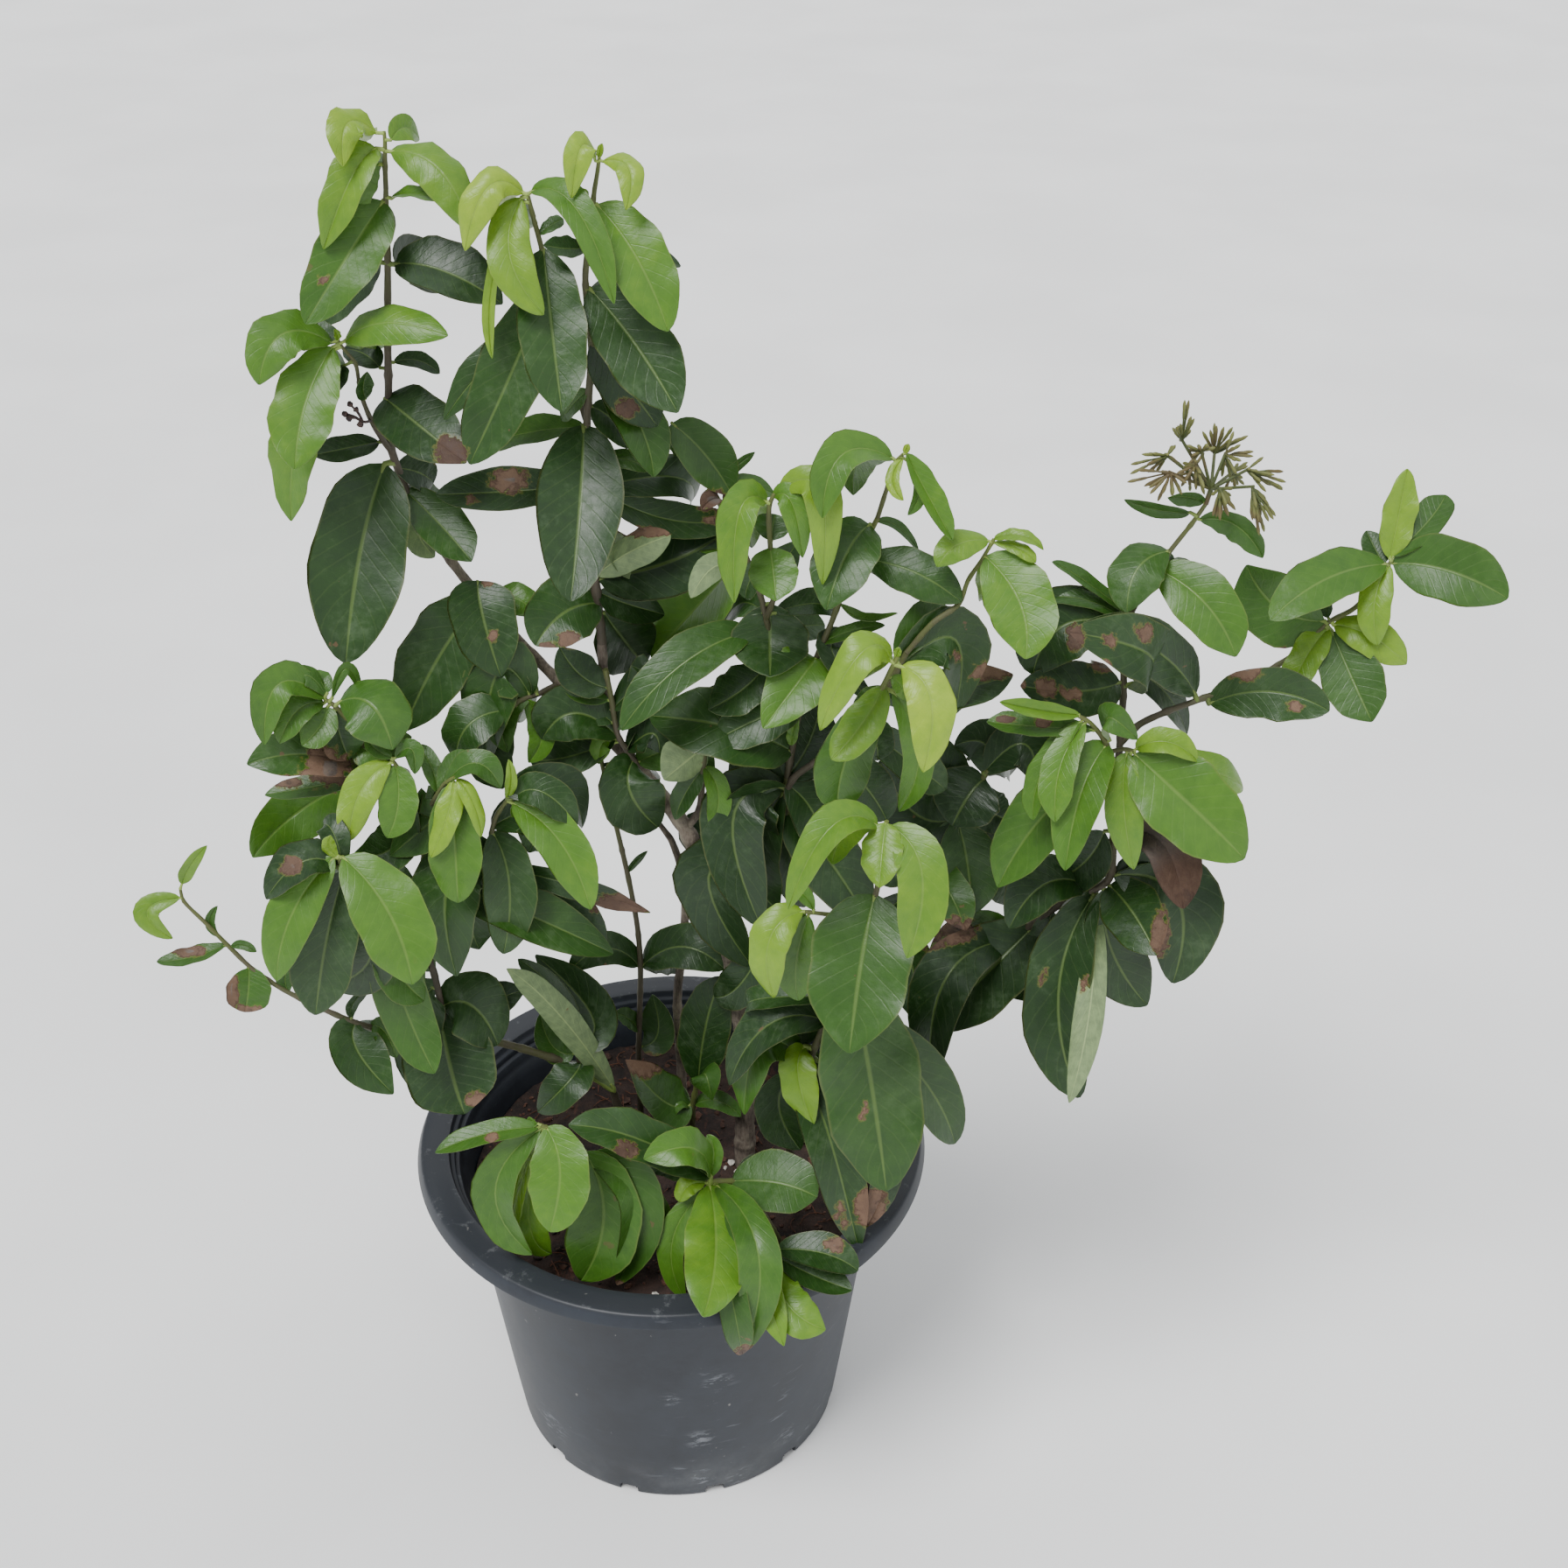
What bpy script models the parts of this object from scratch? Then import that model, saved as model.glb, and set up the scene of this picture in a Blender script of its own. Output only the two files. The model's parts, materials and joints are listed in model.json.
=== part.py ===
"""Potted ixora: a woody shrub with leathery opposite leaves, one budding flower head and a nursery pot."""
import math
import random

import bmesh
import bpy
from mathutils import Matrix, Vector
from mathutils.bvhtree import BVHTree

# Driving dimensions, metres
CM = 0.01
MM = 0.001
POT_H = 0.216
POT_RIM_R = 0.155
POT_LIP_INNER_R = 0.138
POT_LIP_T = 0.003
POT_COLLAR_R = 0.1575
POT_COLLAR_H = 0.009
POT_WALL_TOP_R = 0.1305
POT_BASE_R = 0.1055
POT_WALL = 0.0026
POT_FLOOR = 0.0035
POT_SIDES = 36
POT_FOOT_EDGE = 0.002
POT_FLARE_H = 0.012
POT_COLLAR_LEDGE = 0.004
POT_COLLAR_EDGE = 0.0005
POT_RIM_EDGE = 0.0012
POT_LIP_STEPS = ((0.0025, 0.003), (0.006, 0.009))
POT_STEP_FOOT_IN = 0.0008
POT_STEP_FOOT_DOWN = 0.017
DRAIN_NOTCHES = 12
NOTCH_DEEP = 0.009
NOTCH_HALF = 0.006
NOTCH_HIGH = 0.007
SOIL_TOP = 0.182
SOIL_SIDES = 24
SOIL_BUMPS = 0.0022
SOIL_SIDE_GAP = 0.0007
SOIL_BEVEL = 0.012
SOIL_ROUGH_R = 0.11
SOIL_RINGS = ((0.085, 0.001), (0.045, -0.001), (0.0, 0.0012))
SOIL_SEED = 11
HOLE_SIDES = 8
HOLE_ABOVE = 0.01
FOOT_Z = 0.150
GAP = 0.00035
BLADE_T = 0.0008
PETIOLE_R = 0.0010
LEAST_PETIOLE = 0.003
STEM_SIDES = 5
SPRIG_SIDES = 3
BUD_LENGTH = 0.0085
BUD_R = 0.0014
HUB_R = 0.0014
HEAD_STALK = (0.0015, 0.0012)
HUB_STALK = (0.0010, 0.0008)
KNOB_STALK = (0.0006, 0.0005)
HUB_ROOT = 0.85
LEAST_BUD_STALK = 0.25

# Standpoint from which the stem and leaf positions are given
VIEW_FROM = Vector((0.068, -0.944, 1.067))
VIEW_PITCH = math.radians(32.3)
VIEW_ROLL = math.radians(0.44)
VIEW_REACH = 2296.0
VIEW_MIDDLE = 896.0
AHEAD = Vector((0, math.cos(VIEW_PITCH), -math.sin(VIEW_PITCH)))
UPWARD = Vector((0, math.sin(VIEW_PITCH), math.cos(VIEW_PITCH)))
ACROSS = Vector((1, 0, 0))
PIXEL_RIGHT = math.cos(VIEW_ROLL) * ACROSS + math.sin(VIEW_ROLL) * UPWARD
PIXEL_UP = -math.sin(VIEW_ROLL) * ACROSS + math.cos(VIEW_ROLL) * UPWARD

# Half widths along a blade, as a share of the widest half, from petiole to tip
OVAL = ((0.0, 0.10), (0.32, 0.86), (0.70, 0.86), (1.0, 0.0))
# Shortest blade that is modelled, and the fold from which a blade gets a midrib crease (degrees)
LEAST_LEAF = 0.036
CREASE_FROM = 20
# Leaves turned to the back: how far they reach (cm), behind which width (pixels), behind every which one
BACK_REACH = 5.0
BACK_WIDTH = 44
BACK_EVERY = 10
BACK_FOLD = 10
BACK_SHARES = (0.62, 0.55, 0.85)

# Seating and fusing
CLEARANCE = 0.0003
END_REACH = 0.006
ROOT_SINK = 0.0012
STEM_HINT = Vector((0.3, -0.8, 0.5))
BUD_HINT = Vector((0.2, -0.7, 0.6))
FUSE_TRIES = 8
FUSE_SHIFT = 0.00002
MELTS = (0.00012, 0.00006, 0.00003, 0.000001)
LEAST_CRUMB = 12

# Colour and roughness of each material
COLOURS = {
    "pot_plastic": ((0.058, 0.062, 0.070), 0.55),
    "soil": ((0.035, 0.020, 0.014), 0.95),
    "bark": ((0.100, 0.078, 0.058), 0.85),
    "leaf_dark": ((0.030, 0.065, 0.022), 0.42),
    "leaf_mid": ((0.075, 0.165, 0.038), 0.45),
    "leaf_young": ((0.210, 0.370, 0.060), 0.48),
    "bud": ((0.230, 0.240, 0.090), 0.60),
    "dried_stalk": ((0.020, 0.013, 0.016), 0.80),
}
# Woody stems: foot (x, y, radius mm) in the soil, then picture points with depth (cm) and radius (mm)
WOODY_STEMS = [
    [(.045, .005, 6.5), (850, 1180, .2, 6.0), (838, 1106, 0, 5.5), (815, 1020, 0, 5.0), (782, 945, 0, 4.6),
     (744, 895, .6, 4.2), (694, 838, 1, 3.6), (633, 773, 2, 3.1), (572, 711, 3, 2.8), (515, 640, 3.6, 2.6),
     (468, 570, 4, 2.4)],
    [(697, 842, 1, 3.0), (690, 780, 1, 2.8), (688, 735, 1, 2.6)],
    [(840, 1112, 0, 3.4), (865, 1085, .3, 2.9), (880, 1056, .4, 2.6)],
    [(846, 1150, .1, 4.0), (900, 1145, .6, 3.6), (1000, 1108, 1, 3.4), (1080, 1098, .3, 3.0),
     (1150, 1080, -.4, 2.7)],
    [(784, 948, 0, 2.5), (799, 925, -.2, 2.0), (803, 888, -.4, 1.7)],
]
UPRIGHT_STEM = [
    [(.006, .034, 2.9), (774, 1144, 3, 2.7), (782, 1067, 2.6, 2.6), (782, 1006, 2.4, 2.4),
     (768, 962, 2.2, 2.0), (754, 942, 2.0, 1.6)],
]
# Leafy stems of the left side
SHOOTS = []


def shoot(name, grows_from, slot, stems, leaves):
    SHOOTS.append((name, grows_from, slot, stems, leaves))


shoot("left_leafy_stem", "woody_branches", "leaf_dark",
      [[(468, 570, 4, 2.4), (458, 545, 4, 2.2), (444, 500, 3.6, 2.1), (444, 440, 3.3, 2.0),
        (443, 390, 3, 1.9), (443, 302, 3, 1.7), (441, 230, 3, 1.4), (441, 215.5, 3, 1.3)],
       [(444, 520, 3.8, 1.6), (428, 488, 2.6, 1.4), (415, 458, 2.0, 1.2), (410, 436, 1.8, 1.1)]],
      [(438, 230, 402, 285, 349, 370, 75, 3.2, 15, 8, .35),
       (447, 226, 475, 222, 511, 233, 26, 1.5, -55, 10, .50),
       (452, 302, 505, 309, 575, 345, 75, 1.5, -30, 8, .02),
       (435, 300, 412, 322, 365, 374, 45, -1.5, 30, 5, .02),
       (450, 414, 478, 412, 502, 427, 22, -1.0, -30, 5, .10),
       (434, 420, 415, 404, 393, 400, 38, -1.6, 25, 5, .03),
       (440, 455, 476, 484, 533, 531, 78, 4.0, -10, 6, .05),
       (418, 456, 415, 442, 421, 428, 24, .6, 40, 5, .10),
       (433, 505, 398, 512, 357, 521, 32, 2.5, 25, 5, .05),
       (440, 530, 412, 630, 395, 758, 110, 5.5, 8, 6, .06),
       (452, 535, 478, 540, 496, 552, 44, -1.4, -20, 5, .02),
       (462, 560, 503, 600, 539, 643, 60, 3.0, -20, 10, .15),
       (470, 580, 478, 612, 497, 636, 34, 1.0, 150, 10, .15),
       (474, 597, 466, 602, 456, 600, 24, -1.0, 20, 5, .02)])


# Tall left stem
shoot("left_top_leaves", "left_leafy_stem", "leaf_young",
      [[(441, 212, 3, 1.3), (440, 190, 3, 1.2), (440, 163, 3, 1.0), (439, 150, 3, .8)]],
      [(430, 152, 397, 141, 393, 190, 45, 2.0, 20, 15, .80),
       (430, 170, 402, 202, 368, 285, 55, 2.5, 30, 30, .65),
       (434, 188, 414, 208, 405, 255, 35, .6, -30, 10, .50),
       (447, 160, 463, 146, 484, 158, 34, -2.0, -25, 10, .60),
       (446, 173, 500, 192, 540, 264, 55, 2.5, -20, -12, .60)])


shoot("left_side_shoot", "left_leafy_stem", "leaf_mid",
      [[(409.6, 433, 1.8, 1.0), (406, 415, 1.6, 1.0), (392, 398, 1.4, .9), (386, 388, 1.4, .8)]],
      [(387, 388, 385, 383, 382, 376, 10, .3, 20, 20, .70),
       (394, 390, 440, 369, 512, 384, 50, 1.6, -25, -8, .60),
       (385, 392, 362, 378, 330, 366, 30, -1.5, 30, 5, .10),
       (380, 397, 349, 460, 337, 535, 75, 4.0, 15, 12, .55),
       (379, 392, 322, 382, 295, 440, 60, 2.8, 20, 8, .50),
       (378, 402, 341, 490, 330, 597, 60, 1.2, 25, 15, .60),
       (392, 418, 388, 430, 386, 446, 26, 1.0, 20, 8, .03)])


shoot("dried_fruit_stalk", "left_leafy_stem", "dried_stalk",
      [[(424, 494, 1.6, .8), (415, 482, 1.3, .7), (400, 474, 1.0, .6)]], [])


shoot("middle_leafy_stem", "woody_branches", "leaf_dark",
      [[(688, 735, 1, 2.6), (680, 660, 1, 2.4), (672, 560, 1, 2.2), (671, 480, 1, 2.0),
        (676, 400, .6, 1.8), (669, 320, .2, 1.6), (674, 265, 0, 1.4), (679.6, 215.5, 0, 1.2)]],
      [(674, 237, 664, 223, 652, 229, 20, .6, 30, 5, .60),
       (682, 234, 728, 295, 764, 377, 75, 3.2, -10, 12, .55),
       (680, 275, 735, 288, 778, 304, 32, -1.6, -45, 8, .10),
       (668, 283, 646, 284, 622, 279, 28, .8, 30, 5, .10),
       (674, 330, 725, 392, 775, 472, 85, 3.4, -5, 8, .10),
       (676, 392, 712, 435, 752, 487, 75, .8, -20, 5, .02),
       (680, 420, 728, 480, 747, 545, 60, 2.2, -15, 8, .25),
       (676, 465, 700, 480, 726, 512, 45, .6, -25, 5, .03),
       (680, 530, 710, 524, 747, 537, 25, 1.0, -30, 5, .25),
       (672, 446, 655, 462, 641, 480, 28, -.8, 30, 5, .30),
       (668, 488, 605, 494, 547, 508, 40, -2.2, 40, 5, .35),
       (667, 486, 663, 575, 653, 688, 98, 6.0, 0, 5, .06),
       (664, 556, 580, 562, 500, 567, 55, -1.0, 25, 8, .02),
       (676, 560, 770, 545, 800, 575, 60, -2.5, -35, 6, .05),
       (678, 590, 730, 640, 765, 608, 58, -1.8, 150, 10, .20),
       (684, 662, 770, 640, 826, 602, 105, -.5, -25, 6, .03),
       (686, 690, 645, 700, 612, 738, 82, 3.0, 15, 8, .12),
       (690, 700, 712, 730, 738, 762, 80, -1.6, -10, 5, .02)])


# Drooping shoot left of the middle
shoot("drooping_shoot", "middle_leafy_stem", "leaf_mid",
      [[(674, 478, 1.6, 1.6), (668, 475, 1.5, 1.6), (655, 425, 1.2, 1.5), (635, 350, .8, 1.4),
        (618, 280, .4, 1.3), (610, 250, .2, 1.2), (603, 222, 0, 1.0)]],
      [(598, 221, 558, 214, 530, 287, 46, 2.0, 20, 20, .85),
       (596, 226, 582, 290, 618, 357, 56, 3.0, 5, 15, .70),
       (595, 232, 563, 320, 562, 410, 20, 1.6, 40, 25, .75),
       (607, 219, 658, 238, 702, 347, 42, 2.4, -20, 15, .50),
       (616, 268, 632, 256, 644, 250, 20, -.6, -40, 5, .30),
       (621, 284, 630, 370, 642, 471, 80, 4.0, -5, 6, .15),
       (624, 330, 585, 425, 537, 530, 80, 2.6, 10, 8, .15),
       (640, 398, 575, 405, 505, 480, 50, 1.5, 20, 10, .12)])


# Tall stem in the middle
shoot("middle_top_leaves", "middle_leafy_stem", "leaf_young",
      [[(680, 212, 0, 1.2), (683, 195, 0, 1.0), (685, 178, 0, .8)]],
      [(681, 184, 664, 168, 655, 227, 38, 2.0, 15, 20, .85),
       (689, 184, 719, 193, 716, 240, 35, 2.0, -15, 20, .85),
       (684, 180, 686, 172, 687, 165, 9, .2, 0, 20, .80)])


shoot("right_lower_leaves", "woody_branches", "leaf_dark",
      [[(1150, 1080, -.4, 2.6), (1210, 1034, -1.6, 2.4), (1266, 1006, -3, 2.2), (1272, 960, -3.4, 2.0),
        (1273, 908, -3.6, 2.0)]],
      [(1274, 950, 1330, 965, 1352, 1042, 58, 3.0, -10, 15, .05),
       (1272, 1000, 1345, 1025, 1340, 1122, 96, 2.0, -10, 8, .03),
       (1268, 1012, 1296, 1045, 1322, 1092, 70, 4.4, -5, 6, .06),
       (1262, 1016, 1270, 1085, 1312, 1150, 70, 1.0, -10, 6, .02),
       (1252, 1020, 1210, 1130, 1231, 1260, 82, 5.4, 5, 20, .03),
       (1246, 1014, 1195, 1010, 1150, 1062, 60, 2.2, 15, 6, .06),
       (1262, 950, 1240, 985, 1200, 1010, 60, -1.0, 10, 6, .03),
       (1200, 1040, 1190, 1100, 1150, 1135, 60, 1.8, 15, 6, .04),
       (1180, 1060, 1130, 1110, 1062, 1176, 96, 3.2, 12, 6, .05),
       (1160, 1066, 1110, 1062, 1062, 1102, 50, .6, -20, 10, .30),
       (1150, 1076, 1080, 1120, 1062, 1236, 70, .4, 15, 6, .03)])


# Right side, with the flower stem
shoot("flower_stem_leaves", "right_lower_leaves", "leaf_mid",
      [[(1273, 908, -3.6, 2.0), (1279, 860, -2.2, 2.0), (1284, 790, -.8, 1.9), (1286, 720, 0, 1.7),
        (1310, 668, 0, 1.5), (1337, 630, 0, 1.3),
        (1364, 596, 0, 1.2), (1378, 576, 0, 1.1)]],
      [(1360, 586, 1325, 583, 1284, 574, 22, -1.0, -40, 12, .30),
       (1376, 574, 1358, 568, 1334, 568, 22, .8, -30, 15, .30),
       (1371, 594, 1412, 600, 1443, 638, 36, 1.0, 30, 15, .35),
       (1336, 630, 1300, 650, 1288, 700, 64, 2.4, 15, -15, .20),
       (1322, 650, 1378, 690, 1414, 750, 72, 3.4, -10, 10, .45),
       (1290, 702, 1240, 664, 1203, 641, 22, -.6, 40, 20, .30),
       (1286, 708, 1235, 684, 1182, 684, 26, -.6, 40, 8, .20),
       (1286, 716, 1215, 715, 1180, 772, 88, 1.8, 15, 8, .10),
       (1288, 784, 1315, 750, 1225, 722, 78, 4.2, 30, 6, .05),
       (1280, 780, 1232, 790, 1166, 784, 66, 1.0, 10, 6, .05),
       (1290, 768, 1330, 790, 1352, 838, 44, -1.6, -30, 6, .10)])


shoot("right_leafy_branch", "flower_stem_leaves", "leaf_mid",
      [[(1280, 850, -2.0, 2.0), (1302, 828, -1.4, 1.9), (1334, 813, -1, 1.8), (1364, 802, -.6, 1.7),
        (1400, 788, -.4, 1.6),
        (1448, 767, 0, 1.5), (1478, 748, .2, 1.4), (1517, 712, .4, 1.4), (1548, 695, .5, 1.3),
        (1575, 664, .6, 1.2), (1590, 641, .6, 1.0)]],
      [(1382, 804, 1450, 790, 1519, 811, 64, 2.0, 15, 8, .10),
       (1519, 718, 1492, 752, 1468, 804, 42, 2.4, 10, 15, .70),
       (1522, 722, 1545, 775, 1567, 823, 70, 3.6, -5, 6, .30),
       (1524, 714, 1567, 727, 1610, 760, 46, 2.0, -20, 12, .75),
       (1588, 646, 1571, 688, 1575, 738, 40, 2.4, 5, 12, .70),
       (1588, 638, 1598, 591, 1609, 536, 42, -1.4, 10, 20, .75),
       (1592, 636, 1632, 596, 1652, 566, 44, -2.4, -20, 8, .30),
       (1592, 644, 1655, 652, 1723, 684, 76, 2.4, -10, 8, .30),
       (1584, 645, 1515, 662, 1452, 710, 62, 3.2, 15, -8, .40),
       (1514, 710, 1462, 696, 1424, 650, 84, -1.0, -10, 8, .35),
       (1582, 644, 1572, 628, 1562, 606, 32, -1.4, 20, 8, .10),
       (1518, 706, 1516, 696, 1520, 682, 14, -.8, 0, 15, .10)])


# Bright cluster below the flower stem
shoot("right_young_cluster", "flower_stem_leaves", "leaf_young",
      [[(1276, 884, -2.9, 1.8), (1271, 868, -3.8, 1.7), (1262, 846, -4.2, 1.5), (1246, 826, -4.4, 1.2),
        (1232, 818, -4.4, 1.0)],
       [(1268, 860, -4, 1.4), (1282, 856, -4.2, 1.2), (1296, 858, -4.4, 1.0)]],
      [(1234, 817, 1190, 812, 1143, 802, 24, .8, 10, 30, .60),
       (1268, 846, 1268, 820, 1300, 846, 36, 1.4, -20, 15, .35),
       (1298, 856, 1335, 848, 1372, 870, 36, .8, -20, 25, .70),
       (1297, 862, 1357, 917, 1426, 982, 100, 4.0, -5, 8, .50),
       (1292, 866, 1380, 880, 1424, 900, 46, -3.0, -20, 8, .65),
       (1288, 860, 1284, 917, 1295, 996, 44, 2.6, 5, 12, .65),
       (1266, 850, 1236, 905, 1218, 994, 60, 3.6, 10, 14, .50),
       (1240, 826, 1211, 878, 1207, 940, 44, 3.0, 15, 20, .55),
       (1236, 824, 1192, 880, 1182, 936, 32, 1.6, 30, 10, .45),
       (1250, 834, 1180, 830, 1128, 824, 34, -.4, 30, 10, .35),
       (1264, 884, 1195, 930, 1142, 1012, 76, 1.6, 15, 12, .40)])


# Dark leaves behind the bright clusters, right of the middle
shoot("inner_right_leaves", "woody_branches", "leaf_dark",
      [[(1000, 1108, 1, 2.4), (1030, 1040, 1, 2.2), (1062, 985, 1, 2.0), (1096, 930, .8, 1.8),
        (1130, 880, .6, 1.6)]],
      [(1128, 886, 1125, 850, 1090, 852, 56, -1.4, 10, 5, .03),
       (1124, 884, 1170, 850, 1186, 900, 58, .6, -15, 5, .02),
       (1118, 900, 1130, 925, 1156, 938, 50, .4, -10, 5, .03),
       (1126, 890, 1108, 908, 1088, 944, 80, 1.6, 10, 5, .02),
       (1056, 1000, 1030, 985, 985, 1000, 60, .4, 10, 5, .08),
       (1094, 936, 1106, 990, 1110, 1046, 72, 2.0, -8, 6, .12),
       (1092, 938, 1075, 985, 1075, 1044, 40, 1.2, 15, 6, .12),
       (1100, 940, 1150, 990, 1168, 1040, 70, -.4, -15, 6, .04),
       (1060, 990, 1085, 1020, 1104, 1066, 50, 2.6, -10, 5, .30),
       (1040, 1020, 1010, 1060, 1050, 1098, 60, .4, 0, 6, .05),
       (1020, 1060, 1044, 1110, 1046, 1170, 60, .6, -10, 6, .04)])


shoot("front_leafy_stem", "soil", "leaf_mid",
      [[(.078, -.036, 2.5), (900, 1262, -4.4, 2.4), (930, 1200, -6, 2.2), (965, 1120, -8, 2.0),
        (985, 1064, -8.8, 1.9),
        (989, 1052.5, -9, 1.8)]],
      [(975, 1124, 996, 1240, 1013, 1360, 118, 3.6, -4, 8, .20),
       (920, 1196, 912, 1228, 928, 1290, 46, 2.4, 5, 12, .70),
       (914, 1206, 868, 1196, 850, 1274, 58, 2.0, 20, 10, .35),
       (910, 1226, 890, 1262, 915, 1316, 60, .6, -10, 6, .08),
       (962, 1140, 880, 1140, 848, 1148, 36, -1.6, 35, 5, .12),
       (948, 1168, 880, 1170, 830, 1240, 60, .2, 25, 6, .06),
       (916, 1220, 948, 1300, 985, 1438, 62, 1.4, -10, 8, .10),
       (930, 1210, 1010, 1300, 992, 1412, 46, 1.0, -15, 6, .05),
       (958, 1150, 1048, 1225, 1096, 1312, 66, .4, -10, 6, .12)])


# Bright cluster at the front of the middle
shoot("front_young_cluster", "front_leafy_stem", "leaf_young",
      [[(990, 1050, -9, 1.8), (1002, 1018, -9.4, 1.6), (1006, 985, -9.6, 1.4), (1010, 950, -9.8, 1.2),
        (1014, 938, -9.8, 1.0)],
       [(990, 1049, -9, 1.5), (955, 1046, -9.4, 1.3), (920, 1042, -9.6, 1.0)]],
      [(1003, 944, 950, 945, 899, 1040, 48, 3.0, 20, 20, .60),
       (1012, 940, 1008, 975, 1004, 1014, 50, 2.4, 5, 12, .65),
       (1018, 944, 1054, 1000, 1038, 1098, 62, 3.8, -8, 10, .60),
       (1000, 1022, 984, 1102, 972, 1202, 120, 4.4, 5, 8, .30),
       (918, 1042, 880, 1072, 876, 1147, 52, 2.4, 12, 14, .75),
       (924, 1046, 910, 1100, 912, 1146, 44, .6, 5, 10, .40),
       (930, 1040, 915, 1020, 905, 1036, 22, -.6, 20, 20, .50)])


# Dark leaves in the middle of the bush
shoot("inner_middle_leaves", "woody_branches", "leaf_dark",
      [[(880, 1056, .4, 2.4), (893, 990, 0, 2.2), (897, 935, -.2, 2.1), (900, 888, -.4, 2.0)]],
      [(896, 900, 838, 935, 870, 1060, 78, 3.0, 12, 8, .03),
       (896, 905, 862, 985, 890, 1048, 62, 1.0, 5, 6, .02),
       (894, 930, 905, 985, 925, 1040, 56, .6, -10, 6, .05),
       (896, 925, 945, 980, 990, 1052, 76, .8, -12, 6, .06),
       (898, 896, 930, 930, 945, 985, 60, 1.0, -15, 6, .05),
       (895, 912, 860, 876, 838, 900, 50, -1.0, 15, 6, .10),
       (888, 1000, 810, 1000, 858, 1118, 76, 1.4, 18, 6, .02),
       (886, 1020, 820, 960, 776, 960, 60, -1.6, 20, 6, .02),
       (884, 1044, 900, 1090, 940, 1130, 60, 1.0, -15, 6, .04),
       (884, 1050, 850, 1120, 815, 1140, 50, -.6, 20, 6, .03)])


# Bright leaves and the hanging leaf over the middle
shoot("upper_middle_leaves", "inner_middle_leaves", "leaf_mid",
      [[(896, 925, -.2, 1.8), (885, 885, .9, 1.8), (885, 850, .8, 1.7), (885, 770, -.4, 1.7),
        (872, 690, -1, 1.6), (850, 630, -1, 1.5),
        (815, 560, 0, 1.3), (790, 510, .6, 1.2), (772, 488, .8, 1.0)]],
      [(768, 484, 806, 520, 836, 566, 62, .8, -15, 10, .20),
       (816, 556, 838, 536, 862, 516, 14, -1.0, 30, 10, .30),
       (838, 590, 850, 560, 884, 566, 40, -1.6, -30, 5, .30),
       (822, 570, 812, 572, 802, 582, 26, 1.4, 20, 30, .10),
       (846, 640, 800, 690, 742, 752, 92, -3.0, 10, 8, .45),
       (842, 650, 815, 648, 790, 682, 34, .4, 160, 5, .30),
       (872, 700, 845, 690, 818, 720, 40, -2.0, 30, 5, .20),
       (858, 722, 782, 757, 705, 832, 62, 4.0, 20, 8, .20),
       (880, 690, 880, 730, 880, 773, 92, 4.6, 0, 8, .12),
       (886, 700, 935, 690, 958, 706, 36, -1.0, -30, 8, .10),
       (888, 720, 912, 716, 946, 712, 44, -2.2, -30, 5, .30),
       (876, 760, 846, 790, 810, 808, 60, 1.4, 20, 8, .12),
       (898, 790, 850, 800, 806, 785, 50, -2.0, 30, 5, .03)])


shoot("curled_middle_shoot", "upper_middle_leaves", "leaf_young",
      [[(875, 706, -.85, 1.6), (884, 684, -2.0, 1.5), (884, 660, -2.8, 1.5), (880, 620, -3.2, 1.4),
        (879, 580, -3.4, 1.3),
        (884, 566, -3.4, 1.1), (892, 558, -3.3, .8)]],
      [(876, 574, 845, 585, 839, 689, 48, 2.6, 10, 20, .60),
       (890, 562, 938, 562, 938, 674, 46, 2.4, -15, 20, .70),
       (884, 568, 905, 575, 918, 640, 34, 1.4, -10, 15, .55),
       (880, 626, 884, 655, 887, 686, 57, 2.4, 0, 5, .45),
       (882, 618, 883, 602, 886, 588, 42, -1.2, 0, 5, .30),
       (876, 640, 858, 662, 852, 684, 30, -1.0, 20, 5, .08)])


shoot("upper_right_leafy_stem", "inner_middle_leaves", "leaf_mid",
      [[(900, 888, -.4, 2.0), (912, 820, -1, 1.9), (930, 760, -1.4, 1.7), (950, 712, -1.6, 1.6),
        (972, 655, -1.8, 1.5), (996, 606, -1.9, 1.4), (1003, 591.5, -2, 1.3)]],
      [(994, 600, 968, 632, 944, 697, 75, 3.4, 10, 8, .20),
       (1002, 596, 1026, 602, 1052, 632, 14, -.6, -30, 10, .20),
       (990, 640, 1048, 655, 1098, 689, 54, 2.0, -10, -8, .15),
       (960, 690, 990, 708, 1022, 697, 18, .8, -50, 15, .45),
       (940, 735, 970, 722, 1010, 712, 22, .6, -40, 10, .35),
       (918, 800, 870, 820, 815, 845, 60, 1.2, 10, 5, .10),
       (932, 752, 918, 772, 872, 832, 75, 3.8, 12, 10, .50),
       (906, 860, 838, 832, 742, 818, 88, -.8, 35, 6, .12),
       (912, 815, 906, 838, 905, 852, 14, .4, 10, 15, .55)])


# Stems at the top, right of the middle
shoot("upper_right_young_shoot", "upper_right_leafy_stem", "leaf_young",
      [[(1004, 588, -2, 1.3), (1013, 560, -2.4, 1.2), (1022, 530, -2.8, 1.0), (1032, 519, -3, .8)]],
      [(1020, 524, 962, 520, 940, 592, 50, 2.6, 20, 15, .45),
       (1032, 524, 1020, 548, 1032, 572, 18, 1.4, 10, 20, .85),
       (1036, 526, 1052, 556, 1037, 588, 20, .6, -20, 15, .45),
       (1036, 518, 1062, 568, 1092, 616, 34, 1.6, -30, 25, .50),
       (1034, 518, 1036, 513, 1038, 508, 9, .2, 0, 20, .85)])


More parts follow.
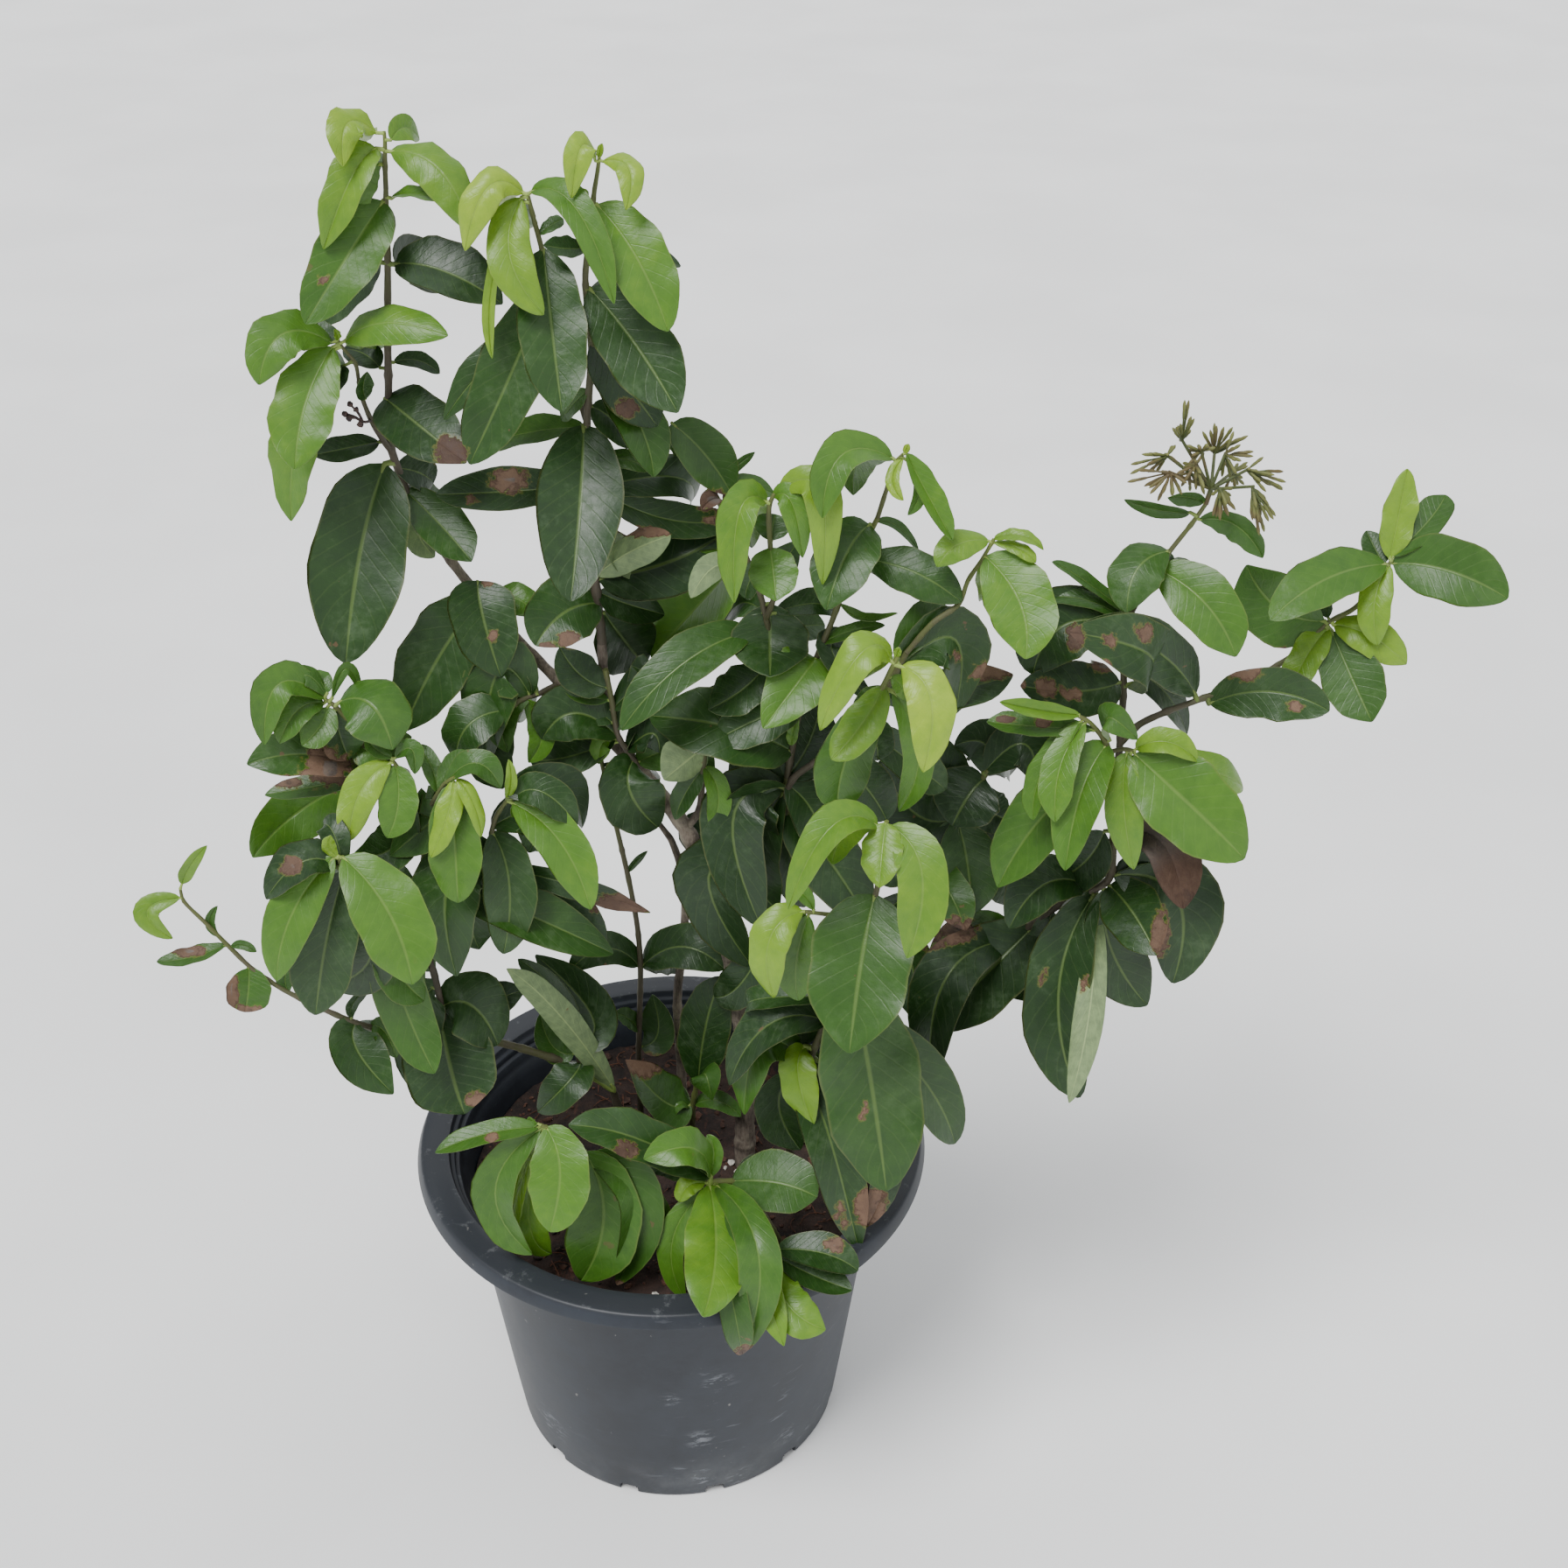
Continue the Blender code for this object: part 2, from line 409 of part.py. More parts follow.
shoot("right_of_middle_leaves", "inner_middle_leaves", "leaf_mid",
      [[(898, 902, -.3, 1.9), (908, 888, -.8, 1.9), (930, 872, -1.6, 1.8), (975, 838, -2.6, 1.7),
        (1010, 792, -3.4, 1.6),
        (1036, 746, -3.6, 1.5)]],
      [(1024, 756, 1068, 708, 1104, 752, 52, -1.6, -30, 8, .35),
       (1020, 770, 1090, 730, 1092, 818, 76, -1.0, -15, 6, .10),
       (1000, 806, 950, 742, 985, 738, 40, -2.0, 20, 8, .04),
       (990, 820, 1000, 842, 1004, 870, 44, .4, 0, 6, .06),
       (1005, 800, 1085, 790, 1158, 768, 60, -2.6, -30, 8, .08),
       (985, 830, 1040, 870, 1086, 905, 50, -1.0, -10, 8, .12),
       (950, 858, 990, 900, 1012, 936, 60, .2, -5, 6, .06)])


shoot("upper_right_small_shoot", "right_of_middle_leaves", "leaf_young",
      [[(1040, 742, -3.6, 1.5), (1066, 712, -3.4, 1.5), (1096, 690, -3.2, 1.3), (1106, 664, -3.1, 1.2),
        (1122, 640, -3, 1.1), (1136, 616, -3, .9)]],
      [(1130, 618, 1095, 622, 1072, 648, 38, 1.6, 20, -12, .60),
       (1136, 616, 1166, 612, 1195, 626, 18, .8, -30, 15, .70),
       (1136, 620, 1166, 628, 1184, 642, 18, 1.0, -30, 15, .70),
       (1126, 636, 1166, 690, 1172, 752, 82, 3.6, -8, 10, .60)])


shoot("middle_young_cluster", "right_of_middle_leaves", "leaf_young",
      [[(992, 816, -3.0, 1.6), (1001, 806, -5.0, 1.6), (1008, 788, -6.6, 1.5), (1018, 766, -7, 1.3),
        (1026, 750, -7, 1.0)]],
      [(1018, 756, 985, 745, 928, 836, 50, 3.0, 18, 15, .75),
       (1010, 784, 985, 828, 950, 868, 50, 1.6, 10, 12, .65),
       (1030, 762, 1064, 800, 1056, 884, 58, 3.0, -10, 12, .90),
       (1002, 800, 966, 870, 957, 930, 66, 1.0, 8, 12, .40),
       (1020, 790, 1050, 860, 1027, 931, 40, 1.0, -10, 15, .45),
       (1024, 752, 1026, 745, 1028, 741, 10, .3, 0, 20, .80),
       (1018, 774, 1030, 784, 1034, 800, 22, .2, -20, 10, .55)])


shoot("inner_left_leaves", "woody_branches", "leaf_dark",
      [[(738, 888, .7, 2.0), (720, 862, .4, 1.8), (706, 840, .2, 1.6), (699, 800, 0, 1.5),
        (692, 765, -.2, 1.5)]],
      [(702, 832, 730, 800, 738, 760, 40, -1.0, -20, 6, .12),
       (698, 812, 742, 770, 716, 800, 50, -1.4, -20, 6, .12),
       (716, 858, 745, 838, 752, 862, 54, 1.0, -10, 6, .02),
       (724, 868, 720, 905, 752, 946, 76, .6, -8, 6, .06),
       (728, 872, 780, 860, 800, 905, 60, .2, -15, 8, .30),
       (706, 842, 655, 815, 618, 848, 70, 1.0, 15, 8, .10),
       (696, 800, 660, 790, 640, 762, 26, -1.0, 20, 12, .60),
       (700, 850, 688, 850, 684, 874, 26, .6, 10, 12, .55),
       (704, 844, 650, 865, 606, 868, 50, -1.4, 20, 5, .10)])


# Left side below the tall stem
shoot("left_of_branch_leaves", "woody_branches", "leaf_mid",
      [[(640, 780, 1.9, 1.8), (618, 792, .8, 1.6), (592, 802, 0, 1.5), (575, 818, -.6, 1.3)]],
      [(612, 790, 575, 810, 580, 862, 44, 1.4, 10, 15, .30),
       (606, 796, 568, 770, 548, 880, 76, .4, 15, 8, .12),
       (616, 792, 588, 760, 586, 736, 22, -1.6, 20, 10, .45),
       (580, 812, 536, 828, 518, 872, 60, .6, 20, 6, .12),
       (600, 800, 620, 835, 604, 872, 34, .8, 10, 15, .45),
       (590, 806, 560, 850, 575, 900, 56, -.4, 5, 6, .15),
       (622, 792, 640, 840, 625, 858, 40, -1.2, -20, 8, .15)])


shoot("branch_end_leaves", "woody_branches", "leaf_dark",
      [[(562, 699, 3.1, 1.6), (556, 690, 2.4, 1.5), (548, 668, 2.0, 1.3)]],
      [(546, 664, 552, 705, 572, 774, 78, 2.6, -5, 8, .10),
       (552, 686, 505, 745, 458, 838, 88, 2.4, 12, 8, .10),
       (560, 690, 590, 684, 612, 706, 40, .8, -20, 6, .50)])


shoot("middle_olive_leaves", "woody_branches", "leaf_mid",
      [[(803, 888, -.4, 1.7), (806, 850, -.6, 1.4)]],
      [(805, 876, 821, 908, 812, 946, 30, .6, -10, 8, .50),
       (803, 880, 785, 904, 768, 938, 30, .4, 10, 8, .15),
       (806, 852, 786, 868, 758, 890, 60, 1.0, 150, 8, .30)])


shoot("lower_left_leaves", "soil", "leaf_dark",
      [[(-.030, -.008, 2.6), (700, 1245, -1, 2.5), (664, 1222, -1.8, 2.4), (630, 1209, -2.4, 2.4),
        (596, 1198, -3, 2.3), (552, 1186, -4, 2.2), (508, 1168, -4.8, 2.1),
        (484, 1178, -5.2, 2.0)],
       [(508, 1166, -4.8, 2.0), (498, 1120, -4.4, 2.0), (480, 1050, -4, 1.9), (486, 966, -3.4, 1.8)]],
      [(503, 1160, 514, 1217, 530, 1274, 108, 3.2, 0, 8, .06),
       (506, 1150, 540, 1150, 572, 1195, 84, .8, -15, 6, .05),
       (500, 1130, 480, 1160, 478, 1262, 60, 1.4, 10, 6, .05),
       (496, 1110, 470, 1090, 480, 1130, 40, .2, 15, 6, .25),
       (545, 1183, 560, 1150, 600, 1132, 40, -1.6, -20, 6, .04),
       (482, 1030, 455, 1000, 440, 985, 24, -1.4, 10, 6, .10),
       (484, 1000, 590, 1040, 696, 1090, 64, -1.6, -20, 6, .20)])


shoot("left_young_shoot", "lower_left_leaves", "leaf_young",
      [[(486, 962, -3.4, 1.8), (468, 915, -4.2, 1.6), (456, 880, -4.6, 1.3), (448, 868, -4.8, 1.0)],
       [(480, 944, -3.6, 1.6), (496, 915, -4.6, 1.4), (508, 896, -5.2, 1.2), (520, 888, -5.6, .9)]],
      [(448, 866, 432, 858, 418, 844, 20, -.6, 20, 12, .35),
       (452, 866, 470, 856, 474, 884, 24, .4, -15, 15, .35),
       (446, 872, 412, 905, 399, 962, 44, 2.4, 12, 12, .75),
       (452, 874, 455, 918, 443, 958, 46, 2.8, 0, 8, .45),
       (466, 905, 452, 965, 402, 978, 56, .8, 10, 6, .12),
       (486, 932, 508, 925, 440, 978, 70, .8, 25, 6, .22),
       (500, 906, 492, 874, 474, 850, 24, -1.6, 10, 12, .35),
       (504, 902, 516, 878, 532, 858, 26, -1.8, -20, 8, .35),
       (510, 894, 545, 872, 574, 902, 34, .4, -25, 8, .35),
       (518, 892, 512, 930, 492, 980, 32, 2.0, 10, 14, .80),
       (522, 890, 540, 915, 555, 957, 22, 1.4, -10, 14, .80),
       (514, 896, 520, 965, 522, 1034, 62, 3.2, 0, 10, .50)])


# Cluster at the far left
shoot("far_left_shoot", "left_young_shoot", "leaf_mid",
      [[(477, 938, -3.8, 1.8), (455, 912, -3.2, 1.8), (432, 880, -2.8, 1.7), (404, 832, -3.2, 1.5),
        (384, 808, -3.4, 1.3),
        (370, 798, -3.5, 1.0)]],
      [(372, 798, 318, 782, 302, 852, 46, 2.4, 15, 12, .45),
       (372, 794, 352, 772, 338, 782, 26, .4, 20, -20, .35),
       (374, 792, 366, 776, 348, 778, 24, -1.0, 10, -20, .35),
       (370, 804, 340, 812, 318, 850, 40, 2.0, 20, 15, .40),
       (374, 808, 366, 830, 345, 852, 40, 1.6, 10, 15, .42),
       (382, 812, 390, 845, 400, 868, 50, .6, -5, 8, .15),
       (380, 798, 396, 764, 412, 796, 16, -1.0, 0, 10, .40),
       (388, 802, 425, 806, 450, 858, 80, 2.2, -15, -10, .40),
       (412, 850, 430, 858, 470, 842, 50, .6, -25, 6, .40),
       (424, 880, 352, 862, 283, 872, 56, 3.0, 20, 8, .20),
       (420, 884, 362, 898, 302, 905, 34, 1.6, 30, 8, .35),
       (416, 890, 345, 925, 290, 978, 68, 2.8, 12, 8, .40)])


shoot("upright_bud_shoot", "lower_left_leaves", "leaf_mid",
      [[(482, 1034, -3.9, 1.8), (530, 1012, -3.2, 1.8), (558, 988, -3.4, 1.7), (560, 965, -3.8, 1.6),
        (566, 935, -4.4, 1.4), (580, 914, -4.8, 1.0)]],
      [(580, 912, 584, 893, 583, 871, 15, .6, 0, 20, .75),
       (586, 918, 640, 962, 675, 1040, 58, 2.8, -10, 10, .55),
       (578, 908, 640, 900, 671, 947, 56, -1.6, -20, 8, .05),
       (588, 912, 620, 905, 662, 944, 44, .2, -10, 6, .10),
       (562, 945, 610, 930, 606, 978, 60, .4, -10, 6, .06),
       (562, 950, 582, 1010, 576, 1094, 62, 2.4, 0, 6, .15),
       (564, 972, 512, 1010, 520, 1118, 84, 2.4, 10, 8, .15),
       (566, 984, 540, 1040, 548, 1088, 50, .4, 5, 6, .10),
       (574, 995, 650, 1010, 742, 1046, 34, 1.6, 30, 8, .04),
       (576, 999, 640, 1040, 690, 1086, 62, .6, -20, 6, .10)])


shoot("front_left_shoot", "lower_left_leaves", "leaf_mid",
      [[(481, 1060, -4, 1.9), (455, 1064, -5.6, 1.9), (432, 1050, -6.6, 1.8), (415, 1030, -7.2, 1.8),
        (395, 1004, -7.8, 1.5), (388, 980, -8.2, 1.2)]],
      [(386, 978, 376, 968, 378, 955, 17, .4, 0, 15, .75),
       (382, 980, 334, 1044, 312, 1124, 60, 3.0, 15, 14, .50),
       (392, 980, 445, 1044, 472, 1127, 86, 3.6, -8, 10, .55),
       (393, 996, 372, 1080, 360, 1165, 74, 2.0, 10, 10, .08),
       (400, 1010, 425, 1090, 366, 1136, 66, 0, 10, 6, .05),
       (385, 990, 345, 985, 299, 1028, 50, .8, 25, 8, .05),
       (386, 992, 350, 978, 320, 990, 34, -1.6, 20, 8, .05),
       (392, 990, 380, 950, 366, 942, 34, -1.6, 10, 6, .04),
       (430, 1050, 462, 1150, 497, 1226, 62, 2.2, -8, 10, .30),
       (434, 1056, 455, 1110, 486, 1140, 60, .2, -20, 6, .30)])


# Low branch reaching out to the left
shoot("low_left_branch", "lower_left_leaves", "leaf_mid",
      [[(480, 1178, -5.2, 2.0), (440, 1178, -6, 1.8), (402, 1167, -6.4, 1.6), (360, 1149, -6.4, 1.5),
        (322, 1130, -6.2, 1.4), (287, 1106, -6, 1.3), (258, 1078, -5.8, 1.3), (232, 1052, -5.6, 1.2),
        (210, 1030, -5.4, 1.0), (206, 1016, -5.4, .8)]],
      [(208, 1010, 216, 992, 232, 971, 18, .6, 10, 15, .65),
       (206, 1026, 168, 1042, 194, 1076, 32, 1.4, 10, 20, .65),
       (258, 1080, 218, 1094, 179, 1098, 24, .6, 30, 10, .30),
       (284, 1106, 284, 1130, 280, 1158, 52, 1.2, 0, 10, .35),
       (250, 1070, 240, 1054, 248, 1036, 12, -.6, 0, 15, .25),
       (264, 1082, 278, 1080, 293, 1088, 12, .4, 0, 15, .25),
       (402, 1163, 404, 1146, 424, 1128, 14, .4, 10, 20, .05),
       (330, 1134, 326, 1116, 336, 1094, 22, -.8, 0, 10, .20),
       (408, 1168, 408, 1200, 450, 1250, 62, 2.4, -5, 8, .15),
       (424, 1172, 440, 1180, 453, 1210, 30, .8, -10, 8, .30)])


# Stems standing alone in the pot, with a few leaves
shoot("thin_upright_stem", "soil", "leaf_dark",
      [[(-.0216, .0245, 1.9), (730, 1201, 2, 1.8), (732, 1105, 2, 1.7), (728, 1056, 2, 1.6),
        (717, 998, 2, 1.6), (697, 914, 1.8, 1.4), (686, 864, 1.6, 1.2)]],
      [(730, 1104, 694, 1084, 652, 1108, 40, 1.0, 15, 8, .08),
       (734, 1104, 780, 1082, 828, 1108, 56, 1.0, -15, 8, .06),
       (718, 996, 728, 984, 741, 972, 9, .6, 0, 20, .10),
       (731, 1178, 718, 1164, 703, 1158, 22, .6, 20, 8, .20),
       (733, 1196, 752, 1180, 745, 1138, 44, -1.0, -20, 8, .10),
       (687, 868, 672, 862, 664, 858, 8, -.6, 0, 15, .05),
       (688, 874, 700, 876, 706, 884, 8, .4, 0, 15, .05)])


shoot("pot_middle_leaves", "soil", "leaf_mid",
      [[(.018, .012, 2.0), (792, 1290, .6, 1.9), (792, 1262, .2, 1.8), (796, 1240, 0, 1.6)]],
      [(798, 1236, 806, 1175, 822, 1118, 62, -.8, -10, 6, .02),
       (796, 1240, 806, 1228, 812, 1258, 36, 1.8, -20, 8, .25),
       (790, 1262, 758, 1258, 724, 1212, 60, 1.4, 20, 8, .25),
       (794, 1262, 820, 1258, 846, 1276, 24, .8, -20, 10, .30),
       (790, 1266, 776, 1262, 764, 1279, 16, .8, 30, 10, .35)])


shoot("pot_left_leaves", "lower_left_leaves", "leaf_mid",
      [[(664, 1222, -1.8, 1.8), (662, 1212, -2.0, 1.6), (658, 1196, -2.1, 1.4)]],
      [(655, 1196, 640, 1140, 592, 1096, 38, -1.8, -30, 8, .12),
       (660, 1196, 676, 1160, 612, 1094, 60, -2.6, -10, 6, .03),
       (656, 1204, 632, 1196, 618, 1160, 36, -.6, 10, 8, .25),
       (664, 1214, 650, 1236, 612, 1272, 50, .8, 15, 6, .06)])


# Leaves hanging over the front of the rim
shoot("front_rim_left_shoot", "soil", "leaf_mid",
      [[(-.050, -.060, 2.2), (688, 1352, -7, 2.0), (668, 1320, -8, 1.8),
        (642, 1296, -9, 1.5), (618, 1286, -9.4, 1.2)]],
      [(616, 1288, 555, 1296, 496, 1316, 32, 1.2, 30, 10, .35),
       (624, 1288, 640, 1340, 626, 1410, 72, 3.4, 0, 12, .50),
       (618, 1290, 566, 1360, 606, 1438, 52, 2.6, 15, 12, .35),
       (620, 1294, 604, 1390, 628, 1438, 44, 1.2, 10, 12, .60),
       (616, 1296, 586, 1380, 584, 1424, 24, 1.4, 20, 15, .70),
       (668, 1316, 690, 1390, 664, 1470, 88, 3.4, 0, 8, .38),
       (672, 1322, 730, 1370, 706, 1472, 56, 1.4, -15, 8, .30),
       (676, 1326, 748, 1378, 762, 1462, 30, 1.0, -30, 8, .45),
       (614, 1284, 608, 1284, 605, 1276, 12, -.4, 0, 10, .40)])


shoot("front_rim_middle_shoot", "soil", "leaf_young",
      [[(.040, -.070, 2.4), (850, 1352, -8, 2.2), (832, 1350, -8.6, 1.8),
        (812, 1350, -9, 1.4)]],
      [(812, 1346, 730, 1302, 650, 1284, 60, .6, 20, 8, .15),
       (812, 1344, 790, 1312, 735, 1326, 48, 2.2, 25, 8, .45),
       (810, 1346, 816, 1318, 808, 1298, 22, -.6, 0, 12, .45),
       (806, 1352, 786, 1356, 776, 1374, 26, 1.0, 10, 14, .70),
       (811, 1354, 818, 1430, 805, 1502, 74, 4.0, 0, 10, .60),
       (806, 1360, 768, 1420, 782, 1488, 36, 2.8, 15, 14, .50),
       (818, 1354, 866, 1430, 852, 1540, 52, 2.6, -15, 10, .40),
       (836, 1350, 890, 1352, 934, 1368, 74, 1.6, -15, 8, .22),
       (814, 1358, 836, 1480, 850, 1552, 38, 3.4, 0, 10, .30)])


shoot("front_rim_right_shoot", "soil", "leaf_mid",
      [[(.072, -.082, 2.0), (872, 1388, -10, 1.9), (876, 1412, -11.4, 1.7),
        (886, 1432, -12, 1.3)]],
      [(888, 1428, 940, 1432, 981, 1452, 46, 1.0, -20, 8, .06),
       (888, 1436, 930, 1458, 974, 1474, 40, 1.4, -20, 8, .08),
       (888, 1440, 900, 1490, 944, 1520, 52, 2.2, -10, 10, .65),
       (884, 1438, 878, 1474, 896, 1538, 36, 3.6, 5, 14, .65),
       (884, 1438, 876, 1462, 876, 1498, 16, 1.2, 10, 14, .60)])



def world_point(px, py, depth_cm):
    """Point in metres seen at a picture position, on the upright plane at the given depth."""
    ray = (AHEAD + PIXEL_RIGHT * ((px - VIEW_MIDDLE) / VIEW_REACH)
           - PIXEL_UP * ((py - VIEW_MIDDLE) / VIEW_REACH))
    reach = (depth_cm * CM - VIEW_FROM.y) / ray.y
    return VIEW_FROM + ray * reach


def width_at(point, pixels):
    """Metres covered by a number of pixels at a point."""
    return pixels * (point - VIEW_FROM).dot(AHEAD) / VIEW_REACH


def material(name):
    made = bpy.data.materials.get(name)
    if made:
        return made
    colour, rough = COLOURS[name]
    made = bpy.data.materials.new(name)
    made.use_nodes = True
    shader = made.node_tree.nodes["Principled BSDF"]
    shader.inputs["Base Color"].default_value = (*colour, 1.0)
    shader.inputs["Roughness"].default_value = rough
    shader.inputs["Metallic"].default_value = 0.0
    return made


def mesh_object(name, verts, faces, slot):
    mesh = bpy.data.meshes.new(name)
    mesh.from_pydata([tuple(v) for v in verts], [], faces)
    made = bpy.data.objects.new(name, mesh)
    bpy.context.scene.collection.objects.link(made)
    shape = bmesh.new()
    shape.from_mesh(mesh)
    bmesh.ops.recalc_face_normals(shape, faces=shape.faces[:])
    shape.to_mesh(mesh)
    shape.free()
    mesh.materials.append(material(slot))
    return made


def ring_frame(direction, hint):
    side = hint - direction * hint.dot(direction)
    if side.length < 1e-6:
        side = Vector((1, 0, 0)) - direction * direction.x
    side.normalize()
    return side, direction.cross(side)


def tube(points, radii, sides, first_direction=None):
    """Closed tapering tube through a row of points."""
    verts = []
    faces = []
    hint = STEM_HINT
    count = len(points)
    for i in range(count):
        ahead = points[min(i + 1, count - 1)] - points[max(i - 1, 0)]
        ahead.normalize()
        if i == 0 and first_direction is not None:
            ahead = first_direction
        side, up = ring_frame(ahead, hint)
        hint = side
        for k in range(sides):
            turn = 2 * math.pi * k / sides
            verts.append(points[i] + (side * math.cos(turn) + up * math.sin(turn)) * radii[i])
    for i in range(count - 1):
        for k in range(sides):
            a = i * sides + k
            b = i * sides + (k + 1) % sides
            faces.append((a, b, b + sides))
            faces.append((a, b + sides, a + sides))
    for k in range(1, sides - 1):
        faces.append((0, k + 1, k))
        last = (count - 1) * sides
        faces.append((last, last + k, last + k + 1))
    return verts, faces


def leaf_frame(base, mid, tip, spin):
    """Centre line, travel direction, face direction and width direction along a blade."""
    pull = mid * 2 - (base + tip) * 0.5
    chord = (tip - base).normalized()
    face0 = (VIEW_FROM - mid).normalized()
    face0 = face0 - chord * face0.dot(chord)
    if face0.length < 0.05:
        face0 = Vector((0, 0, 1)) - chord * chord.z
    face0.normalize()
    turn = math.radians(spin)

    def at(t):
        place = base * (1 - t) ** 2 + pull * (2 * t * (1 - t)) + tip * t ** 2
        travel = (pull - base) * (2 * (1 - t)) + (tip - pull) * (2 * t)
        if travel.length < 1e-6:
            travel = chord.copy()
        travel.normalize()
        face = (face0 - travel * face0.dot(travel)).normalized()
        wide = travel.cross(face)
        face, wide = (face * math.cos(turn) + wide * math.sin(turn),
                      wide * math.cos(turn) - face * math.sin(turn))
        return place, travel, face, wide
    return at


def leaf_sections(base, mid, tip, half, spin, fold, thick, outline, creased):
    """Cross-sections of a blade: upper and lower points from one margin to the other."""
    at = leaf_frame(base, mid, tip, spin)
    lean = math.radians(fold)
    rows = []
    for t, share in outline:
        place, travel, face, wide = at(t)
        lift = face * (thick * 0.5)
        reach = half * share
        edge = face * (reach * math.sin(lean)) if creased else Vector((0, 0, 0))
        span = wide * (reach * (math.cos(lean) if creased else 1.0))
        spots = (place - span + edge, place, place + span + edge) if creased else (place - span, place + span)
        if share == 0.0:
            spots = (place,)
        rows.append(([spot + lift for spot in spots], [spot - lift for spot in spots]))
    return rows


def skin(rows, root=None):
    """Closed solid over a row of cross-sections, split into triangles alike on both faces."""
    verts = []
    index = []
    for upper, lower in rows:
        index.append((range(len(verts), len(verts) + len(upper)),
                      range(len(verts) + len(upper), len(verts) + 2 * len(upper))))
        verts += upper + lower
    faces = []
    for (a_up, a_low), (b_up, b_low) in zip(index[:-1], index[1:]):
        across = len(a_up)
        for s in range(across - 1):
            if len(b_up) == 1:
                faces.append((a_up[s], a_up[s + 1], b_up[0]))
                faces.append((a_low[s], b_low[0], a_low[s + 1]))
                continue
            faces.append((a_up[s], a_up[s + 1], b_up[s + 1]))
            faces.append((a_up[s], b_up[s + 1], b_up[s]))
            faces.append((a_low[s], b_low[s + 1], a_low[s + 1]))
            faces.append((a_low[s], b_low[s], b_low[s + 1]))
        for s in (0, across - 1):
            e = min(s, len(b_up) - 1)
            faces.append((a_up[s], b_up[e], b_low[e]))
            faces.append((a_up[s], b_low[e], a_low[s]))
    up, low = index[0]
    if root is None:
        for s in range(len(up) - 1):
            faces.append((up[s], low[s], low[s + 1]))
            faces.append((up[s], low[s + 1], up[s + 1]))
        return verts, faces
    apex = len(verts)
    verts.append(root)
    loop = list(up) + list(reversed(low))
    for s, corner in enumerate(loop):
        faces.append((corner, loop[(s + 1) % len(loop)], apex))
    return verts, faces


def leaf_solid(start, base, mid, tip, half, spin, fold, outline):
    """Petiole, rooted in the middle of its stem, and blade in one closed solid."""
    creased = abs(fold) >= CREASE_FROM
    rows = leaf_sections(base, mid, tip, half, spin, fold, BLADE_T, outline, creased)
    place, travel, face, wide = leaf_frame(base, mid, tip, spin)(0.0)
    thicker = face * (PETIOLE_R - BLADE_T * 0.5)
    upper, lower = rows[0]
    along = (base - start).dot(travel)
    if along < LEAST_PETIOLE:
        shift = travel * (LEAST_PETIOLE - along)
        upper = [spot + shift for spot in upper]
        lower = [spot + shift for spot in lower]
    rows[0] = ([spot + thicker for spot in upper], [spot - thicker for spot in lower])
    return skin(rows, start)


def test_blade(base, mid, tip, half, spin, fold, outline):
    """Slightly thickened outer part of a blade, to try for crossings."""
    creased = abs(fold) >= CREASE_FROM
    rows = leaf_sections(base, mid, tip, half, spin, fold, BLADE_T + 2 * CLEARANCE, outline, creased)
    return skin(rows)


# Everything already standing: (piece name, tree of its faces, low corner, high corner)
STANDING = []
# Outer blades already hung, by the same rule
BLADES = []


def corners(verts):
    low = Vector([min(v[k] for v in verts) for k in range(3)])
    high = Vector([max(v[k] for v in verts) for k in range(3)])
    return low, high


def keep_standing(name, verts, faces, store=STANDING):
    low, high = corners(verts)
    store.append((name, BVHTree.FromPolygons(verts, faces), low, high))


def cuts_into(solid, store, own_name):
    """Number of face pairs that a solid shares with those of a store, its own piece left out."""
    verts, faces = solid
    low, high = corners(verts)
    tree = None
    count = 0
    for other, standing, o_low, o_high in store:
        if other == own_name:
            continue
        if any(low[k] > o_high[k] or high[k] < o_low[k] for k in range(3)):
            continue
        if tree is None:
            tree = BVHTree.FromPolygons(verts, faces)
        count += len(tree.overlap(standing))
    return count


def stem_route(entries):
    points = []
    radii = []
    for entry in entries:
        if len(entry) == 3:
            points.append(Vector((entry[0], entry[1], FOOT_Z)))
            radii.append(entry[2] * MM)
            points.append(Vector((entry[0], entry[1], SOIL_TOP + 0.004)))
            radii.append(entry[2] * MM)
        else:
            points.append(world_point(*entry[:3]))
            radii.append(entry[3] * MM)
    return points, radii


def seat_start(points, radii, parents):
    """Set a stem's start just off the stem that it grows from; gives the way its first ring faces."""
    start = points[0]
    for line, line_radii in parents:
        end = line[-1]
        if (start - end).length < END_REACH:
            ahead = (end - line[-2]).normalized()
            points[0] = end + ahead * GAP
            radii[0] = min(radii[0], line_radii[-1])
            return ahead
    away, spot, radius = nearest_on(parents, start)
    ahead = (points[1] - spot).normalized()
    side, up = ring_frame(ahead, STEM_HINT)
    step = 0.0
    while step < (points[1] - spot).length * 0.9:
        rim = [spot + ahead * step + (side * math.cos(k) + up * math.sin(k)) * radii[0] for k in range(7)]
        if all(nearest_on(parents, place, True) >= GAP for place in rim):
            break
        step += 0.0001
    points[0] = spot + ahead * step
    return ahead


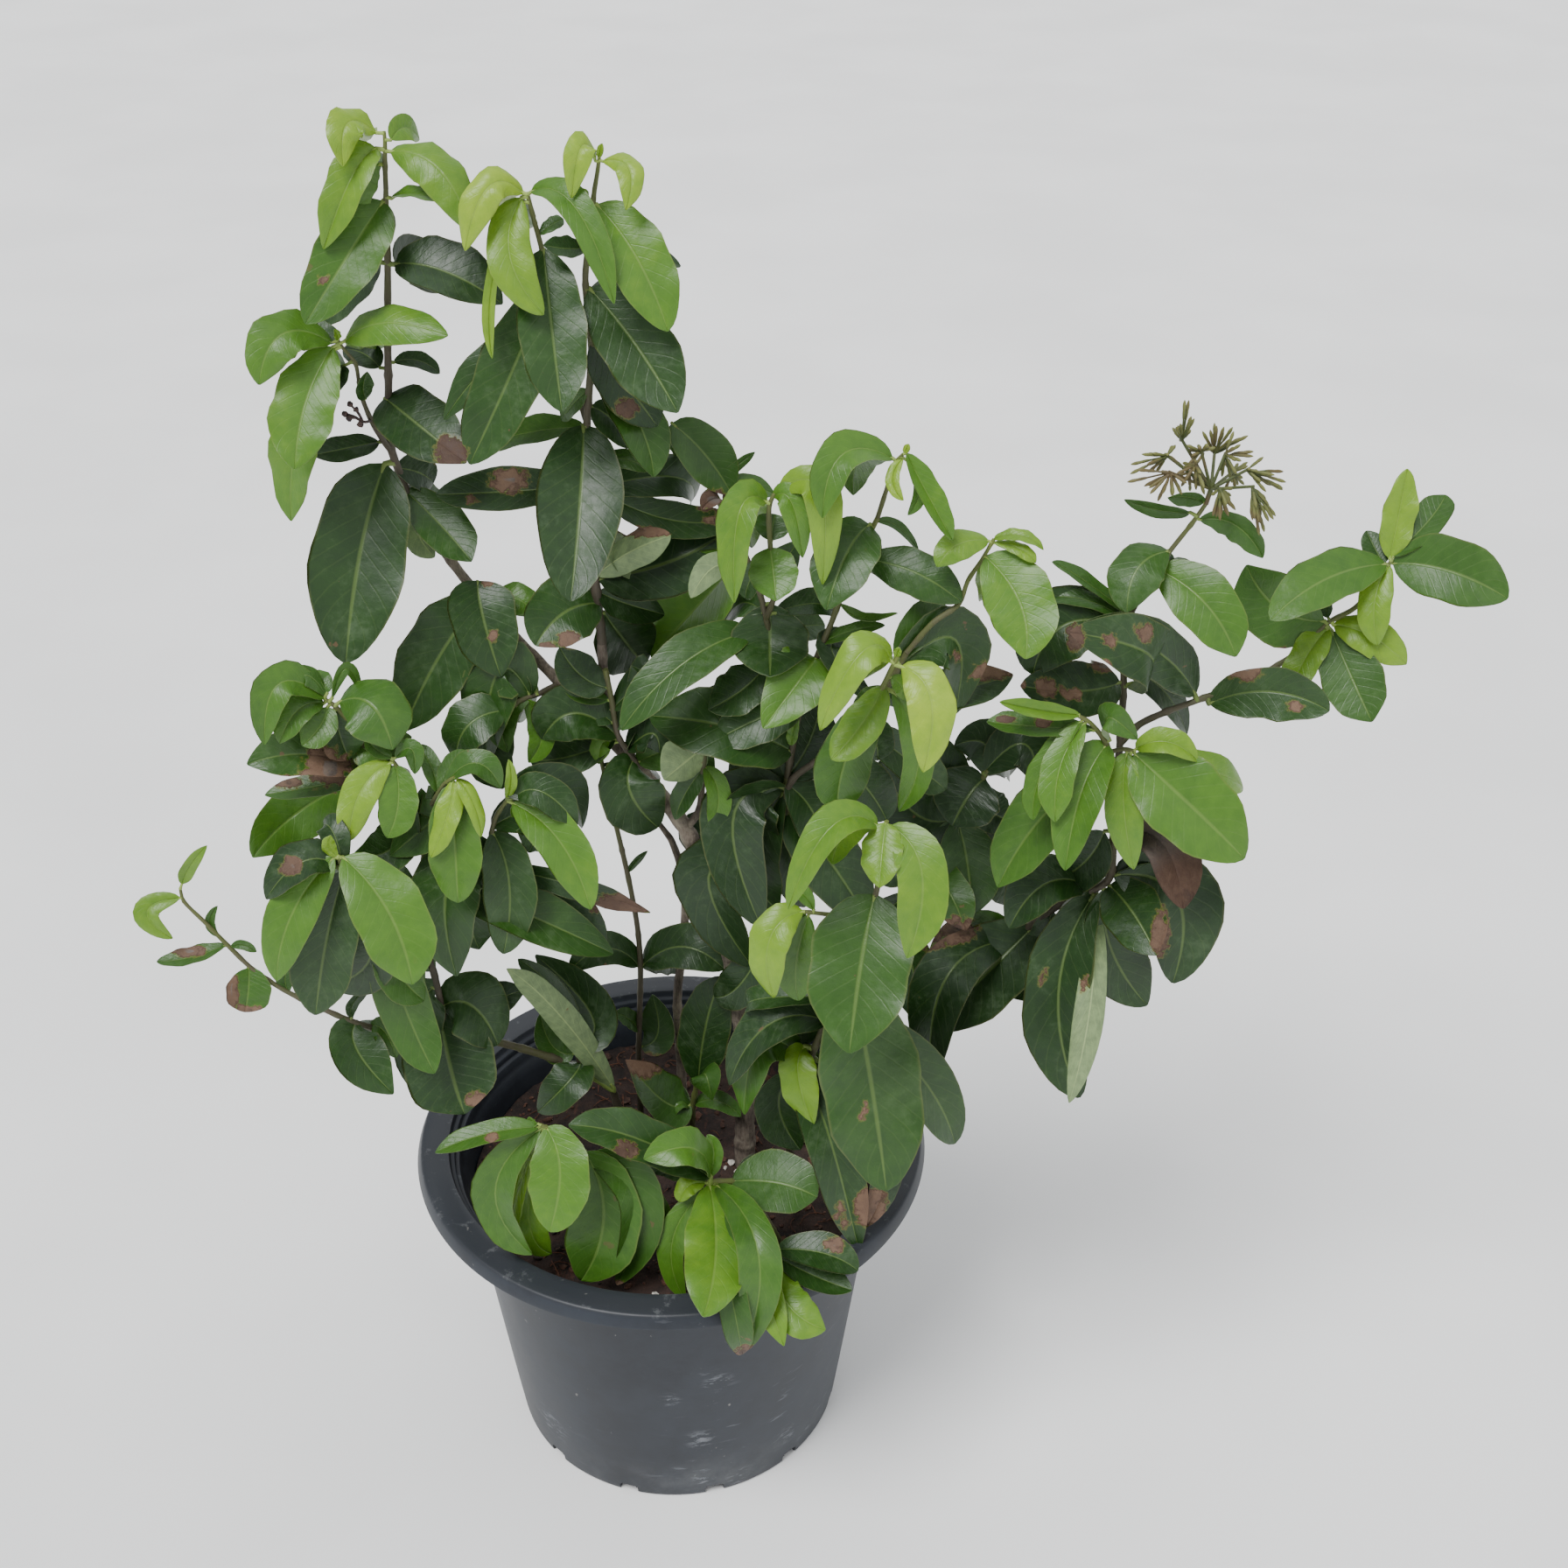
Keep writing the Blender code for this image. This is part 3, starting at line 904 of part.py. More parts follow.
def nearest_on(lines, target, to_bark=False, inside=False):
    """Closest point on a set of centre lines, or the distance to their bark."""
    best = None
    for points, radii in lines:
        for i in range(len(points) - 1):
            a = points[i]
            leg = points[i + 1] - a
            t = max(0.0, min(1.0, (target - a).dot(leg) / leg.length_squared))
            if inside and i == len(points) - 2:
                t = min(t, max(0.0, 1.0 - ROOT_SINK / leg.length))
            if inside and i == 0:
                t = max(t, min(1.0, ROOT_SINK / leg.length))
            spot = a + leg * t
            radius = radii[i] + (radii[i + 1] - radii[i]) * t
            away = (target - spot).length - (radius if to_bark else 0.0)
            if best is None or away < best[0]:
                best = (away, spot, radius)
    return best[0] if to_bark else best


def nearest_in_picture(stems, px, py):
    """Depth of the closest picture point on a set of stem routes."""
    best = None
    for entries in stems:
        seen = [e for e in entries if len(e) == 4]
        for a, b in zip(seen[:-1], seen[1:]):
            leg = (b[0] - a[0], b[1] - a[1])
            size = max(leg[0] ** 2 + leg[1] ** 2, 1e-9)
            t = max(0.0, min(1.0, ((px - a[0]) * leg[0] + (py - a[1]) * leg[1]) / size))
            away = math.hypot(px - a[0] - leg[0] * t, py - a[1] - leg[1] * t)
            if best is None or away < best[0]:
                best = (away, a[2] + (b[2] - a[2]) * t)
    return best[1]


# Changes tried in turn until a blade hangs clear: depth of tip and middle (cm), turn (degrees)
SWINGS = [(0, 0, 0)]
for reach in (0.7, 1.4, 2.1, 3.0, 4.0, 5.0, 6.5, 8.0):
    for turned in (0, 18, -18):
        SWINGS += [(reach, reach * 0.5, turned), (-reach, -reach * 0.5, turned), (reach, reach, turned),
                   (-reach, -reach, turned), (reach * 0.3, reach, turned), (-reach * 0.3, -reach, turned)]


def place_leaf(name, stems, lines, entry):
    """One leaf, bent clear of what already stands: its solid and its outer blade."""
    bx, by, mx, my, tx, ty, wide_px, out, spin, fold, tone = entry
    depth = nearest_in_picture(stems, bx, by)
    base = world_point(bx, by, depth)
    start = nearest_on(lines, base, inside=True)[1]
    best = None
    for tip_shift, mid_shift, turned in SWINGS:
        tip = world_point(tx, ty, depth - out + tip_shift)
        mid = world_point(mx, my, depth - out * 0.5 + mid_shift)
        half = width_at(mid, wide_px) * 0.5
        length = (mid - base).length + (tip - mid).length
        if length < LEAST_LEAF:
            return None
        turn = spin + turned
        whole = leaf_solid(start, base, mid, tip, half, turn, fold, OVAL)
        outer = test_blade(base, mid, tip, half, turn, fold, OVAL[1:])
        far = test_blade(base, mid, tip, half, turn, fold, OVAL)
        cuts = cuts_into(far, STANDING, name) + cuts_into(whole, STANDING, name)
        score = cuts * 100 + cuts_into(outer, BLADES, None)
        if best is None or score < best[0]:
            best = (score, whole, outer)
        if score == 0:
            break
    return best


def build_stems(name, stems, parents):
    """Tubes of one leafy stem, kept with everything that stands, and their centre lines."""
    solids = []
    lines = []
    for entries in stems:
        points, radii = stem_route(entries)
        ahead = seat_start(points, radii, parents) if parents and not lines else None
        verts, faces = tube(points, radii, STEM_SIDES, ahead)
        lines.append((points, radii))
        keep_standing(name, verts, faces)
        solids.append((verts, faces))
    return solids, lines


def fuse(name, slot, solids):
    """One closed body out of a row of closed solids; hair-small shifts get it past awkward meetings."""
    draw = random.Random(5)
    for attempt in range(FUSE_TRIES):
        body = mesh_object(name, *solids[0], slot)
        rest = bpy.data.collections.new(name + "_parts")
        bpy.context.scene.collection.children.link(rest)
        for verts, faces in solids[1:]:
            shift = Vector([draw.uniform(-1, 1) for axis in range(3)]) * FUSE_SHIFT * attempt
            piece = mesh_object(name + "_part", [v + shift for v in verts], faces, slot)
            bpy.context.scene.collection.objects.unlink(piece)
            rest.objects.link(piece)
        if rest.objects:
            join = body.modifiers.new("join", "BOOLEAN")
            join.operation = "UNION"
            join.operand_type = "COLLECTION"
            join.collection = rest
            join.solver = "MANIFOLD"
            settle(body)
        for piece in list(rest.objects):
            bpy.data.objects.remove(piece, do_unlink=True)
        bpy.data.collections.remove(rest)
        if close_up(body):
            return
        bpy.data.objects.remove(body, do_unlink=True)


def settle(body):
    """Apply the modifiers of an object."""
    graph = bpy.context.evaluated_depsgraph_get()
    shaped = bpy.data.meshes.new_from_object(body.evaluated_get(graph))
    old = body.data
    body.modifiers.clear()
    body.data = shaped
    bpy.data.meshes.remove(old)


def is_sound(shape):
    """True where every edge joins two faces and no corner joins two separate fans."""
    return (all(e.is_manifold and len(e.link_faces) == 2 for e in shape.edges)
            and all(v.is_manifold for v in shape.verts)
            and all(f.calc_area() > 1e-12 for f in shape.faces))


def simpler(shape):
    """The body with slivers melted and flat faces joined, as far as it stays closed."""
    for melt in MELTS:
        for flat in (1.0, 0.0):
            trial = shape.copy()
            bmesh.ops.remove_doubles(trial, verts=trial.verts[:], dist=melt)
            if flat:
                bmesh.ops.dissolve_limit(trial, angle_limit=math.radians(flat), verts=trial.verts[:],
                                         edges=trial.edges[:])
            bmesh.ops.triangulate(trial, faces=trial.faces[:])
            if is_sound(trial):
                return trial
            trial.free()
    return shape.copy()


def islands_of(shape):
    """Groups of joined corners, the largest first."""
    seen = set()
    groups = []
    for start in shape.verts:
        if start in seen:
            continue
        seen.add(start)
        pile = [start]
        group = []
        while pile:
            vert = pile.pop()
            group.append(vert)
            fresh = [e.other_vert(vert) for e in vert.link_edges if e.other_vert(vert) not in seen]
            seen.update(fresh)
            pile += fresh
        groups.append(group)
    return sorted(groups, key=len, reverse=True)


def close_up(body):
    """Bring a body to triangles and drop its crumbs; true where one sound body came out of it."""
    shape = bmesh.new()
    shape.from_mesh(body.data)
    bmesh.ops.triangulate(shape, faces=shape.faces[:])
    groups = islands_of(shape)
    crumbs = [vert for group in groups[1:] for vert in group]
    if crumbs:
        bmesh.ops.delete(shape, geom=crumbs, context="VERTS")
    thin = simpler(shape)
    sound = is_sound(thin) and all(len(group) < LEAST_CRUMB for group in groups[1:])
    thin.to_mesh(body.data)
    thin.free()
    shape.free()
    return sound


# Budding flower head: for each small hub (picture x, y, depth cm), the tips of its buds
HEAD_BASE = (1380, 573, 0)
HEAD_FORK = (1385, 556, 0)
HEAD_HUBS = [
    ((1351, 503, 1.0), [(1354, 457, 1.2), (1365, 478, .6), (1342, 493, 1.6), (1349, 484, .2)]),
    ((1388, 518, 1.5), [(1388, 483, 1.8), (1383, 491, 1.2), (1409, 488, 1.0), (1418, 500, 1.7)]),
    ((1400, 519, .5), [(1418, 508, .2), (1433, 516, .4), (1413, 542, -.2), (1408, 552, .6)]),
    ((1425, 537, 0), [(1467, 539, .4), (1457, 543, -.3), (1441, 551, -.6), (1466, 560, .2)]),
    ((1431, 556, -1.2), [(1439, 612, -1.4), (1445, 608, -1.0), (1450, 596, -1.5), (1458, 590, -1.1),
                         (1434, 594, -1.8)]),
    ((1334, 521, .5), [(1292, 531, .8), (1317, 518, .2), (1312, 540, -.1), (1340, 509, 1.0)]),
    ((1338, 540, -1.0), [(1288, 551, -.8), (1313, 558, -1.3), (1323, 573, -1.0), (1341, 566, -1.6),
                         (1349, 561, -.7)]),
    ((1366, 532, -.5), [(1354, 549, -.9), (1367, 560, -.4), (1372, 541, -1.2), (1352, 534, 0)]),
    ((1394, 558, -1.4), [(1386, 590, -1.6), (1396, 588, -1.1), (1404, 590, -1.9), (1412, 583, -1.3),
                         (1407, 567, -.9)]),
    ((1373, 516, .4), [(1362, 521, .1), (1369, 508, .8), (1381, 508, .2), (1361, 512, .9)]),
    ((1360, 540, 2.2), [(1344, 528, 2.8), (1350, 556, 2.9), (1366, 522, 3.0), (1371, 556, 2.6)]),
    ((1408, 540, 2.2), [(1426, 528, 2.8), (1422, 554, 2.8), (1404, 524, 3.0), (1400, 560, 2.7)]),
]

# Knobs of the dried stalk: picture x, y, depth cm, radius mm
DRIED_KNOBS = [(400, 462, 1.1, 1.5), (399, 478, .9, 1.7), (407, 468, 1.3, 1.5), (412, 485, 1.0, 1.7),
               (394, 473, 1.0, 1.6)]


def stalked_bud(root, tip, share):
    """Pointed bud on its thin stalk, in one three-sided spike."""
    ahead = (tip - root).normalized()
    side, up = ring_frame(ahead, BUD_HINT)
    widest = root + (tip - root) * (share + (1 - share) * 0.5)
    verts = [root]
    for k in range(3):
        turn = 2 * math.pi * k / 3
        verts.append(widest + (side * math.cos(turn) + up * math.sin(turn)) * BUD_R)
    verts.append(tip)
    faces = []
    for k in range(3):
        a = 1 + k
        b = 1 + (k + 1) % 3
        faces.append((0, b, a))
        faces.append((4, a, b))
    return verts, faces


def bead(centre, radius):
    """Eight-faced knob."""
    steps = [Vector((1, 0, 0)), Vector((0, 1, 0)), Vector((-1, 0, 0)), Vector((0, -1, 0))]
    verts = [centre + step * radius for step in steps]
    verts += [centre + Vector((0, 0, radius)), centre - Vector((0, 0, radius))]
    faces = []
    for k in range(4):
        faces.append((k, (k + 1) % 4, 4))
        faces.append(((k + 1) % 4, k, 5))
    return verts, faces


def flower_head_solids(parents):
    points = [world_point(*HEAD_BASE), world_point(*HEAD_FORK)]
    radii = list(HEAD_STALK)
    ahead = seat_start(points, radii, parents)
    solids = [tube(points, radii, STEM_SIDES, ahead)]
    for hub, tips in HEAD_HUBS:
        centre = world_point(*hub)
        solids.append(tube([points[0].lerp(points[1], HUB_ROOT), centre], HUB_STALK, SPRIG_SIDES))
        solids.append(bead(centre, HUB_R))
        for spot in tips:
            tip = world_point(*spot)
            reach = (tip - centre).length
            root = centre + (tip - centre) * (HUB_R * 0.5 / reach)
            solids.append(stalked_bud(root, tip, max(LEAST_BUD_STALK, 1 - BUD_LENGTH / reach)))
    return solids


def lathe(name, profile, sides, slot):
    """Round closed solid from a closed profile of (radius, height) pairs."""
    verts = []
    faces = []
    count = len(profile)
    rows = []
    for radius, height in profile:
        if radius < 1e-6:
            rows.append([len(verts)])
            verts.append(Vector((0, 0, height)))
            continue
        row = []
        for k in range(sides):
            turn = 2 * math.pi * k / sides
            row.append(len(verts))
            verts.append(Vector((radius * math.cos(turn), radius * math.sin(turn), height)))
        rows.append(row)
    for i in range(count):
        a = rows[i]
        b = rows[(i + 1) % count]
        if len(a) == 1 and len(b) == 1:
            continue
        for k in range(sides):
            n = (k + 1) % sides
            if len(a) == 1:
                faces.append((a[0], b[n], b[k]))
            elif len(b) == 1:
                faces.append((a[k], a[n], b[0]))
            else:
                faces.append((a[k], a[n], b[n], b[k]))
    return mesh_object(name, verts, faces, slot)


def cut_away(body, cutters):
    """Subtract a set of closed solids, given as (verts, faces)."""
    tools = bpy.data.collections.new(body.name + "_cutters")
    bpy.context.scene.collection.children.link(tools)
    for number, (verts, faces) in enumerate(cutters):
        piece = mesh_object(body.name + "_cut_%d" % number, verts, faces, "soil")
        bpy.context.scene.collection.objects.unlink(piece)
        tools.objects.link(piece)
    cut = body.modifiers.new("cut", "BOOLEAN")
    cut.operation = "DIFFERENCE"
    cut.operand_type = "COLLECTION"
    cut.collection = tools
    cut.solver = "EXACT"
    settle(body)
    for piece in list(tools.objects):
        bpy.data.objects.remove(piece, do_unlink=True)
    bpy.data.collections.remove(tools)


def wall_radius(z):
    """Outer radius of the tapering pot wall."""
    return POT_BASE_R + (POT_WALL_TOP_R - POT_BASE_R) * z / (POT_H - POT_COLLAR_H)


def make_pot():
    lip_z = POT_H - POT_LIP_T
    collar_z = POT_H - POT_COLLAR_H
    flare_z = collar_z - POT_FLARE_H
    inside_top = wall_radius(collar_z) - POT_WALL
    profile = [
        (0, 0), (POT_BASE_R - POT_FOOT_EDGE, 0), (POT_BASE_R, POT_FOOT_EDGE),
        (wall_radius(flare_z), flare_z), (POT_COLLAR_R - POT_COLLAR_LEDGE, collar_z),
        (POT_COLLAR_R, collar_z + POT_COLLAR_EDGE),
        (POT_RIM_R, POT_H - POT_RIM_EDGE), (POT_RIM_R - POT_RIM_EDGE, POT_H), (POT_LIP_INNER_R, POT_H),
    ]
    profile += [(POT_LIP_INNER_R - inward, lip_z - down) for inward, down in POT_LIP_STEPS]
    profile += [(inside_top - POT_STEP_FOOT_IN, lip_z - POT_STEP_FOOT_DOWN),
                (wall_radius(POT_FLOOR) - POT_WALL, POT_FLOOR), (0, POT_FLOOR)]
    pot = lathe("pot", profile, POT_SIDES, "pot_plastic")
    notches = []
    for k in range(DRAIN_NOTCHES):
        turn = Matrix.Rotation(2 * math.pi * (k + 0.5) / DRAIN_NOTCHES, 4, "Z")
        x0, x1 = POT_BASE_R - NOTCH_DEEP, POT_BASE_R + NOTCH_DEEP
        y1, z0, z1 = NOTCH_HALF, -NOTCH_HIGH, NOTCH_HIGH
        corners = [(x0, -y1, z0), (x1, -y1, z0), (x1, y1, z0), (x0, y1, z0),
                   (x0, -y1, z1), (x1, -y1, z1), (x1, y1, z1), (x0, y1, z1)]
        faces = [(0, 3, 2, 1), (4, 5, 6, 7), (0, 1, 5, 4), (1, 2, 6, 5), (2, 3, 7, 6), (3, 0, 4, 7)]
        notches.append(([turn @ Vector(c) for c in corners], faces))
    cut_away(pot, notches)
    return pot


def make_soil(feet):
    low = POT_FLOOR + GAP
    draw = random.Random(SOIL_SEED)

    def edge(z):
        return wall_radius(z) - POT_WALL - SOIL_SIDE_GAP
    profile = [(0, low), (edge(low) - SOIL_BEVEL, low), (edge(SOIL_BEVEL), SOIL_BEVEL),
               (edge(SOIL_TOP), SOIL_TOP)]
    profile += [(radius, SOIL_TOP + lift) for radius, lift in SOIL_RINGS]
    soil = lathe("soil", profile, SOIL_SIDES, "soil")
    for vert in soil.data.vertices:
        if vert.co.z > SOIL_TOP - SOIL_BUMPS and Vector(vert.co.xy).length < SOIL_ROUGH_R:
            vert.co.z += draw.uniform(-SOIL_BUMPS, SOIL_BUMPS)
    shape = bmesh.new()
    shape.from_mesh(soil.data)
    bmesh.ops.triangulate(shape, faces=shape.faces[:])
    shape.to_mesh(soil.data)
    shape.free()
    holes = []
    for x, y, radius in feet:
        reach = (radius * MM + GAP) / math.cos(math.pi / HOLE_SIDES)
        holes.append(tube([Vector((x, y, FOOT_Z - GAP)), Vector((x, y, SOIL_TOP + HOLE_ABOVE))],
                          [reach, reach], HOLE_SIDES))
    cut_away(soil, holes)
    return soil


def back_leaf(entry):
    """A leaf turned to the back, behind the one that the picture shows."""
    bx, by, mx, my, tx, ty, wide_px, out, spin, fold, tone = entry
    mid_share, tip_share, width_share = BACK_SHARES
    return (bx, by, bx + (mx - bx) * mid_share, by + (my - by) * mid_share, bx + (tx - bx) * tip_share,
            by + (ty - by) * tip_share, wide_px * width_share, -BACK_REACH, -spin, BACK_FOLD, tone)


def hang_leaves(name, stems, lines, leaves):
    """Solids of a piece's leaves, with some more turned to the back where they hang clear."""
    large = [entry for entry in leaves if entry[6] >= BACK_WIDTH and entry[7] > 0]
    hidden = [back_leaf(entry) for entry in large[::BACK_EVERY]]
    solids = []
    for entry in leaves + hidden:
        hung = place_leaf(name, stems, lines, entry)
        if hung is None or (entry in hidden and hung[0] > 0):
            continue
        keep_standing(name, *hung[1])
        keep_standing(name, *hung[2], BLADES)
        solids.append(hung[1])
    return solids


def dried_knobs(stalk):
    solids = []
    for px, py, depth, radius in DRIED_KNOBS:
        place = world_point(px, py, depth)
        solids.append(bead(place, radius * MM))
        solids.append(tube([stalk[1], place], KNOB_STALK, SPRIG_SIDES))
    return solids


def build():
    for old in list(bpy.data.objects):
        bpy.data.objects.remove(old, do_unlink=True)
    shoots = [("woody_branches", "soil", "bark", WOODY_STEMS, []),
              ("upright_woody_stem", "soil", "bark", UPRIGHT_STEM, [])] + SHOOTS
    feet = [route[0] for entry in shoots for route in entry[3] if len(route[0]) == 3]
    for body in (make_pot(), make_soil(feet)):
        verts = [v.co.copy() for v in body.data.vertices]
        keep_standing(body.name, verts, [tuple(p.vertices) for p in body.data.polygons])
    solids = {}
    lines = {"soil": []}
    for name, grows_from, slot, stems, leaves in shoots:
        solids[name], lines[name] = build_stems(name, stems, lines[grows_from])
    solids["dried_fruit_stalk"] += dried_knobs(lines["dried_fruit_stalk"][0][0])
    solids["flower_head"] = flower_head_solids(lines["flower_stem_leaves"])
    for name in ("dried_fruit_stalk", "flower_head"):
        for solid in solids[name]:
            keep_standing(name, *solid)
    for name, grows_from, slot, stems, leaves in shoots:
        solids[name] += hang_leaves(name, stems, lines[name], leaves)
        fuse(name, slot, solids[name])
    fuse("flower_head", "bud", solids["flower_head"])


build()
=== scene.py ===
"""The potted ixora of the photograph: pot, soil, woody stems, leafy stems, flower head and dried stalk."""
import json
import math
import random
from collections import namedtuple

import bmesh
import bpy
from mathutils import Matrix, Vector, kdtree, noise

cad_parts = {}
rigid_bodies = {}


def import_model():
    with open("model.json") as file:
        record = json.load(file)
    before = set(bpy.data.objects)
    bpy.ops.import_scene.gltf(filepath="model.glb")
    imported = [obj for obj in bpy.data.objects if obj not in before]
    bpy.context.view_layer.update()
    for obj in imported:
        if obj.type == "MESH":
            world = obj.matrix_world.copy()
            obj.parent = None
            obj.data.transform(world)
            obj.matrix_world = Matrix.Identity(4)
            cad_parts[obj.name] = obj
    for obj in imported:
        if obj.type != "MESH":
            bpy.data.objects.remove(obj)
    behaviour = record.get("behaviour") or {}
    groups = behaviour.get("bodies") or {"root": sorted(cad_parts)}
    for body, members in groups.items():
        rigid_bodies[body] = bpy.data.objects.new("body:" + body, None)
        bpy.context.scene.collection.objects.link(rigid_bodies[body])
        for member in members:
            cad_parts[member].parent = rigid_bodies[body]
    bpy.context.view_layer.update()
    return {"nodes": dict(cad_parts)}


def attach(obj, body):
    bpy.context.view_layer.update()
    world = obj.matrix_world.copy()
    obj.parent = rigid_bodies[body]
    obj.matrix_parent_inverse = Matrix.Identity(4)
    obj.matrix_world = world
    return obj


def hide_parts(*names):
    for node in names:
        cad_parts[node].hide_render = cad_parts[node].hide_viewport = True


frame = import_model()

# Standpoint
# The eye stands about a metre up, close in front, and looks down on the plant. All that grows is placed by
# where it is seen from here, in pixels of the picture, and by its depth: how many centimetres it stands
# behind the pot's middle, so that what comes forward counts below nought.
VIEW_FROM = Vector((0.068, -0.944, 1.067))
VIEW_PITCH = math.radians(32.3)
VIEW_ROLL = math.radians(0.44)
VIEW_REACH = 2296.0  # pixels
VIEW_MIDDLE = 896.0  # pixels
SENSOR = 36.0
CM = 0.01
MM = 0.001
AHEAD = Vector((0, math.cos(VIEW_PITCH), -math.sin(VIEW_PITCH)))
UPWARD = Vector((0, math.sin(VIEW_PITCH), math.cos(VIEW_PITCH)))
ACROSS = Vector((1, 0, 0))
PIXEL_RIGHT = math.cos(VIEW_ROLL) * ACROSS + math.sin(VIEW_ROLL) * UPWARD
PIXEL_UP = -math.sin(VIEW_ROLL) * ACROSS + math.cos(VIEW_ROLL) * UPWARD

camera_data = bpy.data.cameras.new("standpoint")
camera_data.sensor_width = SENSOR
camera_data.lens = VIEW_REACH / (2 * VIEW_MIDDLE) * SENSOR
camera = bpy.data.objects.new("standpoint", camera_data)
bpy.context.scene.collection.objects.link(camera)
camera.matrix_world = Matrix((
    (*[v.x for v in (PIXEL_RIGHT, PIXEL_UP, -AHEAD)], VIEW_FROM.x),
    (*[v.y for v in (PIXEL_RIGHT, PIXEL_UP, -AHEAD)], VIEW_FROM.y),
    (*[v.z for v in (PIXEL_RIGHT, PIXEL_UP, -AHEAD)], VIEW_FROM.z),
    (0, 0, 0, 1)))
bpy.context.scene.camera = camera


def world_point(px, py, depth_cm):
    """Point seen at a picture position, on the upright plane at the given depth."""
    ray = (AHEAD + PIXEL_RIGHT * ((px - VIEW_MIDDLE) / VIEW_REACH)
           - PIXEL_UP * ((py - VIEW_MIDDLE) / VIEW_REACH))
    return VIEW_FROM + ray * ((depth_cm * CM - VIEW_FROM.y) / ray.y)


def width_at(point, pixels):
    """True width of something seen that many pixels wide at a point."""
    return pixels * (point - VIEW_FROM).dot(AHEAD) / VIEW_REACH


def seen_at(point):
    """Picture position of a point."""
    away = point - VIEW_FROM
    reach = away.dot(AHEAD)
    return (VIEW_MIDDLE + away.dot(PIXEL_RIGHT) / reach * VIEW_REACH,
            VIEW_MIDDLE - away.dot(PIXEL_UP) / reach * VIEW_REACH)


# Pot
# Injection-moulded nursery pot of slate-grey plastic: a tapered wall, a collar and a wide flat lip that
# steps down inside. It is scuffed and dusty, most of all low on the wall.
class Wire:
    """A value on its way through a material; sums on it add the nodes that work them out."""

    def __init__(self, tree, socket=None):
        self.tree = tree
        self.socket = socket

    def node(self, kind, settings=None, out=0, **sockets):
        """Output of a new node: first its settings, or a ramp's stops, then what goes into its sockets."""
        made = self.tree.nodes.new("ShaderNode" + kind)
        for key, value in (settings or {}).items():
            if key == "stops":
                points = made.color_ramp.elements
                points[0].position, points[0].color = value[0]
                points[1].position, points[1].color = value[-1]
                for place, shade in value[1:-1]:
                    points.new(place).color = shade
            else:
                setattr(made, key, value)
        for key, value in sockets.items():
            place = made.inputs[int(key[1:])] if key[1:].isdigit() else made.inputs[key.replace("_", " ")]
            if isinstance(value, Wire):
                self.tree.links.new(value.socket, place)
            else:
                place.default_value = value
        return Wire(self.tree, made.outputs[out])

    def sum(self, operation, *values):
        return self.node("Math", {"operation": operation},
                         **{"i%d" % k: value for k, value in enumerate(values)})

    def __add__(self, other):
        return self.sum("ADD", self, other)

    def __sub__(self, other):
        return self.sum("SUBTRACT", self, other)

    def __rsub__(self, other):
        return self.sum("SUBTRACT", other, self)

    def __mul__(self, other):
        return self.sum("MULTIPLY", self, other)

    __radd__ = __add__
    __rmul__ = __mul__

    def rise(self, low, high):
        """0 below low and 1 above high, with a soft passage between."""
        return self.node("MapRange", {"interpolation_type": "SMOOTHSTEP"},
                         Value=self, From_Min=low, From_Max=high)

    def tint(self, low, high):
        """Colour that goes from low to high as this value goes from 0 to 1."""
        return self.node("Mix", {"data_type": "RGBA"}, out=2, i0=self, i6=low, i7=high)

    def noise(self, scale, detail=4.0, rough=0.55, stretch=(1, 1, 1)):
        """Cloudy value about 0.5 on a place."""
        placed = self.node("Mapping", Vector=self, Scale=stretch)
        return self.node("TexNoise", Vector=placed, Scale=scale, Detail=detail, Roughness=rough)

    def part(self, axis):
        """One of the three measures of a place."""
        return self.node("SeparateXYZ", out=axis, Vector=self)


def colour(red, green, blue):
    """Linear colour from the 0 to 255 values of a screen."""
    shares = [value / 255 for value in (red, green, blue)]
    return (*[c / 12.92 if c < 0.0405 else ((c + 0.055) / 1.055) ** 2.4 for c in shares], 1)


def new_material(name):
    """A bare material: its tree's start and its shader."""
    made = bpy.data.materials.new(name)
    made.use_nodes = True
    return made, Wire(made.node_tree), made.node_tree.nodes["Principled BSDF"]


def feed(shader, start, **values):
    """Link or set the shader's sockets."""
    for key, value in values.items():
        place = shader.inputs[key.replace("_", " ")]
        if isinstance(value, Wire):
            start.tree.links.new(value.socket, place)
        else:
            place.default_value = value


def bumpy(start, height, strength, distance):
    """Surface relief out of a height, for the shader's Normal."""
    return start.node("Bump", Height=height, Strength=strength, Distance=distance)


def round_row(shape, radius, height, sides):
    """Corners of one level ring; on the axis they are all the same one."""
    if radius == 0:
        return [shape.verts.new((0, 0, height))] * sides
    turns = [2 * math.pi * k / sides for k in range(sides)]
    return [shape.verts.new((radius * math.cos(a), radius * math.sin(a), height)) for a in turns]


def skin_over(shape, rows, sides):
    """Faces from ring to ring, turned outward."""
    for low, high in zip(rows[:-1], rows[1:]):
        for k in range(sides):
            corners = [low[k], low[(k + 1) % sides], high[(k + 1) % sides], high[k]]
            shape.faces.new(list(dict.fromkeys(corners)))
    bmesh.ops.recalc_face_normals(shape, faces=shape.faces[:])


def spun(name, profile, sides):
    """Closed round mesh over a row of (radius, height) pairs that starts and ends on the axis."""
    shape = bmesh.new()
    rows = [round_row(shape, radius, height, sides) for radius, height in profile]
    skin_over(shape, rows, sides)
    return finished(name, shape)


def finished(name, shape, sharp=40):
    """Object out of a bmesh, smooth but for its sharp edges."""
    mesh = bpy.data.meshes.new(name)
    shape.to_mesh(mesh)
    shape.free()
    mesh.shade_smooth()
    mesh.set_sharp_from_angle(angle=math.radians(sharp))
    made = bpy.data.objects.new(name, mesh)
    bpy.context.scene.collection.objects.link(made)
    return made


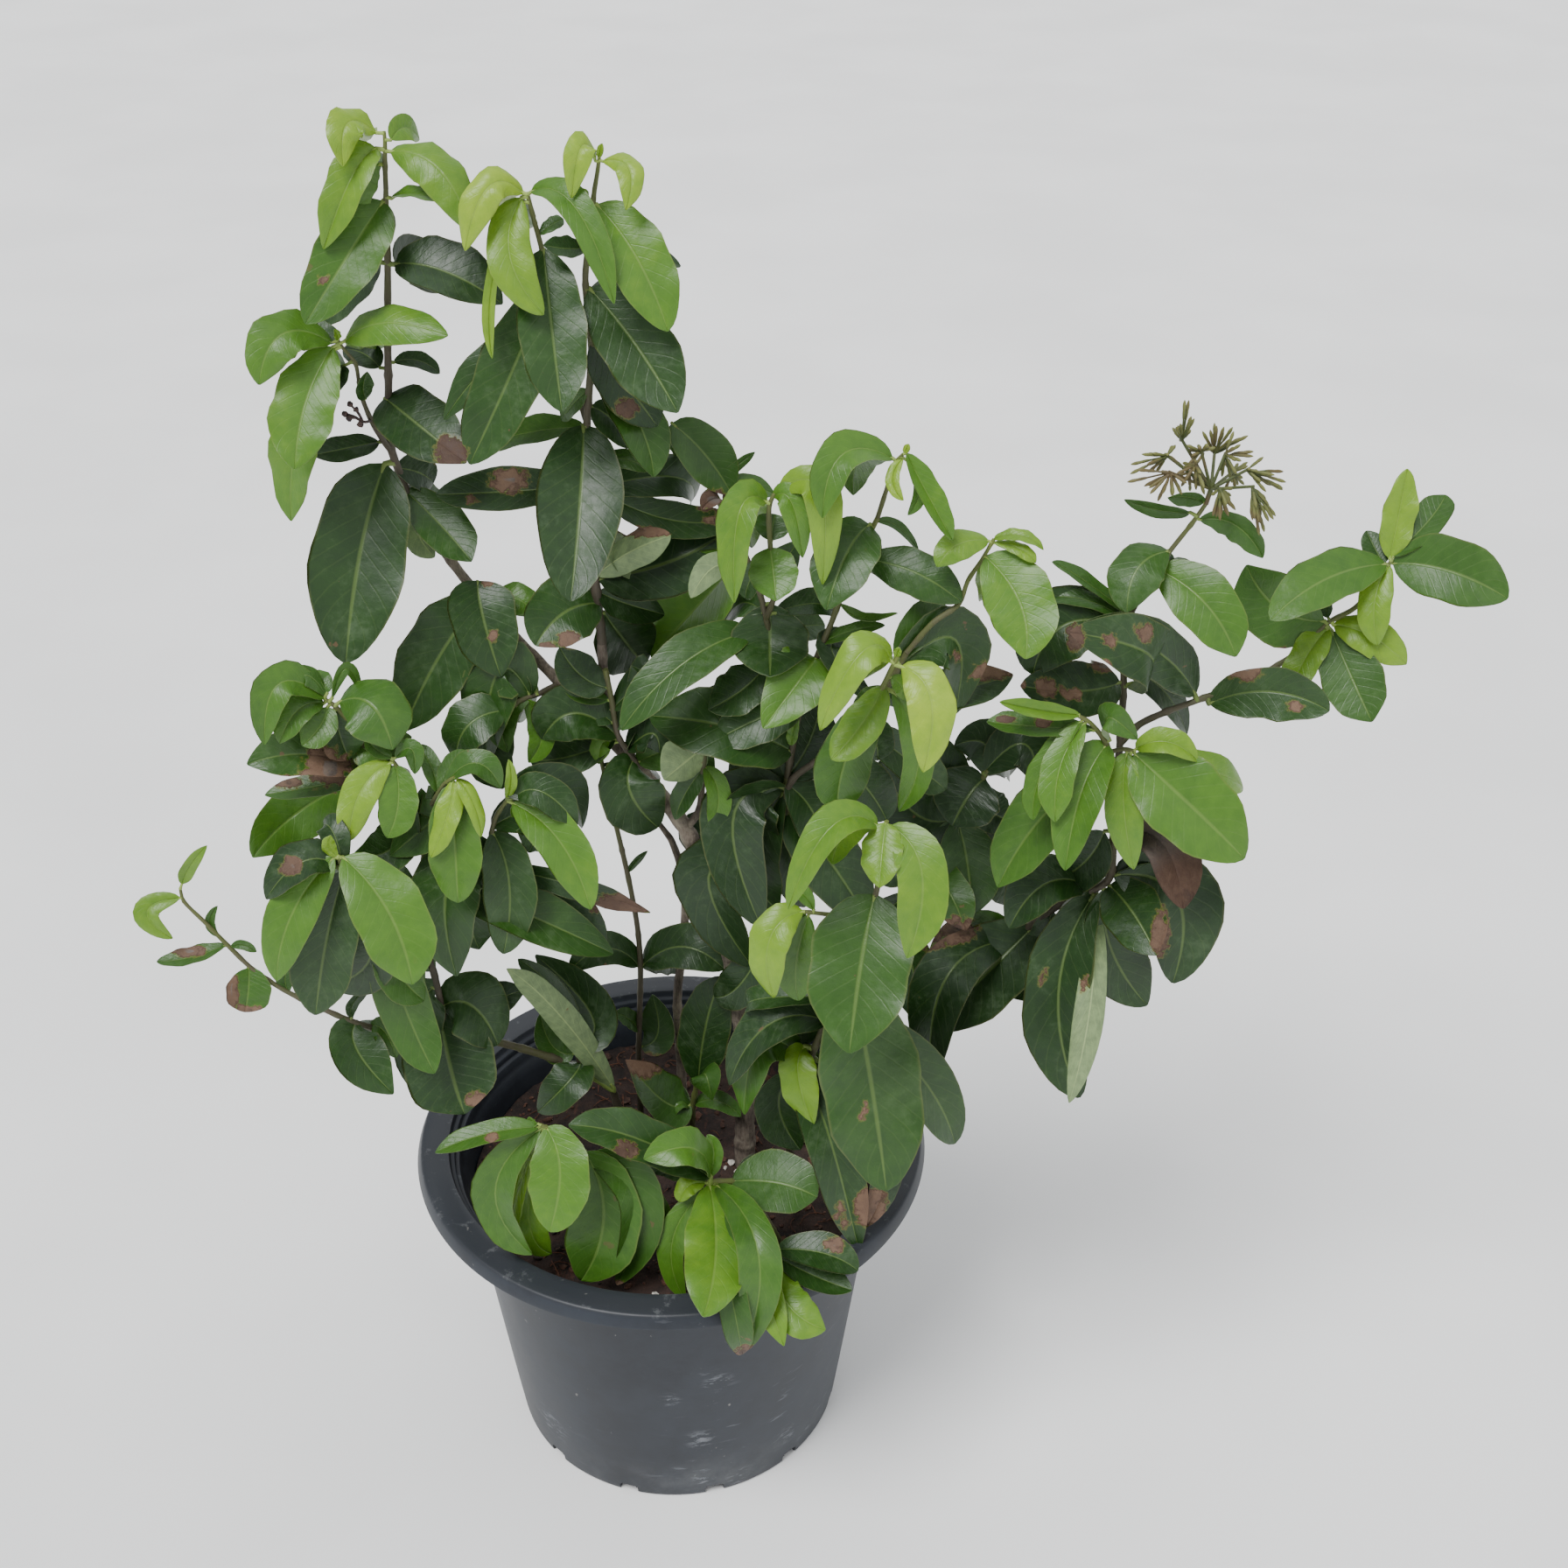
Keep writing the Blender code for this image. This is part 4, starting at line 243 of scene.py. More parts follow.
POT_SIDES = 144
POT_H = 0.216
RIM_R = 0.1575
WALL_FOOT_R = 0.1055
WALL_TOP_R = 0.1305
COLLAR_FOOT = 0.207
WALL_T = 0.0026
FLOOR_T = 0.0035


def wall_radius(height):
    """Outer radius of the tapered wall."""
    return WALL_FOOT_R + (WALL_TOP_R - WALL_FOOT_R) * height / COLLAR_FOOT


# The pot's outline, up the outside, over the lip, down its steps and the inside: radius and height
outside = [(0, 0), (0.06, 0), (0.1030, 0), (0.1045, 0.0004), (0.1053, 0.0013), (0.1056, 0.003)]
outside += [(wall_radius(z), z) for z in (0.03, 0.06, 0.09, 0.12, 0.15, 0.175, 0.190, 0.194)]
outside += [(0.1310, 0.1985), (0.1345, 0.2025), (0.1410, 0.2055), (0.1520, 0.2066), (0.1566, 0.2068),
            (0.1574, 0.2074), (RIM_R, 0.2086), (0.1556, 0.2138), (0.1551, 0.2150), (0.1543, 0.2157)]
lip = [(0.1534, POT_H), (0.1480, 0.2161), (0.1430, POT_H), (0.1392, POT_H), (0.1382, 0.2156),
       (0.1378, 0.2148)]
steps = [(0.1374, 0.2118), (0.1368, 0.2112), (0.1352, 0.2109), (0.1347, 0.2103), (0.1344, 0.2068),
         (0.1338, 0.2062), (0.1323, 0.2060), (0.1317, 0.2053), (0.1313, 0.2010), (0.1296, 0.1985)]
inside = [(wall_radius(z) - WALL_T, z) for z in (0.192, 0.15, 0.09, 0.03, 0.006)]
inside += [(wall_radius(FLOOR_T) - WALL_T - 0.003, FLOOR_T), (0, FLOOR_T)]
pot = spun("pot_moulding", outside + lip + steps + inside, POT_SIDES)

# Drainage notches cut into the foot, all round
NOTCHES = 12
NOTCH_SIZE = (0.018, 0.012, 0.014)
NOTCH_ROUNDING = 0.0012
notches = bpy.data.collections.new("notches")
for k in range(NOTCHES):
    shape = bmesh.new()
    bmesh.ops.create_cube(shape, size=1.0)
    bmesh.ops.scale(shape, vec=NOTCH_SIZE, verts=shape.verts[:])
    bmesh.ops.translate(shape, vec=(WALL_FOOT_R, 0, 0), verts=shape.verts[:])
    bmesh.ops.bevel(shape, geom=shape.edges[:], offset=NOTCH_ROUNDING, segments=2, affect="EDGES")
    turn = Matrix.Rotation(2 * math.pi * (k + 0.5) / NOTCHES, 4, "Z")
    bmesh.ops.transform(shape, matrix=turn, verts=shape.verts[:])
    notch = finished("notch_%d" % k, shape)
    bpy.context.scene.collection.objects.unlink(notch)
    notches.objects.link(notch)


def settle(piece):
    """Apply an object's modifiers."""
    graph = bpy.context.evaluated_depsgraph_get()
    shaped = bpy.data.meshes.new_from_object(piece.evaluated_get(graph))
    piece.modifiers.clear()
    piece.data = shaped


cut = pot.modifiers.new("cut", "BOOLEAN")
cut.operation = "DIFFERENCE"
cut.operand_type = "COLLECTION"
cut.collection = notches
settle(pot)
for notch in list(notches.objects):
    bpy.data.objects.remove(notch, do_unlink=True)
pot.data.set_sharp_from_angle(angle=math.radians(40))

# Moulded plastic with a faint grain; dust and dried splashes low down, pale rubs across the wall, fine
# scratches on the lip, and a painted highlight on the lip's top. The marks are chalky scuffs: how far round
# from the right-hand side (degrees), height and reach (mm), and strength.
MARKS = [(-75, 117, 12, .5), (-80, 61, 13, .4), (-79, 17, 10, .5), (-89, 104, 9, .3), (-135, 36, 20, .3),
         (-66, 10, 12, .5), (-48, 30, 14, .3), (60, 90, 22, .3), (140, 40, 24, .4)]
plastic, start, shader = new_material("pot_plastic_worn")
place = start.node("TexCoord", out=3)
height = place.part(2)
broad = place.noise(9.0, 5.0, 0.6)
fine = place.noise(60.0, 6.0, 0.7)
grime = place.noise(24.0, 8.0, 0.68)
low_down = 1 - height.rise(0.0, 0.075)
dust = (low_down * 0.50 + broad * 0.35).rise(0.32, 0.72) * grime.rise(0.35, 0.75)
rubs = place.noise(38.0, 5.0, 0.62, (1, 1, 4.5)).rise(0.60, 0.70) * place.noise(7.0, 2.0).rise(0.47, 0.62)
specks = place.noise(170.0, 3.0, 0.6).rise(0.68, 0.76) * grime.rise(0.5, 0.62)
on_lip = height.rise(0.2135, 0.2155)
scratches = place.noise(55.0, 6.0, 0.75).rise(0.565, 0.66) * on_lip
strokes = place.noise(110.0, 5.0, 0.70, (1, 1, 2.8)).rise(0.50, 0.60)
smudge = 0
for degrees, level, reach, strength in MARKS:
    turn = math.radians(degrees)
    radius = wall_radius(level * MM)
    middle = (radius * math.cos(turn), radius * math.sin(turn), level * MM)
    away = place.node("VectorMath", {"operation": "DISTANCE"}, out=1, i0=place, i1=middle)
    smudge = smudge + away.rise(reach * MM, 0.0) * strength
base = (broad * 0.6 + fine * 0.4).rise(0.3, 0.7).tint(colour(26, 29, 35), colour(44, 49, 57))
# Painted highlight: the lip's top is made a lighter grey for the light that falls on it from above.
base = on_lip.tint(base, colour(45, 48, 53))
base = (dust * 0.65).tint(base, colour(106, 108, 110))
base = (rubs * 0.35).tint(base, colour(140, 144, 150))
base = (smudge * strokes).tint(base, colour(160, 164, 170))
base = (specks * 0.55).tint(base, colour(165, 162, 155))
base = (scratches * 0.22).tint(base, colour(140, 142, 144))
feed(shader, start, Base_Color=base, Roughness=0.40 + dust * 0.3 + rubs * 0.1 + fine * 0.12 - on_lip * 0.05,
     Normal=bumpy(start, fine * 0.5 + grime * 0.5 + dust * 0.5, 0.18, 0.0008))
shader.inputs["Specular IOR Level"].default_value = 0.34
pot.data.materials.clear()
pot.data.materials.append(plastic)
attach(pot, "root")
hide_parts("pot")


# Soil
# Old potting mix of coir and fine bark, dark and crumbly, that fills the pot to below its lip; its colour is
# darkened further as painted shade of the leaves above. Red-brown fibres and a few white grains lie loose on
# top.
SOIL_TOP = 0.182
SOIL_RINGS = 46
SOIL_SPOKES = 150
SOIL_FLOOR = 0.006
SOIL_GAP = 0.0008
SOIL_EDGE = wall_radius(SOIL_TOP) - WALL_T - SOIL_GAP
draw = random.Random(21)


def soil_height(x, y):
    """Uneven top of the mix."""
    spot = Vector((x, y, 0))
    return SOIL_TOP + (noise.noise(spot * 28) * 0.0035 + noise.noise(spot * 90) * 0.0018
                       + noise.noise(spot * 260) * 0.0009)


shape = bmesh.new()
rows = [round_row(shape, 0, soil_height(0, 0), SOIL_SPOKES)]
for ring in range(1, SOIL_RINGS + 1):
    radius = SOIL_EDGE * ring / SOIL_RINGS
    row = []
    for k in range(SOIL_SPOKES):
        x = radius * math.cos(2 * math.pi * k / SOIL_SPOKES)
        y = radius * math.sin(2 * math.pi * k / SOIL_SPOKES)
        row.append(shape.verts.new((x, y, soil_height(x, y))))
    rows.append(row)
for z in (0.15, SOIL_FLOOR):
    rows.append(round_row(shape, wall_radius(z) - WALL_T - SOIL_GAP, z, SOIL_SPOKES))
rows.append(round_row(shape, 0, SOIL_FLOOR, SOIL_SPOKES))
skin_over(shape, rows, SOIL_SPOKES)
soil = finished("potting_mix", shape, 70)

earth, start, shader = new_material("soil_and_painted_shade")
place = start.node("TexCoord", out=3)
clods = place.noise(85.0, 8.0, 0.7)
grains = place.noise(420.0, 4.0, 0.6)
fibre = place.noise(190.0, 4.0, 0.6, (1, 0.3, 1)).rise(0.58, 0.66)
# Painted shade: these browns are darker than the mix alone, for the shade that the leaves cast into the pot.
base = clods.rise(0.3, 0.7).tint(colour(24, 17, 15), colour(60, 42, 34))
base = (fibre * 0.5).tint(base, colour(82, 50, 38))
base = (grains.rise(0.66, 0.74) * 0.4).tint(base, colour(96, 80, 66))
feed(shader, start, Base_Color=base, Roughness=0.86 + grains * 0.1,
     Normal=bumpy(start, clods * 0.7 + grains * 0.3, 0.8, 0.002))
soil.data.materials.append(earth)


def lump(shape, place, size, flat):
    """Small rough grain."""
    made = bmesh.ops.create_icosphere(shape, subdivisions=1, radius=size)["verts"]
    turn = Matrix.Rotation(draw.uniform(0, 6.28), 3, "Z") @ Matrix.Rotation(draw.uniform(-0.5, 0.5), 3, "X")
    for vert in made:
        spot = vert.co * (1 + 0.45 * noise.noise(vert.co * (0.9 / size) + place * 900))
        vert.co = turn @ Vector((spot.x * draw.uniform(0.9, 1.5), spot.y, spot.z * flat)) + place


def top_spot(reach=0.98):
    """Chance place on the soil, within a share of its radius."""
    radius = SOIL_EDGE * reach * math.sqrt(draw.random())
    turn = draw.uniform(0, 2 * math.pi)
    x, y = radius * math.cos(turn), radius * math.sin(turn)
    return Vector((x, y, soil_height(x, y)))


# Crumbs of bark and clods of mix
CRUMBS = 620
shape = bmesh.new()
for k in range(CRUMBS):
    size = 0.0008 + 0.0032 * draw.random() ** 3
    lump(shape, top_spot() + Vector((0, 0, size * 0.3)), size, draw.uniform(0.4, 0.8))
clumps = finished("bark_crumbs", shape, 60)
crumb, start, shader = new_material("crumb")
place = start.node("TexCoord", out=3)
kind = place.noise(46.0, 2.0, 0.5)
mottle = place.noise(500.0, 4.0, 0.6)
base = kind.rise(0.35, 0.65).tint(colour(34, 24, 20), colour(92, 60, 46))
base = (mottle.rise(0.55, 0.7) * 0.5).tint(base, colour(128, 108, 92))
feed(shader, start, Base_Color=base, Roughness=0.85 + mottle * 0.1,
     Normal=bumpy(start, mottle, 0.7, 0.001))
clumps.data.materials.append(crumb)

# White grains, most of them in a heap by the front shoots
GRAINS_SEEN = [(836, 1326), (842, 1338), (850, 1322), (858, 1342), (862, 1330), (846, 1346), (829, 1334),
               (655, 1248), (702, 1362), (560, 1346), (748, 1478), (800, 1300)]
shape = bmesh.new()
for px, py in GRAINS_SEEN:
    ray = world_point(px, py, 0) - VIEW_FROM
    spot = VIEW_FROM + ray * ((SOIL_TOP + 0.002 - VIEW_FROM.z) / ray.z)
    spot.z = soil_height(spot.x, spot.y) + 0.0012
    lump(shape, spot, draw.uniform(0.0012, 0.0026), 0.7)
grit = finished("white_grains", shape, 60)
pale, start, shader = new_material("white_grain")
mottle = start.node("TexCoord", out=3).noise(420.0, 4.0, 0.6)
feed(shader, start, Base_Color=mottle.rise(0.3, 0.7).tint(colour(150, 145, 136), colour(214, 210, 200)),
     Roughness=0.7 + mottle * 0.2, Normal=bumpy(start, mottle, 0.5, 0.0006))
grit.data.materials.append(pale)


def add_tube(shape, points, radii, sides):
    """Closed tube of the given sides through a row of points, with its rings' corners."""
    rings = []
    side = None
    for k, spot in enumerate(points):
        ahead = (points[min(k + 1, len(points) - 1)] - points[max(k - 1, 0)]).normalized()
        if side is None:
            side = ahead.orthogonal()
        side = (side - ahead * side.dot(ahead)).normalized()
        up = ahead.cross(side)
        turns = [2 * math.pi * n / sides for n in range(sides)]
        around = [side * math.cos(a) + up * math.sin(a) for a in turns]
        rings.append([shape.verts.new(spot + way * radii[k]) for way in around])
    for low, high in zip(rings[:-1], rings[1:]):
        for n in range(sides):
            shape.faces.new((low[n], low[(n + 1) % sides], high[(n + 1) % sides], high[n]))
    shape.faces.new(list(reversed(rings[0])))
    shape.faces.new(rings[-1])
    return rings


# Loose coir fibres, each a bent thread that lies on the crumbs
FIBRES = 150
FIBRE_R = 0.0003
shape = bmesh.new()
for k in range(FIBRES):
    spot = top_spot(0.93)
    turn = draw.uniform(0, 2 * math.pi)
    length = draw.uniform(0.006, 0.026)
    bend = draw.uniform(-1.2, 1.2)
    points = []
    for n in range(5):
        along = (n / 4 - 0.5) * length
        a = turn + bend * n / 4
        x = spot.x + along * math.cos(a)
        y = spot.y + along * math.sin(a)
        points.append(Vector((x, y, soil_height(x, y) + 0.0006 + 0.0014 * math.sin(math.pi * n / 4))))
    if max(math.hypot(p.x, p.y) for p in points) < SOIL_EDGE:
        add_tube(shape, points, [FIBRE_R] * 5, 4)
threads = finished("coir_fibres", shape, 60)
thread, start, shader = new_material("coir")
mottle = start.node("TexCoord", out=3).noise(160.0, 4.0, 0.6)
feed(shader, start, Base_Color=mottle.rise(0.3, 0.7).tint(colour(62, 36, 26), colour(110, 70, 48)),
     Roughness=0.8 + mottle * 0.15, Normal=bumpy(start, mottle, 0.4, 0.0004))
threads.data.materials.append(thread)
for piece in (soil, clumps, grit, threads):
    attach(piece, "root")
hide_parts("soil")


# Woody stems
# The old framework of the shrub: hard wood under grey-brown bark, cracked lengthways and ringed where leaves
# once grew, rooted in the soil. A bare straight stem stands alone behind it.
FOOT_Z = 0.150
STEM_STEP = 0.003
OLD_JOINTS = (0.004, 0.16, 0.10, 160)
BEND = 0.8
# Each row is a stem, from its foot or fork to its end: where it stands on the soil (m) and its radius (mm),
# then picture position, depth (cm) and radius (mm)
WOODY_STEMS = [
    [(.045, .005, 6.5), (850, 1180, .2, 6.0), (838, 1106, 0, 5.5), (815, 1020, 0, 5.0), (782, 945, 0, 4.6),
     (744, 895, .6, 4.2), (694, 838, 1, 3.6), (633, 773, 2, 3.1), (572, 711, 3, 2.8), (515, 640, 3.6, 2.6),
     (468, 570, 4, 2.4)],
    [(697, 842, 1, 3.0), (690, 780, 1, 2.8), (688, 735, 1, 2.6)],
    [(840, 1112, 0, 3.4), (865, 1085, .3, 2.9), (880, 1056, .4, 2.6)],
    [(846, 1150, .1, 4.0), (900, 1145, .6, 3.6), (1000, 1108, 1, 3.4), (1080, 1098, .3, 3.0),
     (1150, 1080, -.4, 2.7)],
    [(784, 948, 0, 2.5), (799, 925, -.2, 2.0), (803, 888, -.4, 1.7)],
]
UPRIGHT_STEM = [
    [(.006, .034, 2.9), (774, 1144, 3, 2.7), (782, 1067, 2.6, 2.6), (782, 1006, 2.4, 2.4),
     (768, 962, 2.2, 2.0), (754, 942, 2.0, 1.6)],
]


def stem_route(entries):
    """Points and radii of a stem; one that stands in the soil begins with its foot."""
    points = []
    radii = []
    for entry in entries:
        if len(entry) == 3:
            x, y, radius = entry
            points += [Vector((x, y, FOOT_Z)), Vector((x, y, SOIL_TOP + 0.004))]
            radii += [radius * MM] * 2
        else:
            px, py, depth, radius = entry
            points.append(world_point(px, py, depth))
            radii.append(radius * MM)
    return points, radii


def eased(points, radii, step):
    """The same stem with its bends rounded, in short steps."""
    spots = []
    sizes = []
    for k in range(len(points) - 1):
        a, b = points[k], points[k + 1]
        before = points[max(k - 1, 0)]
        after = points[min(k + 2, len(points) - 1)]
        length = (b - a).length
        start_way = (b - before).normalized() * length if k else b - a
        end_way = (after - a).normalized() * length if k + 2 < len(points) else b - a
        count = max(1, round(length / step))
        for n in range(count):
            t = n / count
            spots.append(a * (2 * t ** 3 - 3 * t ** 2 + 1) + start_way * (t ** 3 - 2 * t ** 2 + t) * BEND
                         + b * (3 * t ** 2 - 2 * t ** 3) + end_way * (t ** 3 - t ** 2) * BEND)
            sizes.append(radii[k] + (radii[k + 1] - radii[k]) * t)
    return spots + [points[-1]], sizes + [radii[-1]]


def knotted(spots, sizes, every, form):
    """The radii of a stem with a swollen joint in every such length. The form says how drawn out the joints
    are and how thick, then how uneven the stem is and how close together its bumps lie."""
    drawn_out, swell, rough, close = form
    along = 0.0
    made = [sizes[0]]
    for k in range(1, len(spots)):
        along += (spots[k] - spots[k - 1]).length
        knot = math.exp(-((along / every) % 1 - 0.5) ** 2 / drawn_out)
        made.append(sizes[k] * (1 + swell * knot + rough * noise.noise(spots[k] * close)))
    return made


def woody(name, routes, knots_every):
    """Old stems with knots and furrowed bark."""
    shape = bmesh.new()
    for entries in routes:
        spots, sizes = eased(*stem_route(entries), STEM_STEP)
        for ring in add_tube(shape, spots, knotted(spots, sizes, knots_every, OLD_JOINTS), 14):
            middle = sum((vert.co for vert in ring), Vector()) / len(ring)
            for vert in ring:
                spot = Vector((vert.co.x * 420, vert.co.y * 420, vert.co.z * 90))
                vert.co += (vert.co - middle) * 0.10 * noise.noise(spot)
    return finished(name, shape, 60)


bark, start, shader = new_material("bark_cracked")
place = start.node("TexCoord", out=3)
cracks = place.noise(520.0, 8.0, 0.72, (1, 1, 0.16))
patches = place.noise(55.0, 5.0, 0.6)
rings = place.noise(130.0, 3.0, 0.5, (0.15, 0.15, 1))
base = (cracks * 0.6 + patches * 0.4).rise(0.33, 0.66).tint(colour(58, 49, 43), colour(128, 116, 103))
base = (patches.rise(0.52, 0.68) * 0.5).tint(base, colour(140, 134, 118))
base = (rings.rise(0.6, 0.68) * 0.45).tint(base, colour(52, 43, 38))
feed(shader, start, Base_Color=base, Roughness=0.78 + cracks * 0.15,
     Normal=bumpy(start, cracks * 0.7 + rings * 0.3, 0.9, 0.0012))
branches = woody("woody_framework", WOODY_STEMS, 0.034)
upright = woody("bare_upright_stem", UPRIGHT_STEM, 0.055)
for piece, node in ((branches, "woody_branches"), (upright, "upright_woody_stem")):
    piece.data.materials.append(bark)
    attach(piece, "root")
    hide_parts(node)


# Leafy stems
# Green stems that turn woody with age, grown out of an older one or the soil, and leathery leaves in pairs
# on very short stalks. All are read from the picture. The leaves hang as the solid ones do, but creased and
# waved.
JOINTS_EVERY = 0.021
GREEN_JOINTS = (0.006, 0.22, 0.08, 200)
# A stem that begins this near an older one starts on its middle
JOIN_REACH = 0.03

# Brown, dead or bitten spots: picture position, reach across and down (pixels), and how dark they are
SPOTS = [
    (516, 518, 17, 16, .9), (368, 322, 6, 6, .5), (583, 549, 20, 12, .4), (539, 571, 8, 6, .4),
    (590, 563, 5, 4, .9), (714, 466, 13, 10, .85), (555, 663, 7, 7, .4), (563, 727, 6, 7, .4),
    (652, 731, 12, 9, .6), (625, 738, 7, 4, .7), (815, 572, 17, 11, .7), (816, 595, 10, 7, .2),
    (738, 607, 26, 6, .5), (1228, 728, 10, 13, .8), (1267, 733, 9, 8, .6), (1309, 724, 8, 10, .5),
    (1262, 762, 15, 6, .6), (1195, 786, 12, 10, .4), (1168, 783, 5, 5, .5), (1226, 793, 8, 6, .4),
    (1131, 766, 22, 10, .3), (1092, 750, 7, 6, .3), (1421, 763, 18, 13, .3), (1465, 745, 7, 6, .3),
    (1479, 807, 10, 5, .4), (1150, 822, 9, 4, .8), (1190, 825, 10, 6, .5), (1326, 1066, 9, 24, .6),
    (1194, 1110, 8, 6, .8), (1238, 1125, 6, 12, .3), (1090, 1062, 22, 14, .55),
    (1062, 1062, 15, 20, .8), (377, 878, 26, 21, .4), (330, 894, 16, 7, .5), (332, 990, 11, 9, .7),
    (301, 1039, 8, 8, .6), (265, 1132, 7, 20, .4), (284, 1154, 15, 5, .3), (708, 1034, 34, 13, .7),
    (216, 1087, 15, 6, .5), (545, 1256, 11, 8, .4),
    (732, 1216, 24, 14, .3), (562, 1300, 7, 5, .2), (717, 1312, 13, 9, .85), (707, 1470, 6, 6, .2),
    (850, 1546, 13, 8, .5), (962, 1392, 9, 9, .4), (953, 1422, 10, 8, .5), (995, 1382, 16, 18, .45),
    (989, 1272, 4, 6, .1),
]
# Younger leaves than this have no spots
SPOTTED_BELOW = 0.45
# Leaves at the rim that hang nearer than their solid ones (or further, below nought), to cover each other as
# in the picture: where each is joined, and by how much (cm)
NEARER = {(811, 1354): 2.2, (814, 1358): -4.2, (668, 1316): 0.9}
# The corners of a blade: along it, and over it from edge to edge
ALONG = [0, .035, .08, .14, .21, .29, .37, .45, .53, .61, .69, .76, .83, .89, .94, .975, 1]
OVER = [-1, -.93, -.76, -.5, -.24, -.07, 0, .07, .24, .5, .76, .93, 1]
# The solid blades: their thickness, their corners (how far along, and what share of the half width), the
# least fold that they show, and how near and how many corners must be for a leaf to hang like one of them
SOLID_T = 0.0008
SOLID_OVAL = ((.32, .86), (.70, .86), (1, 0))
SOLID_FOLD = 20
CORNER_REACH = 0.0002
SURE_CORNERS = 9
LEAST_CORNERS = 4
# Half the thickness of a real blade at its middle; how deep the midrib lies above, how far it stands out
# below, and what share of the blade's half width it takes
HALF_BLADE = 0.00024
RIB_DEEP = 0.00016
RIB_TALL = 0.00060
RIB_SHARE = 0.075
# What a corner of the mesh belongs to: upper side, lower side, stalk
UPPER, LOWER, STALK = 0.0, 1.0, 2.0
# Leaves at the back, by wide ones that the picture shows: how wide those are at least (pixels), how far a
# solid back leaf reaches behind (cm), and how many wide leaves come to one such leaf and to one smaller one
BACK_WIDTH = 44
BACK_REACH = 5.0
BACK_EVERY = 10
REAR_EVERY = 3
# A leaf as read from the picture: its base, middle, tip and width (pixels), how far its tip comes forward
# (cm), its turn and fold (degrees), and how young it is, from 0 to 1; below nought it is dead
Leaf = namedtuple("Leaf", "base_x base_y mid_x mid_y tip_x tip_y width out spin fold tone")

# The same changes of depth (cm) and turn (degrees) by which the solid leaves were bent clear of each other
SWINGS = [(0, 0, 0)]
for reach in (0.7, 1.4, 2.1, 3.0, 4.0, 5.0, 6.5, 8.0):
    for turned in (0, 18, -18):
        SWINGS += [(reach, reach * 0.5, turned), (-reach, -reach * 0.5, turned), (reach, reach, turned),
                   (-reach, -reach, turned), (reach * 0.3, reach, turned), (-reach * 0.3, -reach, turned)]


def depth_near(stems, px, py):
    """Depth of the closest point of the stems in the picture."""
    best = None
    for entries in stems:
        seen = [e for e in entries if len(e) == 4]
        for a, b in zip(seen[:-1], seen[1:]):
            leg = (b[0] - a[0], b[1] - a[1])
            size = max(leg[0] ** 2 + leg[1] ** 2, 1e-9)
            t = max(0.0, min(1.0, ((px - a[0]) * leg[0] + (py - a[1]) * leg[1]) / size))
            away = math.hypot(px - a[0] - leg[0] * t, py - a[1] - leg[1] * t)
            if best is None or away < best[0]:
                best = (away, a[2] + (b[2] - a[2]) * t)
    return best[1]


def turned_about(face, wide, turn):
    """Face and width directions of a blade, turned about its length."""
    return (face * math.cos(turn) + wide * math.sin(turn),
            wide * math.cos(turn) - face * math.sin(turn))


def leaf_frame(base, mid, tip, spin):
    """Centre line of a blade, with its travel, face and width directions."""
    pull = mid * 2 - (base + tip) * 0.5
    chord = (tip - base).normalized()
    face0 = (VIEW_FROM - mid).normalized()
    face0 = face0 - chord * face0.dot(chord)
    if face0.length < 0.05:
        face0 = Vector((0, 0, 1)) - chord * chord.z
    face0.normalize()
    turn = math.radians(spin)

    def at(t):
        place = base * (1 - t) ** 2 + pull * (2 * t * (1 - t)) + tip * t ** 2
        travel = (pull - base) * (2 * (1 - t)) + (tip - pull) * (2 * t)
        travel = travel.normalized() if travel.length > 1e-6 else chord
        face = (face0 - travel * face0.dot(travel)).normalized()
        face, wide = turned_about(face, travel.cross(face), turn)
        return place, travel, face, wide
    return at


def hung_as(leaf, stems, solid):
    """Base, middle, tip, half width and turn of a leaf as its solid hangs, and whether it has a solid."""
    depth = depth_near(stems, leaf.base_x, leaf.base_y)
    base = world_point(leaf.base_x, leaf.base_y, depth)
    lean = math.radians(leaf.fold) if abs(leaf.fold) >= SOLID_FOLD else 0.0
    best = None
    for tip_shift, mid_shift, turned in SWINGS:
        tip = world_point(leaf.tip_x, leaf.tip_y, depth - leaf.out + tip_shift)
        mid = world_point(leaf.mid_x, leaf.mid_y, depth - leaf.out * 0.5 + mid_shift)
        half = width_at(mid, leaf.width) * 0.5
        at = leaf_frame(base, mid, tip, leaf.spin + turned)
        hits = 0
        for t, share in SOLID_OVAL:
            place, travel, face, wide = at(t)
            for side in ((-1, 1) if share else (0,)):
                edge = wide * math.cos(lean) * side + face * math.sin(lean) * abs(side)
                spot = place + edge * half * share
                hits += sum(1 for lift in (-0.5, 0.5)
                            if solid.find(spot + face * SOLID_T * lift)[2] < CORNER_REACH)
        if best is None or hits > best[0]:
            best = (hits, base, mid, tip, half, leaf.spin + turned)
        if hits >= SURE_CORNERS:
            break
    if best[0] >= LEAST_CORNERS:
        near = NEARER.get((leaf.base_x, leaf.base_y), 0) * CM
        for share, spot in ((0.6, best[2]), (1, best[3])):
            spot += (VIEW_FROM - spot).normalized() * near * share
        return best[1:], True
    tip = world_point(leaf.tip_x, leaf.tip_y, depth - leaf.out)
    mid = world_point(leaf.mid_x, leaf.mid_y, depth - leaf.out * 0.5)
    return (base, mid, tip, width_at(mid, leaf.width) * 0.5, leaf.spin), False


def part_way(leaf, mid_share, tip_share):
    """Picture positions at these shares of the way from a leaf's base to its middle and to its tip."""
    return (leaf.base_x + (leaf.mid_x - leaf.base_x) * mid_share,
            leaf.base_y + (leaf.mid_y - leaf.base_y) * mid_share,
            leaf.base_x + (leaf.tip_x - leaf.base_x) * tip_share,
            leaf.base_y + (leaf.tip_y - leaf.base_y) * tip_share)


